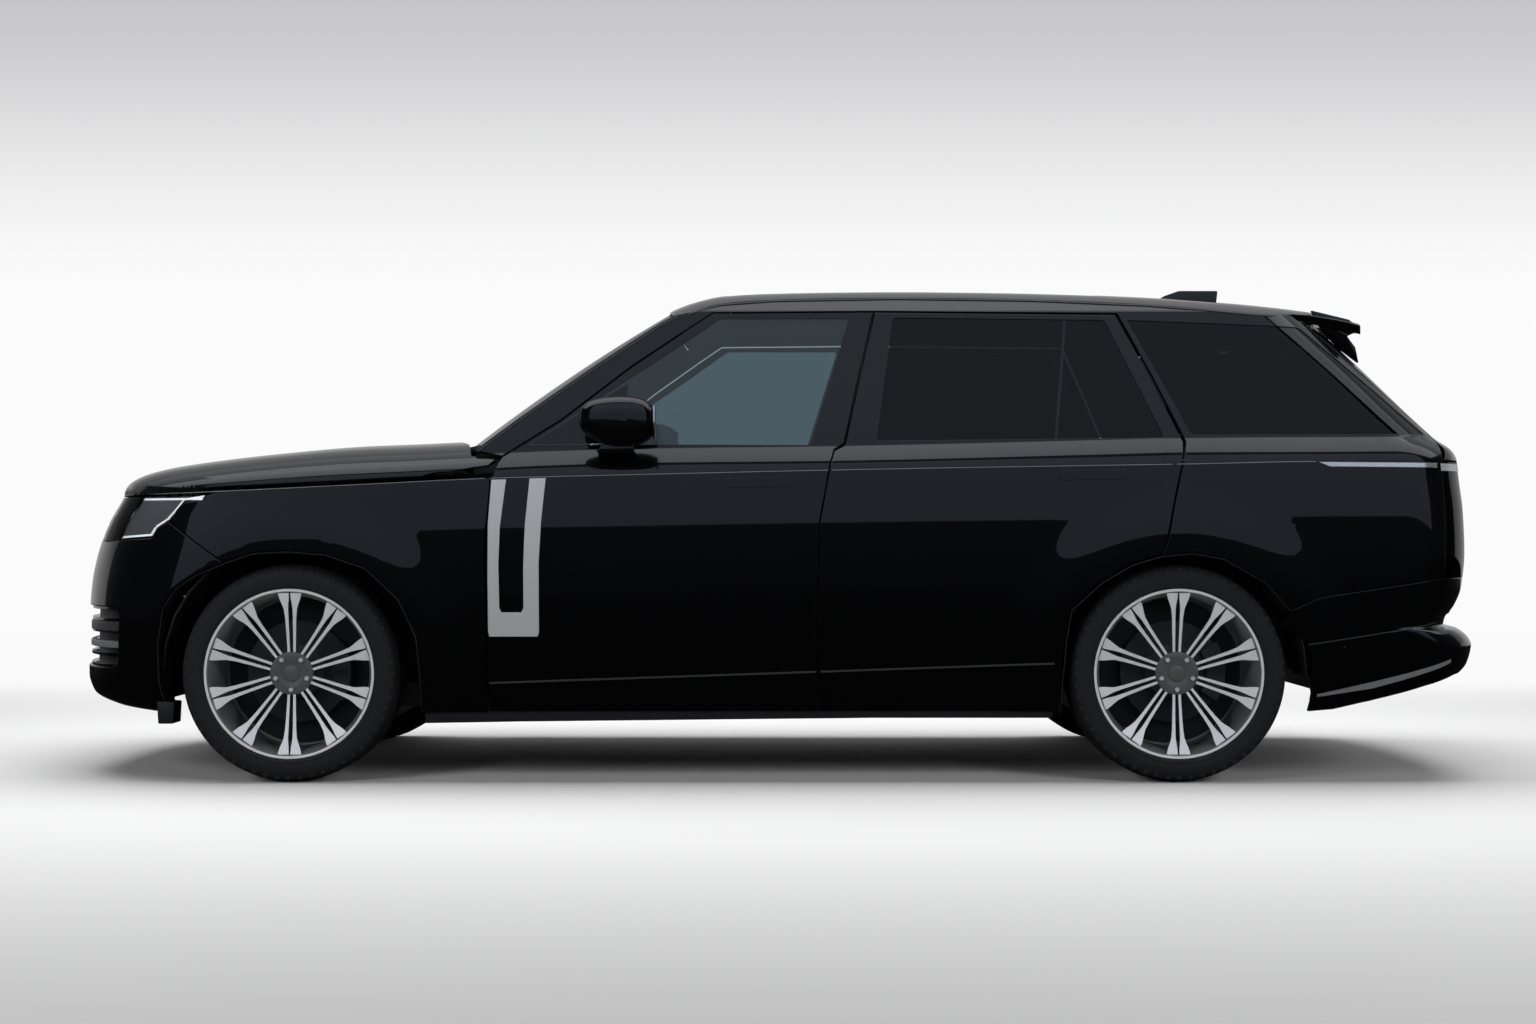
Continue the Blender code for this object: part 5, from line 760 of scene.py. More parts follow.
pair("body_side_{}_skin",
     side_panel(inset(body_ring, SEAM), 0, SKIN_WALL, [rounded(QUARTER_GLASS, GLASS_CORNER)]), PAINT,
     "body", "paint", "body_side_{}")
fender_top = [(place_x(u), BODY_HEIGHT * follow(WAIST_SHARES, u)) for u in FENDER_STATIONS]
fender_ring = (dense(FRONT_ARCH_BACK[-1:] + HEADLAMP[3:8]) + fender_top + DOOR_FRONT_LINE[:5][::-1]
               + FRONT_ARCH_BACK[:-1])
pair("fender_{}_skin", side_panel(inset(fender_ring, SEAM * 3), 0, SKIN_WALL, roll=0.003), PAINT, "body",
     "paint", "fender_{}")
for glass_name, ring, look, slot, body in (("front", FRONT_GLASS, CLEAR_GLASS, "clear_glass",
                                            "door_front_{}"),
                                           ("rear", REAR_GLASS, DARK_GLASS, "dark_glass", "door_rear_{}"),
                                           ("quarter", QUARTER_GLASS, DARK_GLASS, "dark_glass", "body")):
    pane = side_panel(inset(rounded(ring, GLASS_CORNER), PANE_GAP), 0.004, 0.004 + GLASS_WALL, roll=0)
    pair("glass_" + glass_name + "_{}_pane", pane, look, body, slot, "glass_" + glass_name + "_{}")
print("side pieces done")

# %% [markdown]
# ## Bonnet, windscreen, roof and tail
# The bonnet wraps over both fenders down to the waist line. Its skin falls steeply at the rim, so
# the refining step matters most here.

# %% Upper panels
def whole_plan(half):
    """A plan outline and its mirror image over the middle of the vehicle."""
    return half + [(x, -y) for x, y in half[::-1] if y > 0]


BONNET_CORNER = ((0.3055, 0.974), (0.3110, 0.944), (0.2930, 0.912), (0.2880, 0.750), (0.2745, 0.500),
                 (0.2665, 0.0))
lip = BODY_HEIGHT * follow(WAIST_SHARES, 0)
front_rim = [NOSE.point(NOSE.table[-1][0] * k / 24, lip) for k in range(19)]
side_rim = [(place_x(0.12 + (0.28 - 0.12) * k / 16), 0) for k in range(17)]
side_rim = [(x, half_width(x, line_z(WAIST_SHARES, x))) for x, _ in side_rim]
corner_rim = [(place_x(u), HALF_WIDTH * w) for u, w in BONNET_CORNER]
half_rim = front_rim + side_rim + corner_rim
bonnet_ring = whole_plan(half_rim)
tight, loose = inset(bonnet_ring, 0.0012), inset(bonnet_ring, SHUT_GAP)
bonnet_ring = [far if far[0] > place_x(0.2645) and near[0] > place_x(0.264) else near for near,
               far in zip(tight, loose)]
spread = [w * HALF_WIDTH * k for w in (0.55, 0.75, 0.86, 0.90, 0.93, 0.95, 0.965) for k in (-1, 1)]
bonnet_data = panel(bonnet_ring, bonnet_skin, 0, 0.024, rows=spread, pitch=(0.07, 0.07), roll=0.002, rounds=3)
settle(emit("bonnet_skin", bonnet_data, PAINT), "bonnet", "paint", "bonnet")

screen_ring = [(0, -SCREEN_HALF_FOOT), (1, -SCREEN_HALF_HEAD), (1, SCREEN_HALF_HEAD), (0, SCREEN_HALF_FOOT)]
screen_data = panel(inset(screen_ring, 0.001), screen_skin, 0, GLASS_WALL, pitch=(0.08, 0.08), roll=0)
settle(emit("windscreen_pane", screen_data, SCREEN_GLASS), "body", "clear_glass", "windscreen")

ROOF_REAR_X, BACK_BOW, BACK_YS = 2.000, 0.015, (0.690, 0.550, 0.350, 0.0)


def roof_back(gap):
    return [(ROOF_REAR_X + gap - BACK_BOW * (y / BACK_YS[0]) ** 2, y) for y in BACK_YS]


def wall_point(x, z, depth):
    point = left_skin(x, z, depth)
    return point.x, -point.y


roof_xs = [place_x(u) for u in (0.4345, *RAIL_STATIONS)]
roof_right = [wall_point(x, rail_height(x), 0.004 + (0.016 if x == roof_xs[0] else 0)) for x in roof_xs]
roof_head = [(screen_skin(1, SCREEN_HALF_FOOT * k / 8, GLASS_WALL).x,
              SCREEN_HALF_FOOT * k / 8) for k in range(7)]
roof_half = roof_head + roof_right + roof_back(0)
roof_ring = whole_plan(roof_half)
sunroof = [(-0.180, -0.520), (1.230, -0.520), (1.230, 0.520), (-0.180, 0.520)]
roof_data = panel(inset(roof_ring, 0.0006), roof_skin, 0, 0.024, holes=[rounded(sunroof, ROOF_CORNER)],
                  pitch=(0.09, 0.06))
settle(emit("roof_skin", roof_data, PAINT), "body", "paint", "roof_panel")
roof_pane = panel(inset(rounded(sunroof, ROOF_CORNER), 0.0006), roof_skin, 0.001, 0.008, pitch=(0.12, 0.08),
                  roll=0)
settle(emit("roof_glass_pane", roof_pane, ROOF_GLASS), "body", "dark_glass", "roof_glass")


def tail_place(x, z):
    return (TAIL.along(x, z), z)


def tail_at(y, z):
    return (TAIL.at_width(y, z), z)


def twice(half):
    return half + [(-a, b) for a, b in half[::-1] if a > 0]


GATE_SPLIT, GATE_BOTTOM = 0.936, 0.592
gate_window = twice([tail_at(0.690, 1.290), tail_at(0.600, 1.640)])
gate_side = [tail_place(x + HALF_GAP, z) for x, z in TAILGATE_SIDE]
gate_top = []
for y in (0.66, 0.5, 0.3, 0.0):
    z = roof_skin(2.05, y, 0.036).z + SHUT_GAP * 2
    gate_top.append(tail_at(y, z) if y else (0, z))
gate_low = GATE_SPLIT - HALF_GAP
gate_half = [(0, gate_low), tail_at(LAMP_INNER_TAIL_Y, gate_low), tail_at(LAMP_INNER_TAIL_Y, LAMP_TOP),
             tail_place(place_x(0.9570), LAMP_TOP)] + gate_side[::-1] + gate_top
upper_data = panel(inset(twice(gate_half), SHUT_GAP), TAIL.skin, 0, 0.056,
                   holes=[rounded(gate_window, ROOF_CORNER)],
                   pitch=(0.05, 0.05))
blade_half = roof_back(SHUT_GAP)[::-1] + [(2.175, 0.690), (2.222, 0.483), (2.224, 0)]
blade_ring = whole_plan(blade_half)
blade_data = panel(blade_ring, roof_skin, 0, 0.034, pitch=(0.05, 0.06), roll=0.004)
settle(emit("tailgate_upper_skin", [upper_data, blade_data], PAINT), "tailgate_upper", "paint",
       "tailgate_upper")
gate_pane = panel(inset(rounded(gate_window, ROOF_CORNER), 0.0006), TAIL.skin, 0.003, 0.008,
                  pitch=(0.08, 0.08), roll=0)
settle(emit("tailgate_glass_pane", gate_pane, DARK_GLASS), "tailgate_upper", "dark_glass", "tailgate_glass")
lower_half = [(0, GATE_BOTTOM), tail_at(0.680, GATE_BOTTOM), tail_at(LAMP_INNER_TAIL_Y, 0.690),
              tail_at(LAMP_INNER_TAIL_Y, GATE_SPLIT + HALF_GAP), (0, GATE_SPLIT + HALF_GAP)]
lower_data = panel(inset(twice(lower_half), SHUT_GAP + SEAM), TAIL.skin, 0, 0.056, pitch=(0.06, 0.05))
settle(emit("tailgate_lower_skin", lower_data, PAINT), "tailgate_lower", "paint", "tailgate_lower")

# Rear bumper
BUMPER_SHELF = 0.560
bumper_base = place(((0.8640, 0.138), (0.8810, 0.142), (0.9170, 0.166), (0.9440, 0.186), (0.9700, 0.206)))
bumper_arch = place(((0.8502, 0.338), (0.8595, 0.272), (0.8627, 0.207)))
seam = dense(bumper_arch[:1] + QUARTER_BOTTOM + LAMP_SIDE[1:])
bumper_half = ([(0, BUMPER_SHELF), (BUMPER_TAIL.at_width(LAMP_INNER_TAIL_Y, BUMPER_SHELF), BUMPER_SHELF),
                (BUMPER_TAIL.at_width(LAMP_INNER_TAIL_Y, LAMP_BOTTOM), LAMP_BOTTOM)]
               + [(BUMPER_TAIL.along(x, z), z) for x, z in seam[::-1]]
               + [(BUMPER_TAIL.along(x, z), z) for x,
                  z in bumper_arch[1:] + bumper_base] + [(0, bumper_base[-1][1])])
bumper_data = panel(inset(twice(bumper_half), 0.0012), BUMPER_TAIL.skin, 0, NOSE_WALL, pitch=(0.05, 0.035),
                    roll=0.003,
                    rounds=3)
settle(emit("rear_bumper_skin", bumper_data, PAINT), "body", "paint", "rear_bumper")


# Front bumper
def nose_ring(points):
    return [(-NOSE.along(x, z), z) for x, z in dense(points)]


lamp_line = nose_ring(HEADLAMP[:1]) + [(-NOSE.at_width(LAMP_INNER_Y, BUMPER_TOP), BUMPER_TOP)]
grille_corner = NOSE.at_width(GRILLE_HALF, GRILLE_BOTTOM)
front_half = (nose_ring(FRONT_ARCH_FRONT)[::-1] + nose_ring(FRONT_ARCH_BACK[-1:] + HEADLAMP[3:0:-1]) + lamp_line
              + [(-grille_corner, BUMPER_TOP), (-grille_corner, GRILLE_BOTTOM)])
front_ring = front_half + [(-a, z) for a, z in front_half[::-1]]
intake_reach = NOSE.at_width(INTAKE_HALF, INTAKE_TOP)
intake = [(-intake_reach, INTAKE_BOTTOM), (intake_reach, INTAKE_BOTTOM), (intake_reach, INTAKE_TOP),
          (-intake_reach, INTAKE_TOP)]
front_data = panel(inset(front_ring, 0.0012), NOSE.skin, 0, NOSE_WALL, holes=[rounded(intake, 0.05)],
                   pitch=(0.045, 0.05),
                   roll=0.003, rounds=3)
settle(emit("front_bumper_skin", front_data, PAINT), "body", "paint", "front_bumper")
print("upper panels done")

# %% [markdown]
# ## Makers for solid details
# Small parts come from a few plain makers: a turned ring, a tube along a line, a block with eased
# edges and a repeat about an axle. The repeat is a node group with a named count, applied at once,
# so that one edited spoke or tread block changes all of them.


# %% Detail makers
def add_object(name, mesh, look=None, angle=35):
    mesh.shade_smooth()
    mesh.set_sharp_from_angle(angle=math.radians(angle))
    if look:
        mesh.materials.clear()
        mesh.materials.append(look)
    return placed(name, mesh)


def from_work(name, work, look, angle=35):
    bmesh.ops.recalc_face_normals(work, faces=work.faces)
    mesh = bpy.data.meshes.new(name)
    work.to_mesh(mesh)
    work.free()
    return add_object(name, mesh, look, angle)


def loft(work, rings, wrap=False):
    """Join rings of points with faces: closed on itself, or capped at both ends."""
    for here, after in zip(rings, rings[1:] + (rings[:1] if wrap else [])):
        for k in range(len(here)):
            m = (k + 1) % len(here)
            work.faces.new((here[k], after[k], after[m], here[m]))
    if not wrap:
        work.faces.new(rings[0])
        work.faces.new(rings[-1][::-1])


def turned(name, profile, look, centre=(0, 0, 0), side=-1, steps=96, angle=35):
    """Turn a closed (radius, outward) profile about an axle along Y; outward is towards side."""
    work = bmesh.new()
    rings = []
    for i in range(steps):
        turn = 2 * math.pi * i / steps
        rings.append([work.verts.new((centre[0] + r * math.cos(turn), centre[1] + side * a,
                                      centre[2] + r * math.sin(turn))) for r, a in profile])
    loft(work, rings, wrap=True)
    bmesh.ops.remove_doubles(work, verts=work.verts, dist=0.00001)
    return from_work(name, work, look, angle)


def block(name, low, high, look, ease=0.003, steps=2):
    work = bmesh.new()
    size = [b - a for a, b in zip(low, high)]
    middle = [(a + b) / 2 for a, b in zip(low, high)]
    bmesh.ops.create_cube(work, size=1, matrix=Matrix.Translation(middle) @ Matrix.Diagonal((*size, 1)))
    if ease:
        bmesh.ops.bevel(work, geom=work.edges[:], offset=ease, segments=steps, profile=0.5, affect="EDGES")
    return from_work(name, work, look)


def swept(name, profile, low, high, look, ease=0.003):
    """Push a closed side-view profile across from low to high."""
    work = bmesh.new()
    loft(work, [[work.verts.new((a, y, b)) for a, b in profile] for y in (low, high)])
    bmesh.ops.recalc_face_normals(work, faces=work.faces)
    if ease:
        bmesh.ops.bevel(work, geom=work.edges[:], offset=ease, segments=2, profile=0.5, affect="EDGES",
                        clamp_overlap=True)
    return from_work(name, work, look)


def tube(name, points, radius, look, closed=False, turns=10):
    """A round bar along a line of points."""
    curve = bpy.data.curves.new(name, "CURVE")
    curve.dimensions = "3D"
    curve.bevel_depth = radius
    curve.bevel_resolution = max(turns // 4, 1)
    curve.use_fill_caps = True
    spline = curve.splines.new("POLY")
    spline.points.add(len(points) - 1)
    for spot, point in zip(spline.points, points):
        spot.co = (*point, 1)
    spline.use_cyclic_u = closed
    guide = placed(name + "_line", curve)
    mesh = as_mesh(guide)
    bpy.data.objects.remove(guide, do_unlink=True)
    work = bmesh.new()
    work.from_mesh(mesh)
    bmesh.ops.remove_doubles(work, verts=work.verts, dist=0.00001)
    work.to_mesh(mesh)
    work.free()
    return add_object(name, mesh, look, 50)


def swept_pair(name, profile, low, high, look, ease, body, slot):
    """A pushed profile on the left and its mirror image."""
    both(lambda made: swept(made, profile, low, high, look, ease), name, body, slot)


def around(name, source, count, centre, look, mirror=False):
    """Repeat a piece evenly about an axle along Y. The source sits on the axle at the origin."""
    group = bpy.data.node_groups.new(name + "_repeat", "GeometryNodeTree")
    group.interface.new_socket("Geometry", in_out="INPUT", socket_type="NodeSocketGeometry")
    number = group.interface.new_socket("Count", in_out="INPUT", socket_type="NodeSocketInt")
    number.default_value = count
    group.interface.new_socket("Geometry", in_out="OUTPUT", socket_type="NodeSocketGeometry")
    start = group.nodes.new("NodeGroupInput")
    end = group.nodes.new("NodeGroupOutput")
    points = group.nodes.new("GeometryNodePoints")
    index = group.nodes.new("GeometryNodeInputIndex")
    share = group.nodes.new("ShaderNodeMath")
    share.operation = "DIVIDE"
    angle = group.nodes.new("ShaderNodeMath")
    angle.operation = "MULTIPLY"
    angle.inputs[1].default_value = 2 * math.pi
    turn = group.nodes.new("ShaderNodeCombineXYZ")
    rotation = group.nodes.new("FunctionNodeEulerToRotation")
    copies = group.nodes.new("GeometryNodeInstanceOnPoints")
    real = group.nodes.new("GeometryNodeRealizeInstances")
    dress = group.nodes.new("GeometryNodeSetMaterial")
    dress.inputs["Material"].default_value = look
    join = group.links.new
    join(start.outputs["Count"], points.inputs["Count"])
    join(index.outputs["Index"], share.inputs[0])
    join(start.outputs["Count"], share.inputs[1])
    join(share.outputs["Value"], angle.inputs[0])
    join(angle.outputs["Value"], turn.inputs["Y"])
    join(turn.outputs["Vector"], rotation.inputs["Euler"])
    join(points.outputs["Points"] if "Points" in points.outputs else points.outputs[0],
         copies.inputs["Points"])
    join(start.outputs["Geometry"], copies.inputs["Instance"])
    join(rotation.outputs["Rotation"], copies.inputs["Rotation"])
    join(copies.outputs["Instances"], real.inputs["Geometry"])
    join(real.outputs["Geometry"], dress.inputs["Geometry"])
    join(dress.outputs["Geometry"], end.inputs["Geometry"])
    step = source.modifiers.new("repeat", "NODES")
    step.node_group = group
    mesh = as_mesh(source)
    bpy.data.objects.remove(source, do_unlink=True)
    bpy.data.node_groups.remove(group)
    work = bmesh.new()
    work.from_mesh(mesh)
    if mirror:
        bmesh.ops.scale(work, vec=(1, -1, 1), verts=work.verts)
    bmesh.ops.translate(work, vec=centre, verts=work.verts)
    return from_work(name, work, look)


def mirror_object(item, name):
    work = bmesh.new()
    work.from_mesh(item.data)
    bmesh.ops.scale(work, vec=(1, -1, 1), verts=work.verts)
    return from_work(name, work, item.data.materials[0])


def both(build, name, body, slot=None, stands_for=None):
    """Build the left piece, mirror it, and fix both."""
    left = build(name.format("left"))
    right = mirror_object(left, name.format("right"))
    for item, side in ((left, "left"), (right, "right")):
        settle(item, body.format(side), slot, stands_for.format(side) if stands_for else ())


# %% [markdown]
# ## Wheels
# Ten pairs of slim spokes run from a dark hub to a thin bright lip. A spoke is a lofted bar with a
# dark body and a machined face plate lying on it, because a separate plate keeps the bright edge
# crisp at any distance. Tread blocks stand on a smooth turned carcass.

# %% Wheel parts
SPOKE_STATIONS = ((0.068, 0.0040, 0.0160), (0.100, 0.0046, 0.0170), (0.150, 0.0056, 0.0190),
                  (0.200, 0.0064, 0.0215),
                  (0.232, 0.0066, 0.0250), (0.250, 0.0050, 0.0310), (0.266, 0.0028, 0.0375),
                  (0.280, 0.0018, 0.0420),
                  (0.290, 0.0016, 0.0440))


TREAD_TOP, TREAD_DEPTH, TREAD_BLOCKS, SHOULDER_LUGS = 0.3917, 0.007, 76, 56
SPOKE_PAIRS, WHEEL_NUTS = 10, 5


def face_height(radius):
    return 0.118 - 0.040 * (1 - (radius / 0.284) ** 2)


def spoke_part(name, side, body):
    """One spoke of a pair, standing up from the axle. body is the dark bar, otherwise the bright plate."""
    work = bmesh.new()
    rings = []
    for radius, near, far in SPOKE_STATIONS:
        top = face_height(radius)
        if body:
            section = ((near, top - 0.004), (near + 0.0015, top - 0.0006), (far - 0.0015, top - 0.0006),
                       (far, top - 0.004),
                       (far - 0.003, top - 0.026), (near + 0.001, top - 0.026))
        else:
            section = ((near + 0.0012, top - 0.0008), (near + 0.0016, top), (far - 0.0016, top),
                       (far - 0.0012, top - 0.0008))
        rings.append([work.verts.new((side * a, -b, radius)) for a, b in section])
    loft(work, rings)
    bmesh.ops.recalc_face_normals(work, faces=work.faces)
    return work


def spoke_pair(name, body):
    work = spoke_part(name, 1, body)
    other = spoke_part(name, -1, body)
    mesh = bpy.data.meshes.new(name)
    other.to_mesh(mesh)
    other.free()
    work.from_mesh(mesh)
    return from_work(name, work, DARK_ALLOY)


def nut(name):
    work = bmesh.new()
    spot = Matrix.Translation((0, -0.0865, -0.0590)) @ Matrix.Rotation(math.pi / 2, 4, "X")
    bmesh.ops.create_cone(work, cap_ends=True, segments=6, radius1=0.0105, radius2=0.0085, depth=0.016,
                          matrix=spot)
    return from_work(name, work, STEEL)


def tread_block(name, low, high, start, span):
    """A raised block between two places across the tread, following its curve."""
    work = bmesh.new()
    steps = 3
    tops, feet = [], []
    for i in range(steps + 1):
        across = low + (high - low) * i / steps
        lift = TREAD_TOP - 0.00018 * max((abs(across) - 0.080) * 1000, 0) ** 1.12
        for k in (0, 1):
            turn = start + span * k
            tops.append(work.verts.new((lift * math.sin(turn), -across, lift * math.cos(turn))))
            feet.append(work.verts.new(((lift - TREAD_DEPTH) * math.sin(turn), -across,
                                        (lift - TREAD_DEPTH) * math.cos(turn))))
    for i in range(steps):
        a, b, c, d = 2 * i, 2 * i + 1, 2 * i + 3, 2 * i + 2
        work.faces.new((tops[a], tops[b], tops[c], tops[d]))
        work.faces.new((feet[d], feet[c], feet[b], feet[a]))
        work.faces.new((tops[a], tops[d], feet[d], feet[a]))
        work.faces.new((tops[b], feet[b], feet[c], tops[c]))
    work.faces.new((tops[0], feet[0], feet[1], tops[1]))
    work.faces.new((tops[-2], tops[-1], feet[-1], feet[-2]))
    return from_work(name, work, RUBBER)


BARREL = ((0.2905, -0.117), (0.2905, 0.117), (0.3055, 0.118), (0.3056, 0.1280), (0.3030, 0.1296),
          (0.2975, 0.1290),
          (0.2935, 0.1240), (0.2895, 0.1100), (0.2830, 0.0850), (0.2760, 0.0500), (0.2740, 0.0),
          (0.2740, -0.100), (0.2570, -0.104), (0.2570, -0.112),
          (0.3000, -0.129), (0.3056, -0.129), (0.3056, -0.118))
LIP = ((0.2972, 0.1286), (0.3000, 0.1297), (0.3052, 0.1299), (0.3060, 0.1289), (0.3052, 0.1304),
       (0.2990, 0.1304),
       (0.2966, 0.1294))
CARCASS_HALF = ((0.2908, 0.1172), (0.3062, 0.1178), (0.3080, 0.1300), (0.3150, 0.1355), (0.3175, 0.1385),
                (0.3200, 0.1372),
                (0.3300, 0.1402), (0.3450, 0.1418), (0.3600, 0.1392), (0.3720, 0.1330), (0.3805, 0.1235),
                (0.3855, 0.1100),
                (0.3875, 0.0960), (0.3878, 0.0800), (0.3815, 0.0790), (0.3815, 0.0710), (0.3885, 0.0700),
                (0.3885, 0.0320),
                (0.3815, 0.0310), (0.3815, 0.0230), (0.3890, 0.0220))
CARCASS = CARCASS_HALF + tuple((r, -a) for r, a in CARCASS_HALF[::-1])
HUB_DISC = ((0.0, 0.060), (0.074, 0.060), (0.0785, 0.064), (0.0785, 0.0800), (0.0765, 0.0835),
            (0.0720, 0.0850),
            (0.0420, 0.0850), (0.0390, 0.0835), (0.0300, 0.0835), (0.0290, 0.0870), (0.0250, 0.0885),
            (0.0, 0.0890))
BRAKE = ((0.090, -0.064), (0.186, -0.064), (0.186, -0.044), (0.090, -0.044))
BRAKE_BELL = ((0.0, -0.060), (0.096, -0.060), (0.096, -0.036), (0.080, -0.030), (0.0, -0.030))


def dress_wheel(axle, axle_x, side_name, side):
    centre = (axle_x, side * WHEEL_CENTRE_Y, TYRE_RADIUS)
    body = "wheel_" + axle + "_" + side_name
    name = axle + "_" + side_name
    flip = side > 0
    rim_node, tyre_node = "rim_" + name, "tyre_" + name
    settle(turned("barrel_" + name, BARREL, BARREL_ALLOY, centre, side), body, "alloy", rim_node)
    settle(turned("lip_" + name, LIP, MACHINED, centre, side), body, "alloy")
    settle(turned("hub_" + name, HUB_DISC, HUB_GREY, centre, side, 64), body, "alloy")
    settle(turned("brake_disc_" + name, BRAKE, STEEL, centre, side, 72), body, "steel")
    settle(turned("brake_bell_" + name, BRAKE_BELL, CAST, centre, side, 48), body, "steel")
    settle(around("spoke_bodies_" + name, spoke_pair("pair", True), SPOKE_PAIRS, centre, DARK_ALLOY, flip),
           body, "alloy")
    settle(around("spoke_faces_" + name, spoke_pair("pair", False), SPOKE_PAIRS, centre, MACHINED, flip),
           body, "alloy")
    settle(around("wheel_nuts_" + name, nut("nut"), WHEEL_NUTS, centre, SATIN, flip), body, "steel")
    settle(turned("tyre_carcass_" + name, CARCASS, RUBBER, centre, side, 128), body, "tyre", tyre_node)
    lug = block("lug", (-0.0085, -0.1372, 0.3630), (0.0085, -0.1240, 0.3790), RUBBER, 0.0015, 1)
    settle(around("shoulder_lugs_" + name, lug, SHOULDER_LUGS, centre, RUBBER, flip), body, "tyre")
    pitch = 2 * math.pi / TREAD_BLOCKS
    rows = ((0.0825, 0.1200, 0.0), (-0.1200, -0.0825, pitch / 2), (0.0345, 0.0680, pitch * 0.3),
            (-0.0680, -0.0345, pitch * 0.8))
    for i, (low, high, start) in enumerate(rows):
        source = tread_block("block", low, high, start, pitch * 0.72)
        settle(around("tread_row_" + str(i) + "_" + name, source, TREAD_BLOCKS, centre, RUBBER, flip), body,
               "tyre")


for axle, axle_x in (("front", FRONT_AXLE_X), ("rear", REAR_AXLE_X)):
    for side_name, side in (("left", -1), ("right", 1)):
        dress_wheel(axle, axle_x, side_name, side)

# Brake calipers and dust shields stay with what carries the wheel
SHIELD = ((0.060, -0.090), (0.262, -0.090), (0.262, -0.086), (0.060, -0.086))
for axle, axle_x, body in (("front", FRONT_AXLE_X, "knuckle_front_{}"), ("rear", REAR_AXLE_X, "body")):
    def shield(name, axle_x=axle_x):
        return turned(name, SHIELD, BLACK_TRIM, (axle_x, -WHEEL_CENTRE_Y, TYRE_RADIUS), -1, 64)
    both(shield, "dust_shield_" + axle + "_{}", body, "black_trim")
for axle, axle_x, body in (("front", FRONT_AXLE_X, "knuckle_front_{}"), ("rear", REAR_AXLE_X, "body")):
    def caliper(name, axle_x=axle_x):
        work = bmesh.new()
        rings = []
        for i in range(9):
            turn = math.radians(-34 + 68 * i / 8)
            ring = []
            for radius, out in ((0.128, -0.070), (0.196, -0.070), (0.204, -0.052), (0.196, -0.022),
                                (0.128, -0.022)):
                ring.append(work.verts.new((axle_x + radius * math.cos(turn), -WHEEL_CENTRE_Y - out,
                                            TYRE_RADIUS + radius * math.sin(turn))))
            rings.append(ring)
        loft(work, rings)
        return from_work(name, work, CAST)
    both(caliper, "caliper_" + axle + "_{}", body, "steel")
print("wheels done")

# %% [markdown]
# ## Lamps and grilles
# A headlamp is a clear cover over a dark bowl with a pale light guide along its edge and round
# projectors. A solid glass block would have looked milky from the side.


# %% Lamps and grilles
def nose_pair(name, data, look, slot=None, stands_for=None):
    pair(name, data, look, "body", slot, stands_for)


lamp_low = (-NOSE.at_width(LAMP_INNER_Y, BUMPER_TOP), BUMPER_TOP)
lamp_outer = nose_ring(HEADLAMP)
lamp_high = (-NOSE.at_width(LAMP_INNER_Y, lamp_outer[-1][1]), lamp_outer[-1][1])
lamp_ring = inset(lamp_outer + [lamp_high, lamp_low], 0.0015)


def lamp_part(gap, outer, inner, hole=None, pitch=(0.04, 0.05)):
    ring = inset(lamp_ring, gap)
    holes = [inset(lamp_ring, hole)] if hole else []
    return panel(ring, NOSE.skin, outer, inner, holes=holes, pitch=pitch, roll=0)


nose_pair("headlamp_{}_cover", lamp_part(0, 0.0005, 0.003), LENS, "lamp_glass", "headlamp_{}")
nose_pair("headlamp_{}_bowl", lamp_part(0.001, 0.050, 0.070), LAMP_GREY, "black_trim")
nose_pair("headlamp_{}_wall", lamp_part(0.001, 0.004, 0.050, 0.006), LAMP_GREY, "black_trim")
guide_line, guide_bars = inset(lamp_ring, 0.006), []
guide_turn = ring_turn(guide_line)
for here, after in zip(guide_line, guide_line[1:] + guide_line[:1]):
    along = Vector(after) - Vector(here)
    if along.length > 0.010:
        across = Vector((-along.y, along.x)).normalized() * 0.0075 * guide_turn
        bar_ring = [here, after, tuple(Vector(after) + across), tuple(Vector(here) + across)]
        guide_bars.append(panel(bar_ring, NOSE.skin, 0.0036, 0.010, pitch=(0.04, 0.05), roll=0))
nose_pair("headlamp_{}_guide", guide_bars, LIGHT_GUIDE, "lamp_glass")


def projectors(name):
    work = bmesh.new()
    for y, z, radius in ((0.640, 0.955, 0.030), (0.722, 0.957, 0.032), (0.800, 0.960, 0.032),
                         (0.868, 0.964, 0.028)):
        along = -NOSE.at_width(y, z)
        front, back = NOSE.skin(along, z, 0.022), NOSE.skin(along, z, 0.064)
        turn = (front - back).to_track_quat("Z", "Y").to_matrix().to_4x4()
        for low, high, small, large in ((0.0, 0.80, 1.0, 1.0), (0.80, 1.0, 0.86, 0.70)):
            a, b = back.lerp(front, low), back.lerp(front, high)
            bmesh.ops.create_cone(work, cap_ends=True, segments=28, radius1=radius * small,
                                  radius2=radius * large,
                                  depth=(b - a).length, matrix=Matrix.Translation((a + b) / 2) @ turn)
    return from_work(name, work, CHROME)


both(projectors, "headlamp_{}_projectors", "body", "alloy")


def slat_holes(half, low, high, bars, bar):
    pitch = (high - low - bar) / (bars + 1)
    holes = []
    for i in range(bars + 1):
        z = low + bar + pitch * i
        for near, far in ((-half + bar, -bar / 2), (bar / 2, half - bar)):
            holes.append([(near, z), (far, z), (far, z + pitch - bar), (near, z + pitch - bar)])
    return holes


def nose_frame(name, half, low, high, bars, bar, outer, look, slot, node):
    ring = inset([(-half, low), (half, low), (half, high), (-half, high)], 0.0015)
    data = panel(rounded(ring, 0.02), NOSE.skin, outer, outer + 0.030,
                 holes=slat_holes(half, low, high, bars, bar),
                 pitch=(0.05, 0.2), roll=0.0025)
    settle(emit(name, data, look), "body", slot, node)


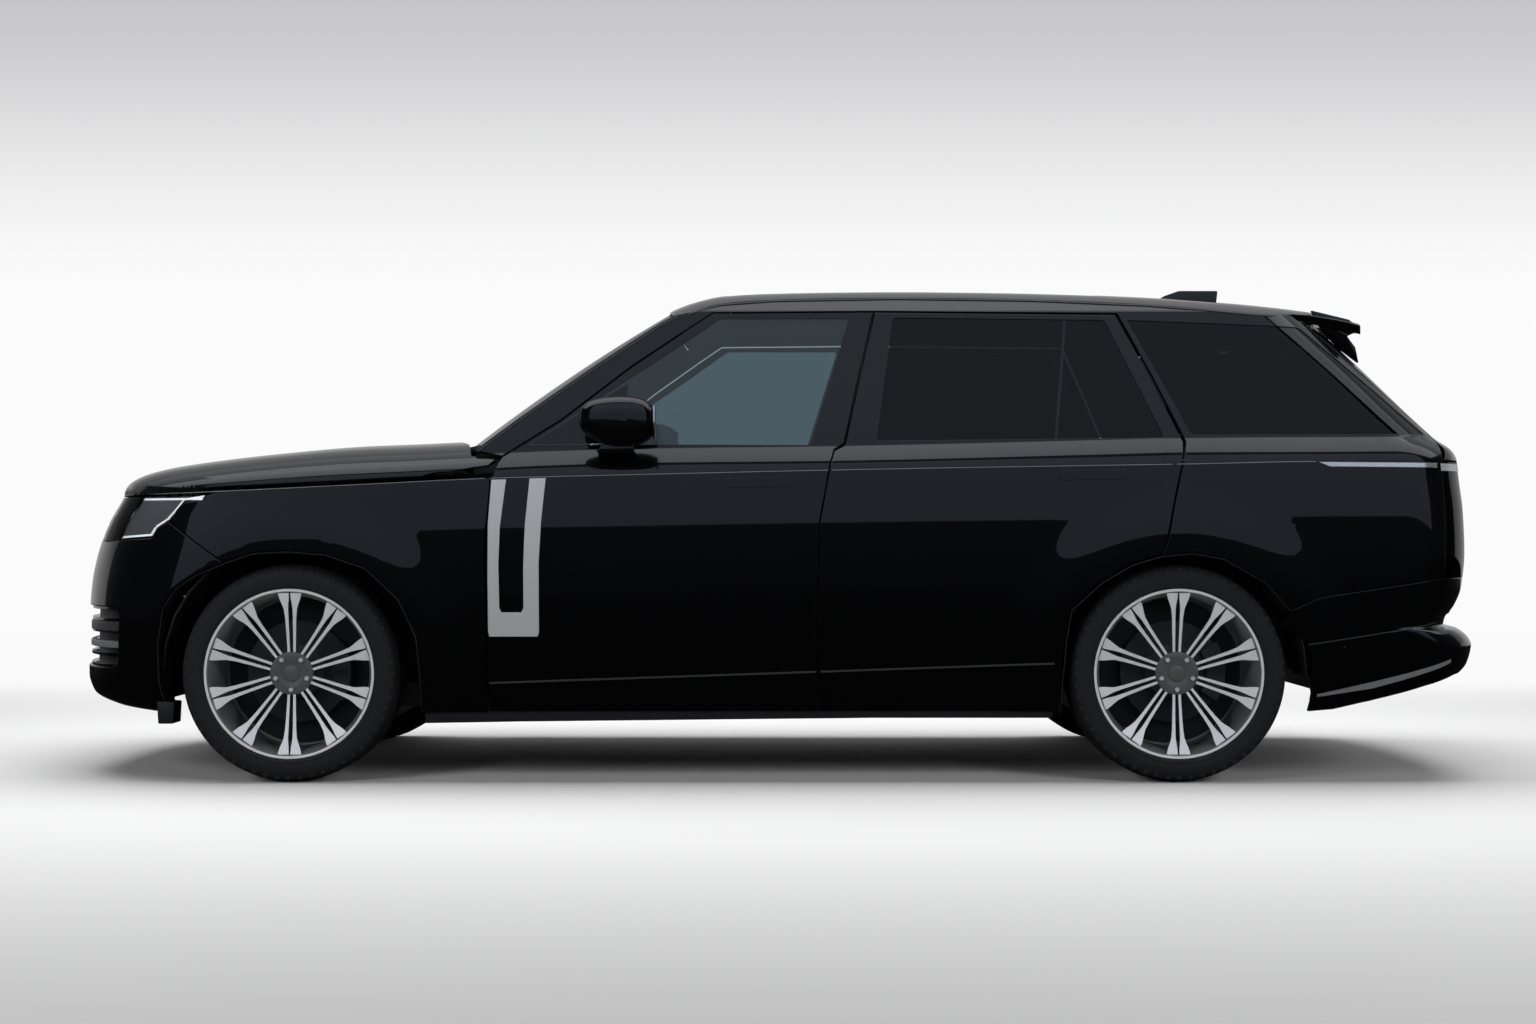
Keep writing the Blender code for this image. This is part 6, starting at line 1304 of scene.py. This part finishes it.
grille_half = NOSE.at_width(GRILLE_HALF, GRILLE_BOTTOM)
nose_frame("grille_bars", grille_half, GRILLE_BOTTOM, GRILLE_TOP, 5, 0.014, 0.001, SATIN, "black_trim",
           "grille")
nose_frame("lower_grille_bars", intake_reach, INTAKE_BOTTOM, INTAKE_TOP, 4, 0.012, 0.010, GLOSS_BLACK,
           "black_trim", "lower_grille")
for name, half, low, high in (("grille_net", grille_half - 0.01, GRILLE_BOTTOM + 0.01, GRILLE_TOP - 0.01),
                              ("intake_net", intake_reach - 0.01, INTAKE_BOTTOM + 0.01, INTAKE_TOP - 0.01)):
    ring = [(-half, low), (half, low), (half, high), (-half, high)]
    settle(emit(name, panel(ring, NOSE.skin, 0.036, 0.040, pitch=(0.06, 0.2), roll=0), BLACK_TRIM), "body",
           "black_trim")
for name, z, tall, out, look in (("intake_bar_upper", 0.556, 0.036, 0.006, DARK_ALLOY),
                                 ("intake_bar_lower", 0.490, 0.026, 0.006, BARREL_ALLOY)):
    half = intake_reach - 0.014
    ring = rounded([(-half, z - tall / 2), (half, z - tall / 2), (half, z + tall / 2),
                    (-half, z + tall / 2)], 0.012)
    settle(emit(name, panel(ring, NOSE.skin, out, out + 0.02, pitch=(0.05, 0.2), roll=0.006), look), "body",
           "alloy")

tail_ring = [tail_place(place_x(0.9570), LAMP_BOTTOM), tail_place(place_x(0.9570), LAMP_TOP),
             tail_at(LAMP_INNER_TAIL_Y, LAMP_TOP), tail_at(LAMP_INNER_TAIL_Y, LAMP_BOTTOM)]
tail_ring = inset([(-a, b) for a, b in tail_ring], 0.0015)


def tail_part(ring, outer, inner, roll=0.0, hole=None):
    return panel(ring, TAIL.skin, outer, inner, holes=[hole] if hole else [], pitch=(0.04, 0.05), roll=roll)


us, vs = [p[0] for p in tail_ring], [p[1] for p in tail_ring]
u_low, u_high, v_low, v_high = min(us), max(us), min(vs), max(vs)
nose_pair("tail_lamp_{}_cover", tail_part(tail_ring, 0.0003, 0.003), RED_LENS, "red_glass", "tail_lamp_{}")
nose_pair("tail_lamp_{}_bowl", tail_part(inset(tail_ring, 0.001), 0.040, 0.085), LAMP_DARK, "black_trim")
nose_pair("tail_lamp_{}_wall",
          tail_part(inset(tail_ring, 0.001), 0.004, 0.040, hole=inset(tail_ring, 0.005)), LAMP_DARK,
          "black_trim")
for k, (low, high) in enumerate(((0.10, 0.26), (0.44, 0.58), (0.76, 0.88))):
    a, b = u_low + (u_high - u_low) * low, u_low + (u_high - u_low) * high
    ring = rounded([(a, v_low + 0.03), (b, v_low + 0.03), (b, v_high - 0.045), (a, v_high - 0.045)], 0.008)
    nose_pair("tail_guide_" + str(k) + "_{}", tail_part(ring, 0.012, 0.036, 0.004), RED_GUIDE, "red_glass")
band = [(u_low + 0.004, v_high - 0.032), (u_high - 0.004, v_high - 0.032), (u_high - 0.004, v_high - 0.006),
        (u_low + 0.004, v_high - 0.006)]
nose_pair("tail_band_{}", tail_part(band, -0.0005, 0.0002), SATIN, "alloy")

# %% [markdown]
# ## Trim on the sides
# The satin U-shaped blade on the front door, the bright strip on the rear quarter, the flush
# handles, window dividers and the slim grey line along the lower doors, a painted highlight of the
# lower crease, are laid on the same skin as the doors, a few millimetres proud. They ride with the panel that
# they sit on.

# %% Side trim
BLADE = [(-1.0166, 1.0885), (-1.0285, 0.930), (-1.0290, 0.737), (-1.0270, 0.5450), (-1.0230, 0.5275),
         (-0.8500, 0.5275),
         (-0.8450, 0.5420), (-0.8461, 0.7893), (-0.8379, 0.9365), (-0.8221, 1.0950),
         (-0.8798, 1.0930), (-0.8959, 0.9268), (-0.9010, 0.7893), (-0.9005, 0.6300), (-0.9080, 0.6140),
         (-0.9790, 0.6140), (-0.9868, 0.6300), (-0.9901, 0.7893), (-0.9855, 0.9161), (-0.9640, 1.0900)]


def laid(ring, proud, sink=0.002, roll=0.001, pitch=(0.06, 0.05)):
    return panel(to_level(ring), level_skin, -proud, sink, rows=CREASE_ROWS, roll=roll, pitch=pitch)


def bar(x_low, x_high, z_low, z_high, radius):
    return rounded([(x_low, z_low[0]), (x_high, z_low[1]), (x_high, z_high[1]), (x_low, z_high[0])], radius,
                   6)


pair("side_blade_{}", laid(BLADE, 0.0045, roll=0.0018), SATIN, "door_front_{}", "alloy")
STRIP = [(1.950, 1.1530), (2.385, 1.1500), (2.385, 1.1335), (1.990, 1.1370)]
pair("quarter_strip_{}", laid(STRIP, 0.0022, roll=0.0008), BRIGHT, "body", "alloy")
for name, low, high, z_low, z_high, body in (("front", -0.1788, 0.0605, 1.0604, 1.0963, "door_front_{}"),
                                             ("rear", 1.0168, 1.2600, 1.0866, 1.1206, "door_rear_{}")):
    rise = 0.004
    pair("handle_gap_" + name + "_{}",
         laid(bar(low - 0.0034, high + 0.0034, (z_low - 0.0034, z_low + rise - 0.0034),
                                             (z_high + 0.0034, z_high + rise + 0.0034), 0.016), 0.0006,
                                             roll=0), BLACK_TRIM, body, "black_trim")
    pair("handle_" + name + "_{}",
         laid(bar(low, high, (z_low, z_low + rise), (z_high, z_high + rise), 0.013), 0.0026, roll=0.0015),
         PAINT, body, "paint")
REAR_DIVIDER = [(1.0080, 1.2380), (1.0200, 1.2380), (1.0680, 1.6750), (1.0570, 1.6750)]
pair("rear_divider_{}", laid(REAR_DIVIDER, -0.0015, 0.0032, roll=0.0008), GLOSS_BLACK, "door_rear_{}",
     "black_trim")
SAIL = [(-0.884, 1.2205), (-0.553, 1.2225), (-0.534, 1.4420)]
pair("mirror_sail_{}", laid(SAIL, -0.0012, 0.0032, roll=0.0008), GLOSS_BLACK, "door_front_{}", "black_trim")
# The slim grey strips on the lower doors ride on the lower crease; their metal finish paints the crease's
# highlight line.
crease_at = [line_z(LOWER_CREASE_SHARES, x) for x in (-1.027, 0.150, 0.162, 0.900)]
for name, low, high, a, b, body in (("front", -1.024, 0.148, crease_at[0], crease_at[1], "door_front_{}"),
                                    ("rear", 0.163, 1.000, crease_at[2], crease_at[3] + 0.004,
                                     "door_rear_{}")):
    ring = [(low, a - 0.0035), (high, b - 0.0035), (high, b + 0.0035), (low, a + 0.0035)]
    pair("lower_crease_highlight_" + name + "_{}", laid(ring, 0.0022, roll=0.001), DARK_ALLOY, body, "alloy")


def squared(value, power):
    return math.copysign(abs(value) ** power, value)


def mirror_head(name):
    """A rounded shell: a squared sphere, blunter to the rear where the glass is."""
    work = bmesh.new()
    middle, half, rings, turns = Vector((-0.5625, -1.030, 1.297)), Vector((0.1365, 0.0745, 0.0895)), 24, 40
    grid_rows = []
    for i in range(1, rings):
        across = math.pi * i / rings
        line = []
        for k in range(turns):
            turn = 2 * math.pi * k / turns
            y = squared(math.cos(across), 0.72)
            spread = squared(math.sin(across), 0.60)
            x = spread * squared(math.cos(turn), 0.66)
            z = spread * squared(math.sin(turn), 0.66)
            front = max(-x, 0)
            line.append(work.verts.new(middle + Vector((half.x * x, half.y * y * (1 - 0.25 * front),
                                                        half.z * z * (1 - 0.22 * front)
                                                        + 0.010 * front))))
        grid_rows.append(line)
    loft(work, grid_rows)
    return from_work(name, work, GLOSS_BLACK, 60)


both(mirror_head, "mirror_{}_shell", "door_front_{}", "paint", "mirror_{}")
both(lambda name: block(name, (-0.4335, -1.082, 1.232), (-0.4262, -0.984, 1.350), CHROME, 0.003),
     "mirror_{}_glass",
     "door_front_{}", "alloy")
MIRROR_FOOT = ((-0.640, 1.186), (-0.500, 1.186), (-0.515, 1.222), (-0.610, 1.222))
swept_pair("mirror_{}_foot", MIRROR_FOOT, -1.040, -0.930, GLOSS_BLACK, 0.006, "door_front_{}", "black_trim")

# Aerial fin
fin = swept("aerial_fin", ((1.480, 1.797), (1.560, 1.848), (1.620, 1.869), (1.776, 1.869), (1.766, 1.775)),
            -0.020, 0.020, GLOSS_BLACK, 0.006)
settle(fin, "body", "paint")

# A thin grey metal strip along the waist crease of every panel, a painted highlight of the crease, and the
# moulding over the side windows
for name, low, high, body in (("fender", -2.26, -1.040, "body"), ("front", -1.022, 0.190, "door_front_{}"),
                              ("rear", 0.204, 1.425, "door_rear_{}"), ("quarter", 1.440, 1.940, "body")):
    line = [(x, line_z(WAIST_SHARES, x)) for x in (low + (high - low) * k / 12 for k in range(13))]
    ring = [(x, z - 0.0012) for x, z in line] + [(x, z + 0.0012) for x, z in line[::-1]]
    pair("waist_highlight_strip_" + name + "_{}", laid(ring, 0.0009, roll=0, pitch=(0.2, 0.05)), BARREL_ALLOY, body,
         "alloy")


# The roof moulding is a drip moulding whose grey metal finish paints a highlight line along the top of the side
# windows.
def roof_moulding(name):
    line = []
    for u in (0.4400, *RAIL_STATIONS):
        x = place_x(u)
        z = rail_height(x) - 0.006
        line.append((x, -half_width(x, z) - 0.0010, z))
    return tube(name, line, 0.0034, DARK_ALLOY)


# A thin grey metal tube along each windscreen edge, a painted highlight line of that edge.
def pillar_moulding(name):
    line = []
    for x, z in dense(SCREEN_EDGE, 0.08):
        low = (x + 0.010, z - 0.006)
        line.append((low[0], -half_width(*low) - 0.0006, low[1]))
    return tube(name, line, 0.0026, DARK_ALLOY)


both(roof_moulding, "roof_moulding_{}", "body", "black_trim")
both(pillar_moulding, "pillar_moulding_{}", "body", "black_trim")

# %% [markdown]
# ## Lower trims and arch linings
# Black plastic closes what the paint doesn't: a band inside each arch, the strip under the sills,
# the deflectors ahead of the front wheels and the winglets under the roof spoiler.

# %% Lower trims


def arch_band(name, outline, axle_x, shift=0.006, wall=0.004, inner=0.76):
    """A band that lines an arch opening, from just inside the paint to the liner."""
    work = bmesh.new()
    rows = []
    for x, z in dense(outline, 0.03):
        away = Vector((x - axle_x, z - TYRE_RADIUS))
        near = away.normalized() * (away.length - shift)
        far = away.normalized() * (away.length - shift + wall)
        edge = half_width(x, z) - 0.010
        row = []
        for offset, y in ((near, edge), (far, edge), (far, inner), (near, inner)):
            row.append(work.verts.new((axle_x + offset.x, -y, TYRE_RADIUS + offset.y)))
        rows.append(row)
    loft(work, rows)
    return from_work(name, work, BLACK_TRIM)


both(lambda name: arch_band(name, FRONT_ARCH_BACK + FRONT_ARCH_FRONT, FRONT_AXLE_X), "arch_band_front_{}",
     "body", "black_trim")
both(lambda name: arch_band(name, REAR_ARCH_FRONT + REAR_ARCH_BACK + bumper_arch[1:], REAR_AXLE_X),
     "arch_band_rear_{}",
     "body", "black_trim")
SILL_STRIP = ((-1.262, 0.2120), (-0.900, 0.2180), (0.350, 0.2310), (1.000, 0.2310), (1.012, 0.3000),
              (-1.262, 0.3000))
swept_pair("sill_strip_{}", SILL_STRIP, -0.938, -0.872, BLACK_TRIM, 0.004, "body", "black_trim")
# The steered tyre swings past the deflectors up to 0.79 m from the middle plane
DEFLECTOR = ((-2.232, 0.2080), (-2.178, 0.2080), (-2.174, 0.285), (-2.236, 0.290))
swept_pair("air_deflector_{}", DEFLECTOR, -0.915, -0.800, BLACK_TRIM, 0.003, "body", "black_trim")
WINGLET = ((2.000, 1.728), (2.140, 1.694), (2.183, 1.655), (2.133, 1.632), (2.164, 1.590), (2.176, 1.532),
           (2.100, 1.590),
           (2.040, 1.655))
swept_pair("spoiler_winglet_{}", WINGLET, -0.664, -0.634, GLOSS_BLACK, 0.004, "tailgate_upper", "paint")


def tail_strip(pairs, outer, inner, roll=0.0008):
    return panel([tail_along(x, z) for x, z in pairs], BUMPER_TAIL.skin, outer, inner, pitch=(0.05, 0.04),
                 roll=roll)


def tail_along(x, z):
    return (-BUMPER_TAIL.along(x, z), z)


bumper_low = [(1.950, 0.318), (2.150, 0.362), (2.330, 0.409), (2.440, 0.443), (2.440, 0.430), (2.330, 0.390),
              (2.150, 0.338), (1.950, 0.308)]
pair("bumper_glint_{}", tail_strip(bumper_low, -0.0015, 0.001), BARREL_ALLOY, "body", "alloy")
# The thin grey strip along the rear bumper's crease is a painted highlight of that crease.
crease = [(1.912, 0.500), (2.180, 0.541), (2.400, 0.577), (2.400, 0.5735), (2.180, 0.5375), (1.912, 0.4965)]
pair("bumper_crease_{}", tail_strip(crease, -0.0010, 0.001, 0), DARK_ALLOY, "body", "alloy")
SENSOR = ((2.0375, 0.4835), (2.0475, 0.4835), (2.0475, 0.4935), (2.0375, 0.4935))
sensor_y = -half_width(2.0425, 0.4885)
swept_pair("rear_sensor_{}", SENSOR, sensor_y - 0.0004, sensor_y + 0.006, LAMP_DARK, 0.003, "body",
           "black_trim")
print("trim done")

# %% [markdown]
# ## Cabin
# Seats are padded leather over a hard base. Each cushion starts as an eased block, is puffed up as
# cloth under pressure so that it crowns between its seams, and then gets its sewn channels pressed
# in. The headlining and the frame trims are pale, because they show through the front glass.

# %% Seats
PUFF_FRAMES, PUFF_PRESSURE, SEAM_REACH, SEAM_SINK, PAD_FILL = 14, 4, 0.014, 0.006, 0.75


def puffed(name, low, high, lean, look, channels=(), cap=0.014, voxel=0.010):
    """An eased block puffed up by cloth pressure. channels are heights or depths of sewn lines."""
    work = bmesh.new()
    size = [b - a for a, b in zip(low, high)]
    middle = [(a + b) / 2 for a, b in zip(low, high)]
    bmesh.ops.create_cube(work, size=1, matrix=Matrix.Translation(middle) @ Matrix.Diagonal((*size, 1)))
    bmesh.ops.bevel(work, geom=work.edges[:], offset=min(size) * 0.30, segments=5, profile=0.5,
                    affect="EDGES")
    for vert in work.verts:
        vert.co.x += lean * (vert.co.z - low[2])
    item = from_work(name, work, look, 60)
    remesh = item.modifiers.new("even_mesh", "REMESH")
    remesh.mode = "VOXEL"
    remesh.voxel_size = voxel
    mesh = as_mesh(item)
    item.modifiers.remove(remesh)
    item.data = mesh
    start = [v.co.copy() for v in mesh.vertices]
    cloth = item.modifiers.new("puff", "CLOTH")
    cloth.settings.use_pressure = True
    cloth.settings.uniform_pressure_force = PUFF_PRESSURE
    cloth.settings.effector_weights.gravity = 0
    cloth.settings.quality = 4
    cloth.point_cache.frame_end = PUFF_FRAMES
    for frame_number in range(1, PUFF_FRAMES + 1):
        bpy.context.scene.frame_set(frame_number)
    puffed_mesh = item.evaluated_get(bpy.context.evaluated_depsgraph_get()).data
    for vert, before, after in zip(mesh.vertices, start, puffed_mesh.vertices):
        move = after.co - before
        vert.co = before + move * min(1, cap / max(move.length, 0.00001))
    item.modifiers.remove(cloth)
    bpy.context.scene.frame_set(1)
    mesh.update()
    for vert, normal in zip(mesh.vertices, [v.normal.copy() for v in mesh.vertices]):
        along = start[vert.index]
        for axis, place_at in channels:
            near = abs(along[axis] - (lean * (along.z - low[2]) if axis == 0 else 0) - place_at)
            if near < SEAM_REACH:
                vert.co -= normal * SEAM_SINK * (1 - near / SEAM_REACH)
    mesh.materials.clear()
    mesh.materials.append(look)
    mesh.shade_smooth()
    return item


def seat_group(label, body_nodes, pieces):
    """Build the left pieces, mirror them and settle all; the first of each side stands for the CAD node."""
    for part_name, data in pieces:
        item = puffed(label + "_" + part_name + "_left", **data)
        twin = mirror_object(item, label + "_" + part_name + "_right")
        for made, side in ((item, "left"), (twin, "right")):
            settle(made, "body", "leather",
                   body_nodes.format(side) if body_nodes and part_name == "cushion" else ())


seat_lines = ((1, -0.255), (1, -0.535))
seat_group("front_seat", "seat_front_{}", (
    ("cushion", dict(low=(-0.360, -0.640, 0.415), high=(0.185, -0.150, 0.550), lean=0, look=HIDE,
                     channels=seat_lines + ((0, -0.14), (0, 0.02)))),
    ("back", dict(low=(0.085, -0.635, 0.560), high=(0.205, -0.155, 1.240), lean=0.30, look=HIDE,
                  channels=seat_lines + ((2, 0.74), (2, 0.90), (2, 1.06)))),
    ("headrest", dict(low=(0.350, -0.520, 1.270), high=(0.440, -0.270, 1.430), lean=0.20, look=HIDE,
                      cap=0.008))))
seat_group("rear_seat", None, (
    ("side_cushion", dict(low=(0.915, -0.590, 0.560), high=(1.420, -0.205, 0.745), lean=0, look=HIDE,
                          channels=((1, -0.30), (1, -0.50), (0, 1.08)))),
    ("side_back", dict(low=(1.420, -0.590, 0.760), high=(1.540, -0.205, 1.290), lean=0.32, look=HIDE,
                       channels=((1, -0.30), (1, -0.50), (2, 0.95), (2, 1.12)))),
    ("headrest", dict(low=(1.630, -0.505, 1.315), high=(1.715, -0.275, 1.460), lean=0.20, look=HIDE,
                      cap=0.008))))
for part_name, low, high, lean in (("cushion", (0.915, -0.195, 0.560), (1.420, 0.195, 0.740), 0),
                                   ("back", (1.420, -0.195, 0.760), (1.540, 0.195, 1.290), 0.32)):
    item = puffed("rear_seat_middle_" + part_name, low, high, lean, HIDE, ((1, -0.10), (1, 0.10)))
    settle(item, "body", "leather", "rear_bench" if part_name == "cushion" else ())
for label, x_low, x_high, z_low, z_high, y_low, y_high in (("front_left", -0.375, 0.230, 0.3226, 0.420,
                                                            -0.645, -0.145),
                                                           ("front_right", -0.375, 0.230, 0.3226, 0.420,
                                                            0.145, 0.645),
                                                           ("rear", 0.902, 1.500, 0.4806, 0.570, -0.598,
                                                            0.598)):
    settle(block("seat_base_" + label, (x_low, y_low, z_low), (x_high, y_high, z_high), SOFT, 0.012), "body",
           "soft_trim")
for x, z, y in ((0.412, 1.235, 0.345), (0.412, 1.235, 0.445), (1.690, 1.285, 0.345), (1.690, 1.285, 0.435)):
    both(lambda name, x=x, y=y,
         z=z: tube(name, [(x - 0.016, -y, z - 0.03), (x - 0.004, -y, z + 0.06)], 0.006, CHROME),
         "headrest_post_" + str(int(x * 100)) + "_" + str(int(y * 1000)) + "_{}", "body", "steel")
lining_ring = [(x + 0.02 if x < -0.3 else x, y * 0.93) for x, y in roof_ring]
lining = panel(inset(lining_ring, 0.01), roof_skin, 0.030, 0.034, holes=[rounded(sunroof, ROOF_CORNER)],
               pitch=(0.12, 0.08), roll=0)
settle(emit("headlining", lining, HEADLINING), "body", "soft_trim")

# Better finishes for the frame parts that keep their CAD form
for names, look in ((("bulkhead", "floor_pan", "liner_front_left", "liner_front_right", "liner_rear_left",
                      "liner_rear_right"), BLACK_TRIM),
                    (("centre_console", "dashboard"), SOFT),
                    (("inner_frame_left", "inner_frame_right"), FRAME_TRIM),
                    (("engine_block", "front_subframe", "rear_axle", "knuckle_front_left",
                      "knuckle_front_right"), CAST),
                    (("exhaust",), STEEL), (("steering_wheel",), HIDE)):
    for node in names:
        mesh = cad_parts[node].data
        mesh.materials.clear()
        mesh.materials.append(look)
print("cabin done")

# %% [markdown]
# ## Studio
# A pale floor runs into a pale backdrop, which is clear from behind so that a turned view from
# further out still shows the vehicle. Daylight-sized soft boxes hang over it, and the dark side of
# the room behind the camera is what the black paint reflects, with a dim band above it that draws
# the long line along the doors.


# %% Studio
def sheet_object(name, corners, look):
    mesh = bpy.data.meshes.new(name)
    mesh.from_pydata(corners, [], [(0, 1, 2, 3)])
    mesh.materials.append(look)
    made = placed(name, mesh)
    return made


def smooth_ramp(tree, low, high, ends=()):
    """A ramp that eases from one value to the other between two places."""
    return add_node(tree, "MapRange", (("From Min", low), ("From Max", high), *ends),
                    interpolation_type="SMOOTHSTEP")


def glowing(name, low_colour, high_colour, low_z, high_z, strength=1.0, mirrored=1.0, one_sided=False):
    """A glow that changes with height; mirrored is its share in reflections, one_sided clears its back."""
    made, tree = new_material(name)
    tree.nodes.remove(tree.nodes["Principled BSDF"])
    shine = add_node(tree, "Emission")
    ray = add_node(tree, "LightPath")
    softer = add_node(tree, "MapRange", (("To Min", strength), ("To Max", strength * mirrored)))
    where = add_node(tree, "TexCoord")
    split = add_node(tree, "SeparateXYZ")
    rise = smooth_ramp(tree, low_z, high_z)
    mix = add_node(tree, "Mix", data_type="RGBA")
    mix.inputs["A"].default_value = (*low_colour, 1)
    mix.inputs["B"].default_value = (*high_colour, 1)
    out = tree.nodes["Material Output"]
    wire(tree, (ray, "Is Glossy Ray", softer, "Value"), (softer, "Result", shine, "Strength"),
         (where, "Object", split, "Vector"), (split, "Z", rise, "Value"), (rise, "Result", mix, "Factor"),
         (mix, "Result", shine, "Color"), (shine, "Emission", out, "Surface"))
    if one_sided:
        side = add_node(tree, "NewGeometry")
        clear = add_node(tree, "BsdfTransparent")
        face = add_node(tree, "MixShader")
        wire(tree, (side, "Backfacing", face, "Fac"), (shine, "Emission", face, 1), (clear, "BSDF", face, 2),
             (face, "Shader", out, "Surface"))
    return made


def floor_finish():
    """Pale matt floor for the camera, painted darker towards the camera as painted shade, and a dark one for
    reflections, fading into the backdrop.
    """
    made, tree = new_material("studio_floor")
    shader = tree.nodes["Principled BSDF"]
    shader.inputs["Roughness"].default_value = 0.9
    shader.inputs["Specular IOR Level"].default_value = 0.0
    where = add_node(tree, "TexCoord")
    split = add_node(tree, "SeparateXYZ")
    # Painted shade: the floor's own colour falls from 0.71 to 0.50 towards the camera, standing in for the
    # light thinning out there.
    near = smooth_ramp(tree, -5.8, -1.8, (("To Min", 0.50), ("To Max", 0.71)))
    far = smooth_ramp(tree, 1.2, 5.0)
    span = add_node(tree, "VectorMath", operation="LENGTH")
    edge = smooth_ramp(tree, 6.5, 12.0)
    either = add_node(tree, "Math", operation="MAXIMUM")
    emitted_glow = add_node(tree, "Emission", (("Color", (0.955, 0.955, 0.960, 1)), ("Strength", 1.0)))
    blend = add_node(tree, "MixShader")
    dark = add_node(tree, "Emission", (("Color", (0.005, 0.005, 0.006, 1)),))
    ray = add_node(tree, "LightPath")
    seen = add_node(tree, "MixShader")
    wire(tree, (where, "Object", split, "Vector"), (split, "Y", near, "Value"),
         (near, "Result", shader, "Base Color"), (split, "Y", far, "Value"), (where, "Object", span, 0),
         (span, "Value", edge, "Value"), (far, "Result", either, 0), (edge, "Result", either, 1),
         (either, "Value", blend, "Fac"), (shader, "BSDF", blend, 1), (emitted_glow, "Emission", blend, 2),
         (ray, "Is Glossy Ray", seen, "Fac"), (blend, "Shader", seen, 1), (dark, "Emission", seen, 2),
         (seen, "Shader", tree.nodes["Material Output"], "Surface"))
    return made


sheet_object("floor", [(-30, -14, 0), (30, -14, 0), (30, 12, 0), (-30, 12, 0)], floor_finish())
sheet_object("backdrop", [(-30, 12, 0), (30, 12, 0), (30, 12, 12), (-30, 12, 12)],
             glowing("backdrop_light", (0.965, 0.965, 0.968), (0.545, 0.545, 0.560), 3.0, 6.2, 1.0, 0.45,
                     True))
mirrored_room = [
    sheet_object("dim_room_side",
                 [(-16, -13.5, 2.0), (16, -13.5, 2.0), (16, -13.5, 22.0), (-16, -13.5, 22.0)],
                 glowing("dim_wall", (0.14, 0.16, 0.20), (0.21, 0.235, 0.285), 2.0, 10.0, 2.1)),
    sheet_object("bright_ceiling", [(-14, -4.5, 9.0), (14, -4.5, 9.0), (14, 1.2, 9.0), (-14, 1.2, 9.0)],
                 glowing("ceiling_light", (0.90, 0.93, 1.0), (0.90, 0.93, 1.0), 8.0, 10.0, 1.6)),
    sheet_object("soft_ceiling", [(-14, 1.2, 9.0), (14, 1.2, 9.0), (14, 9.0, 9.0), (-14, 9.0, 9.0)],
                 glowing("soft_ceiling_light", (0.45, 0.465, 0.50), (0.45, 0.465, 0.50), 8.0, 10.0, 0.9))]
for sheet in mirrored_room:
    sheet.visible_camera = sheet.visible_diffuse = sheet.visible_shadow = sheet.visible_transmission = False


def soft_box(name, where, aim, size, power, reflected):
    light = bpy.data.lights.new(name, "AREA")
    light.shape = "RECTANGLE"
    light.size, light.size_y = size
    light.energy = power
    made = placed(name, light)
    made.location = where
    made.rotation_euler = (Vector(aim) - Vector(where)).to_track_quat("-Z", "Y").to_euler()
    made.visible_glossy = reflected


soft_box("overhead", (0, 0.6, 5.6), (0, 0, 0), (9, 5), 620, False)
soft_box("overhead_glow", (0, 1.2, 6.5), (0, 0, 0), (10, 1.6), 40, True)
soft_box("front_left", (-5.5, -7.5, 3.6), (-0.6, 0, 0.6), (3, 3), 260, False)
soft_box("rear_left", (5.5, -7.5, 3.6), (0.8, 0, 0.6), (3, 3), 260, False)
world = bpy.data.worlds.new("room")
bpy.context.scene.world = world
world.use_nodes = True
tree = world.node_tree
dim = tree.nodes["Background"]
dim.inputs["Color"].default_value = (0.020, 0.021, 0.024, 1)
pale = add_node(tree, "Background", (("Color", (0.90, 0.90, 0.91, 1)),))
ray = add_node(tree, "LightPath")
pick = add_node(tree, "MixShader")
wire(tree, (ray, "Is Camera Ray", pick, "Fac"), (dim, "Background", pick, 1), (pale, "Background", pick, 2),
     (pick, "Shader", tree.nodes["World Output"], "Surface"))

# Camera: the photo's place, level, looking square at the left side
CAMERA_X, CAMERA_DISTANCE, CAMERA_HEIGHT = -0.0254, 9.27, 0.891
lens_px, picture_width, picture_middle_y, eye_line_y = 2310, 1536, 512, 535
camera = bpy.data.cameras.new("camera")
camera.sensor_width = 36
camera.lens = lens_px * camera.sensor_width / picture_width
camera.shift_y = (eye_line_y - picture_middle_y) / picture_width
view = placed("camera", camera)
view.location = (CAMERA_X, -CAMERA_DISTANCE, CAMERA_HEIGHT)
view.rotation_euler = (math.pi / 2, 0, 0)
bpy.context.scene.camera = view
bpy.context.scene.view_settings.view_transform = "Standard"
bpy.context.scene.render.image_settings.file_format = "PNG"
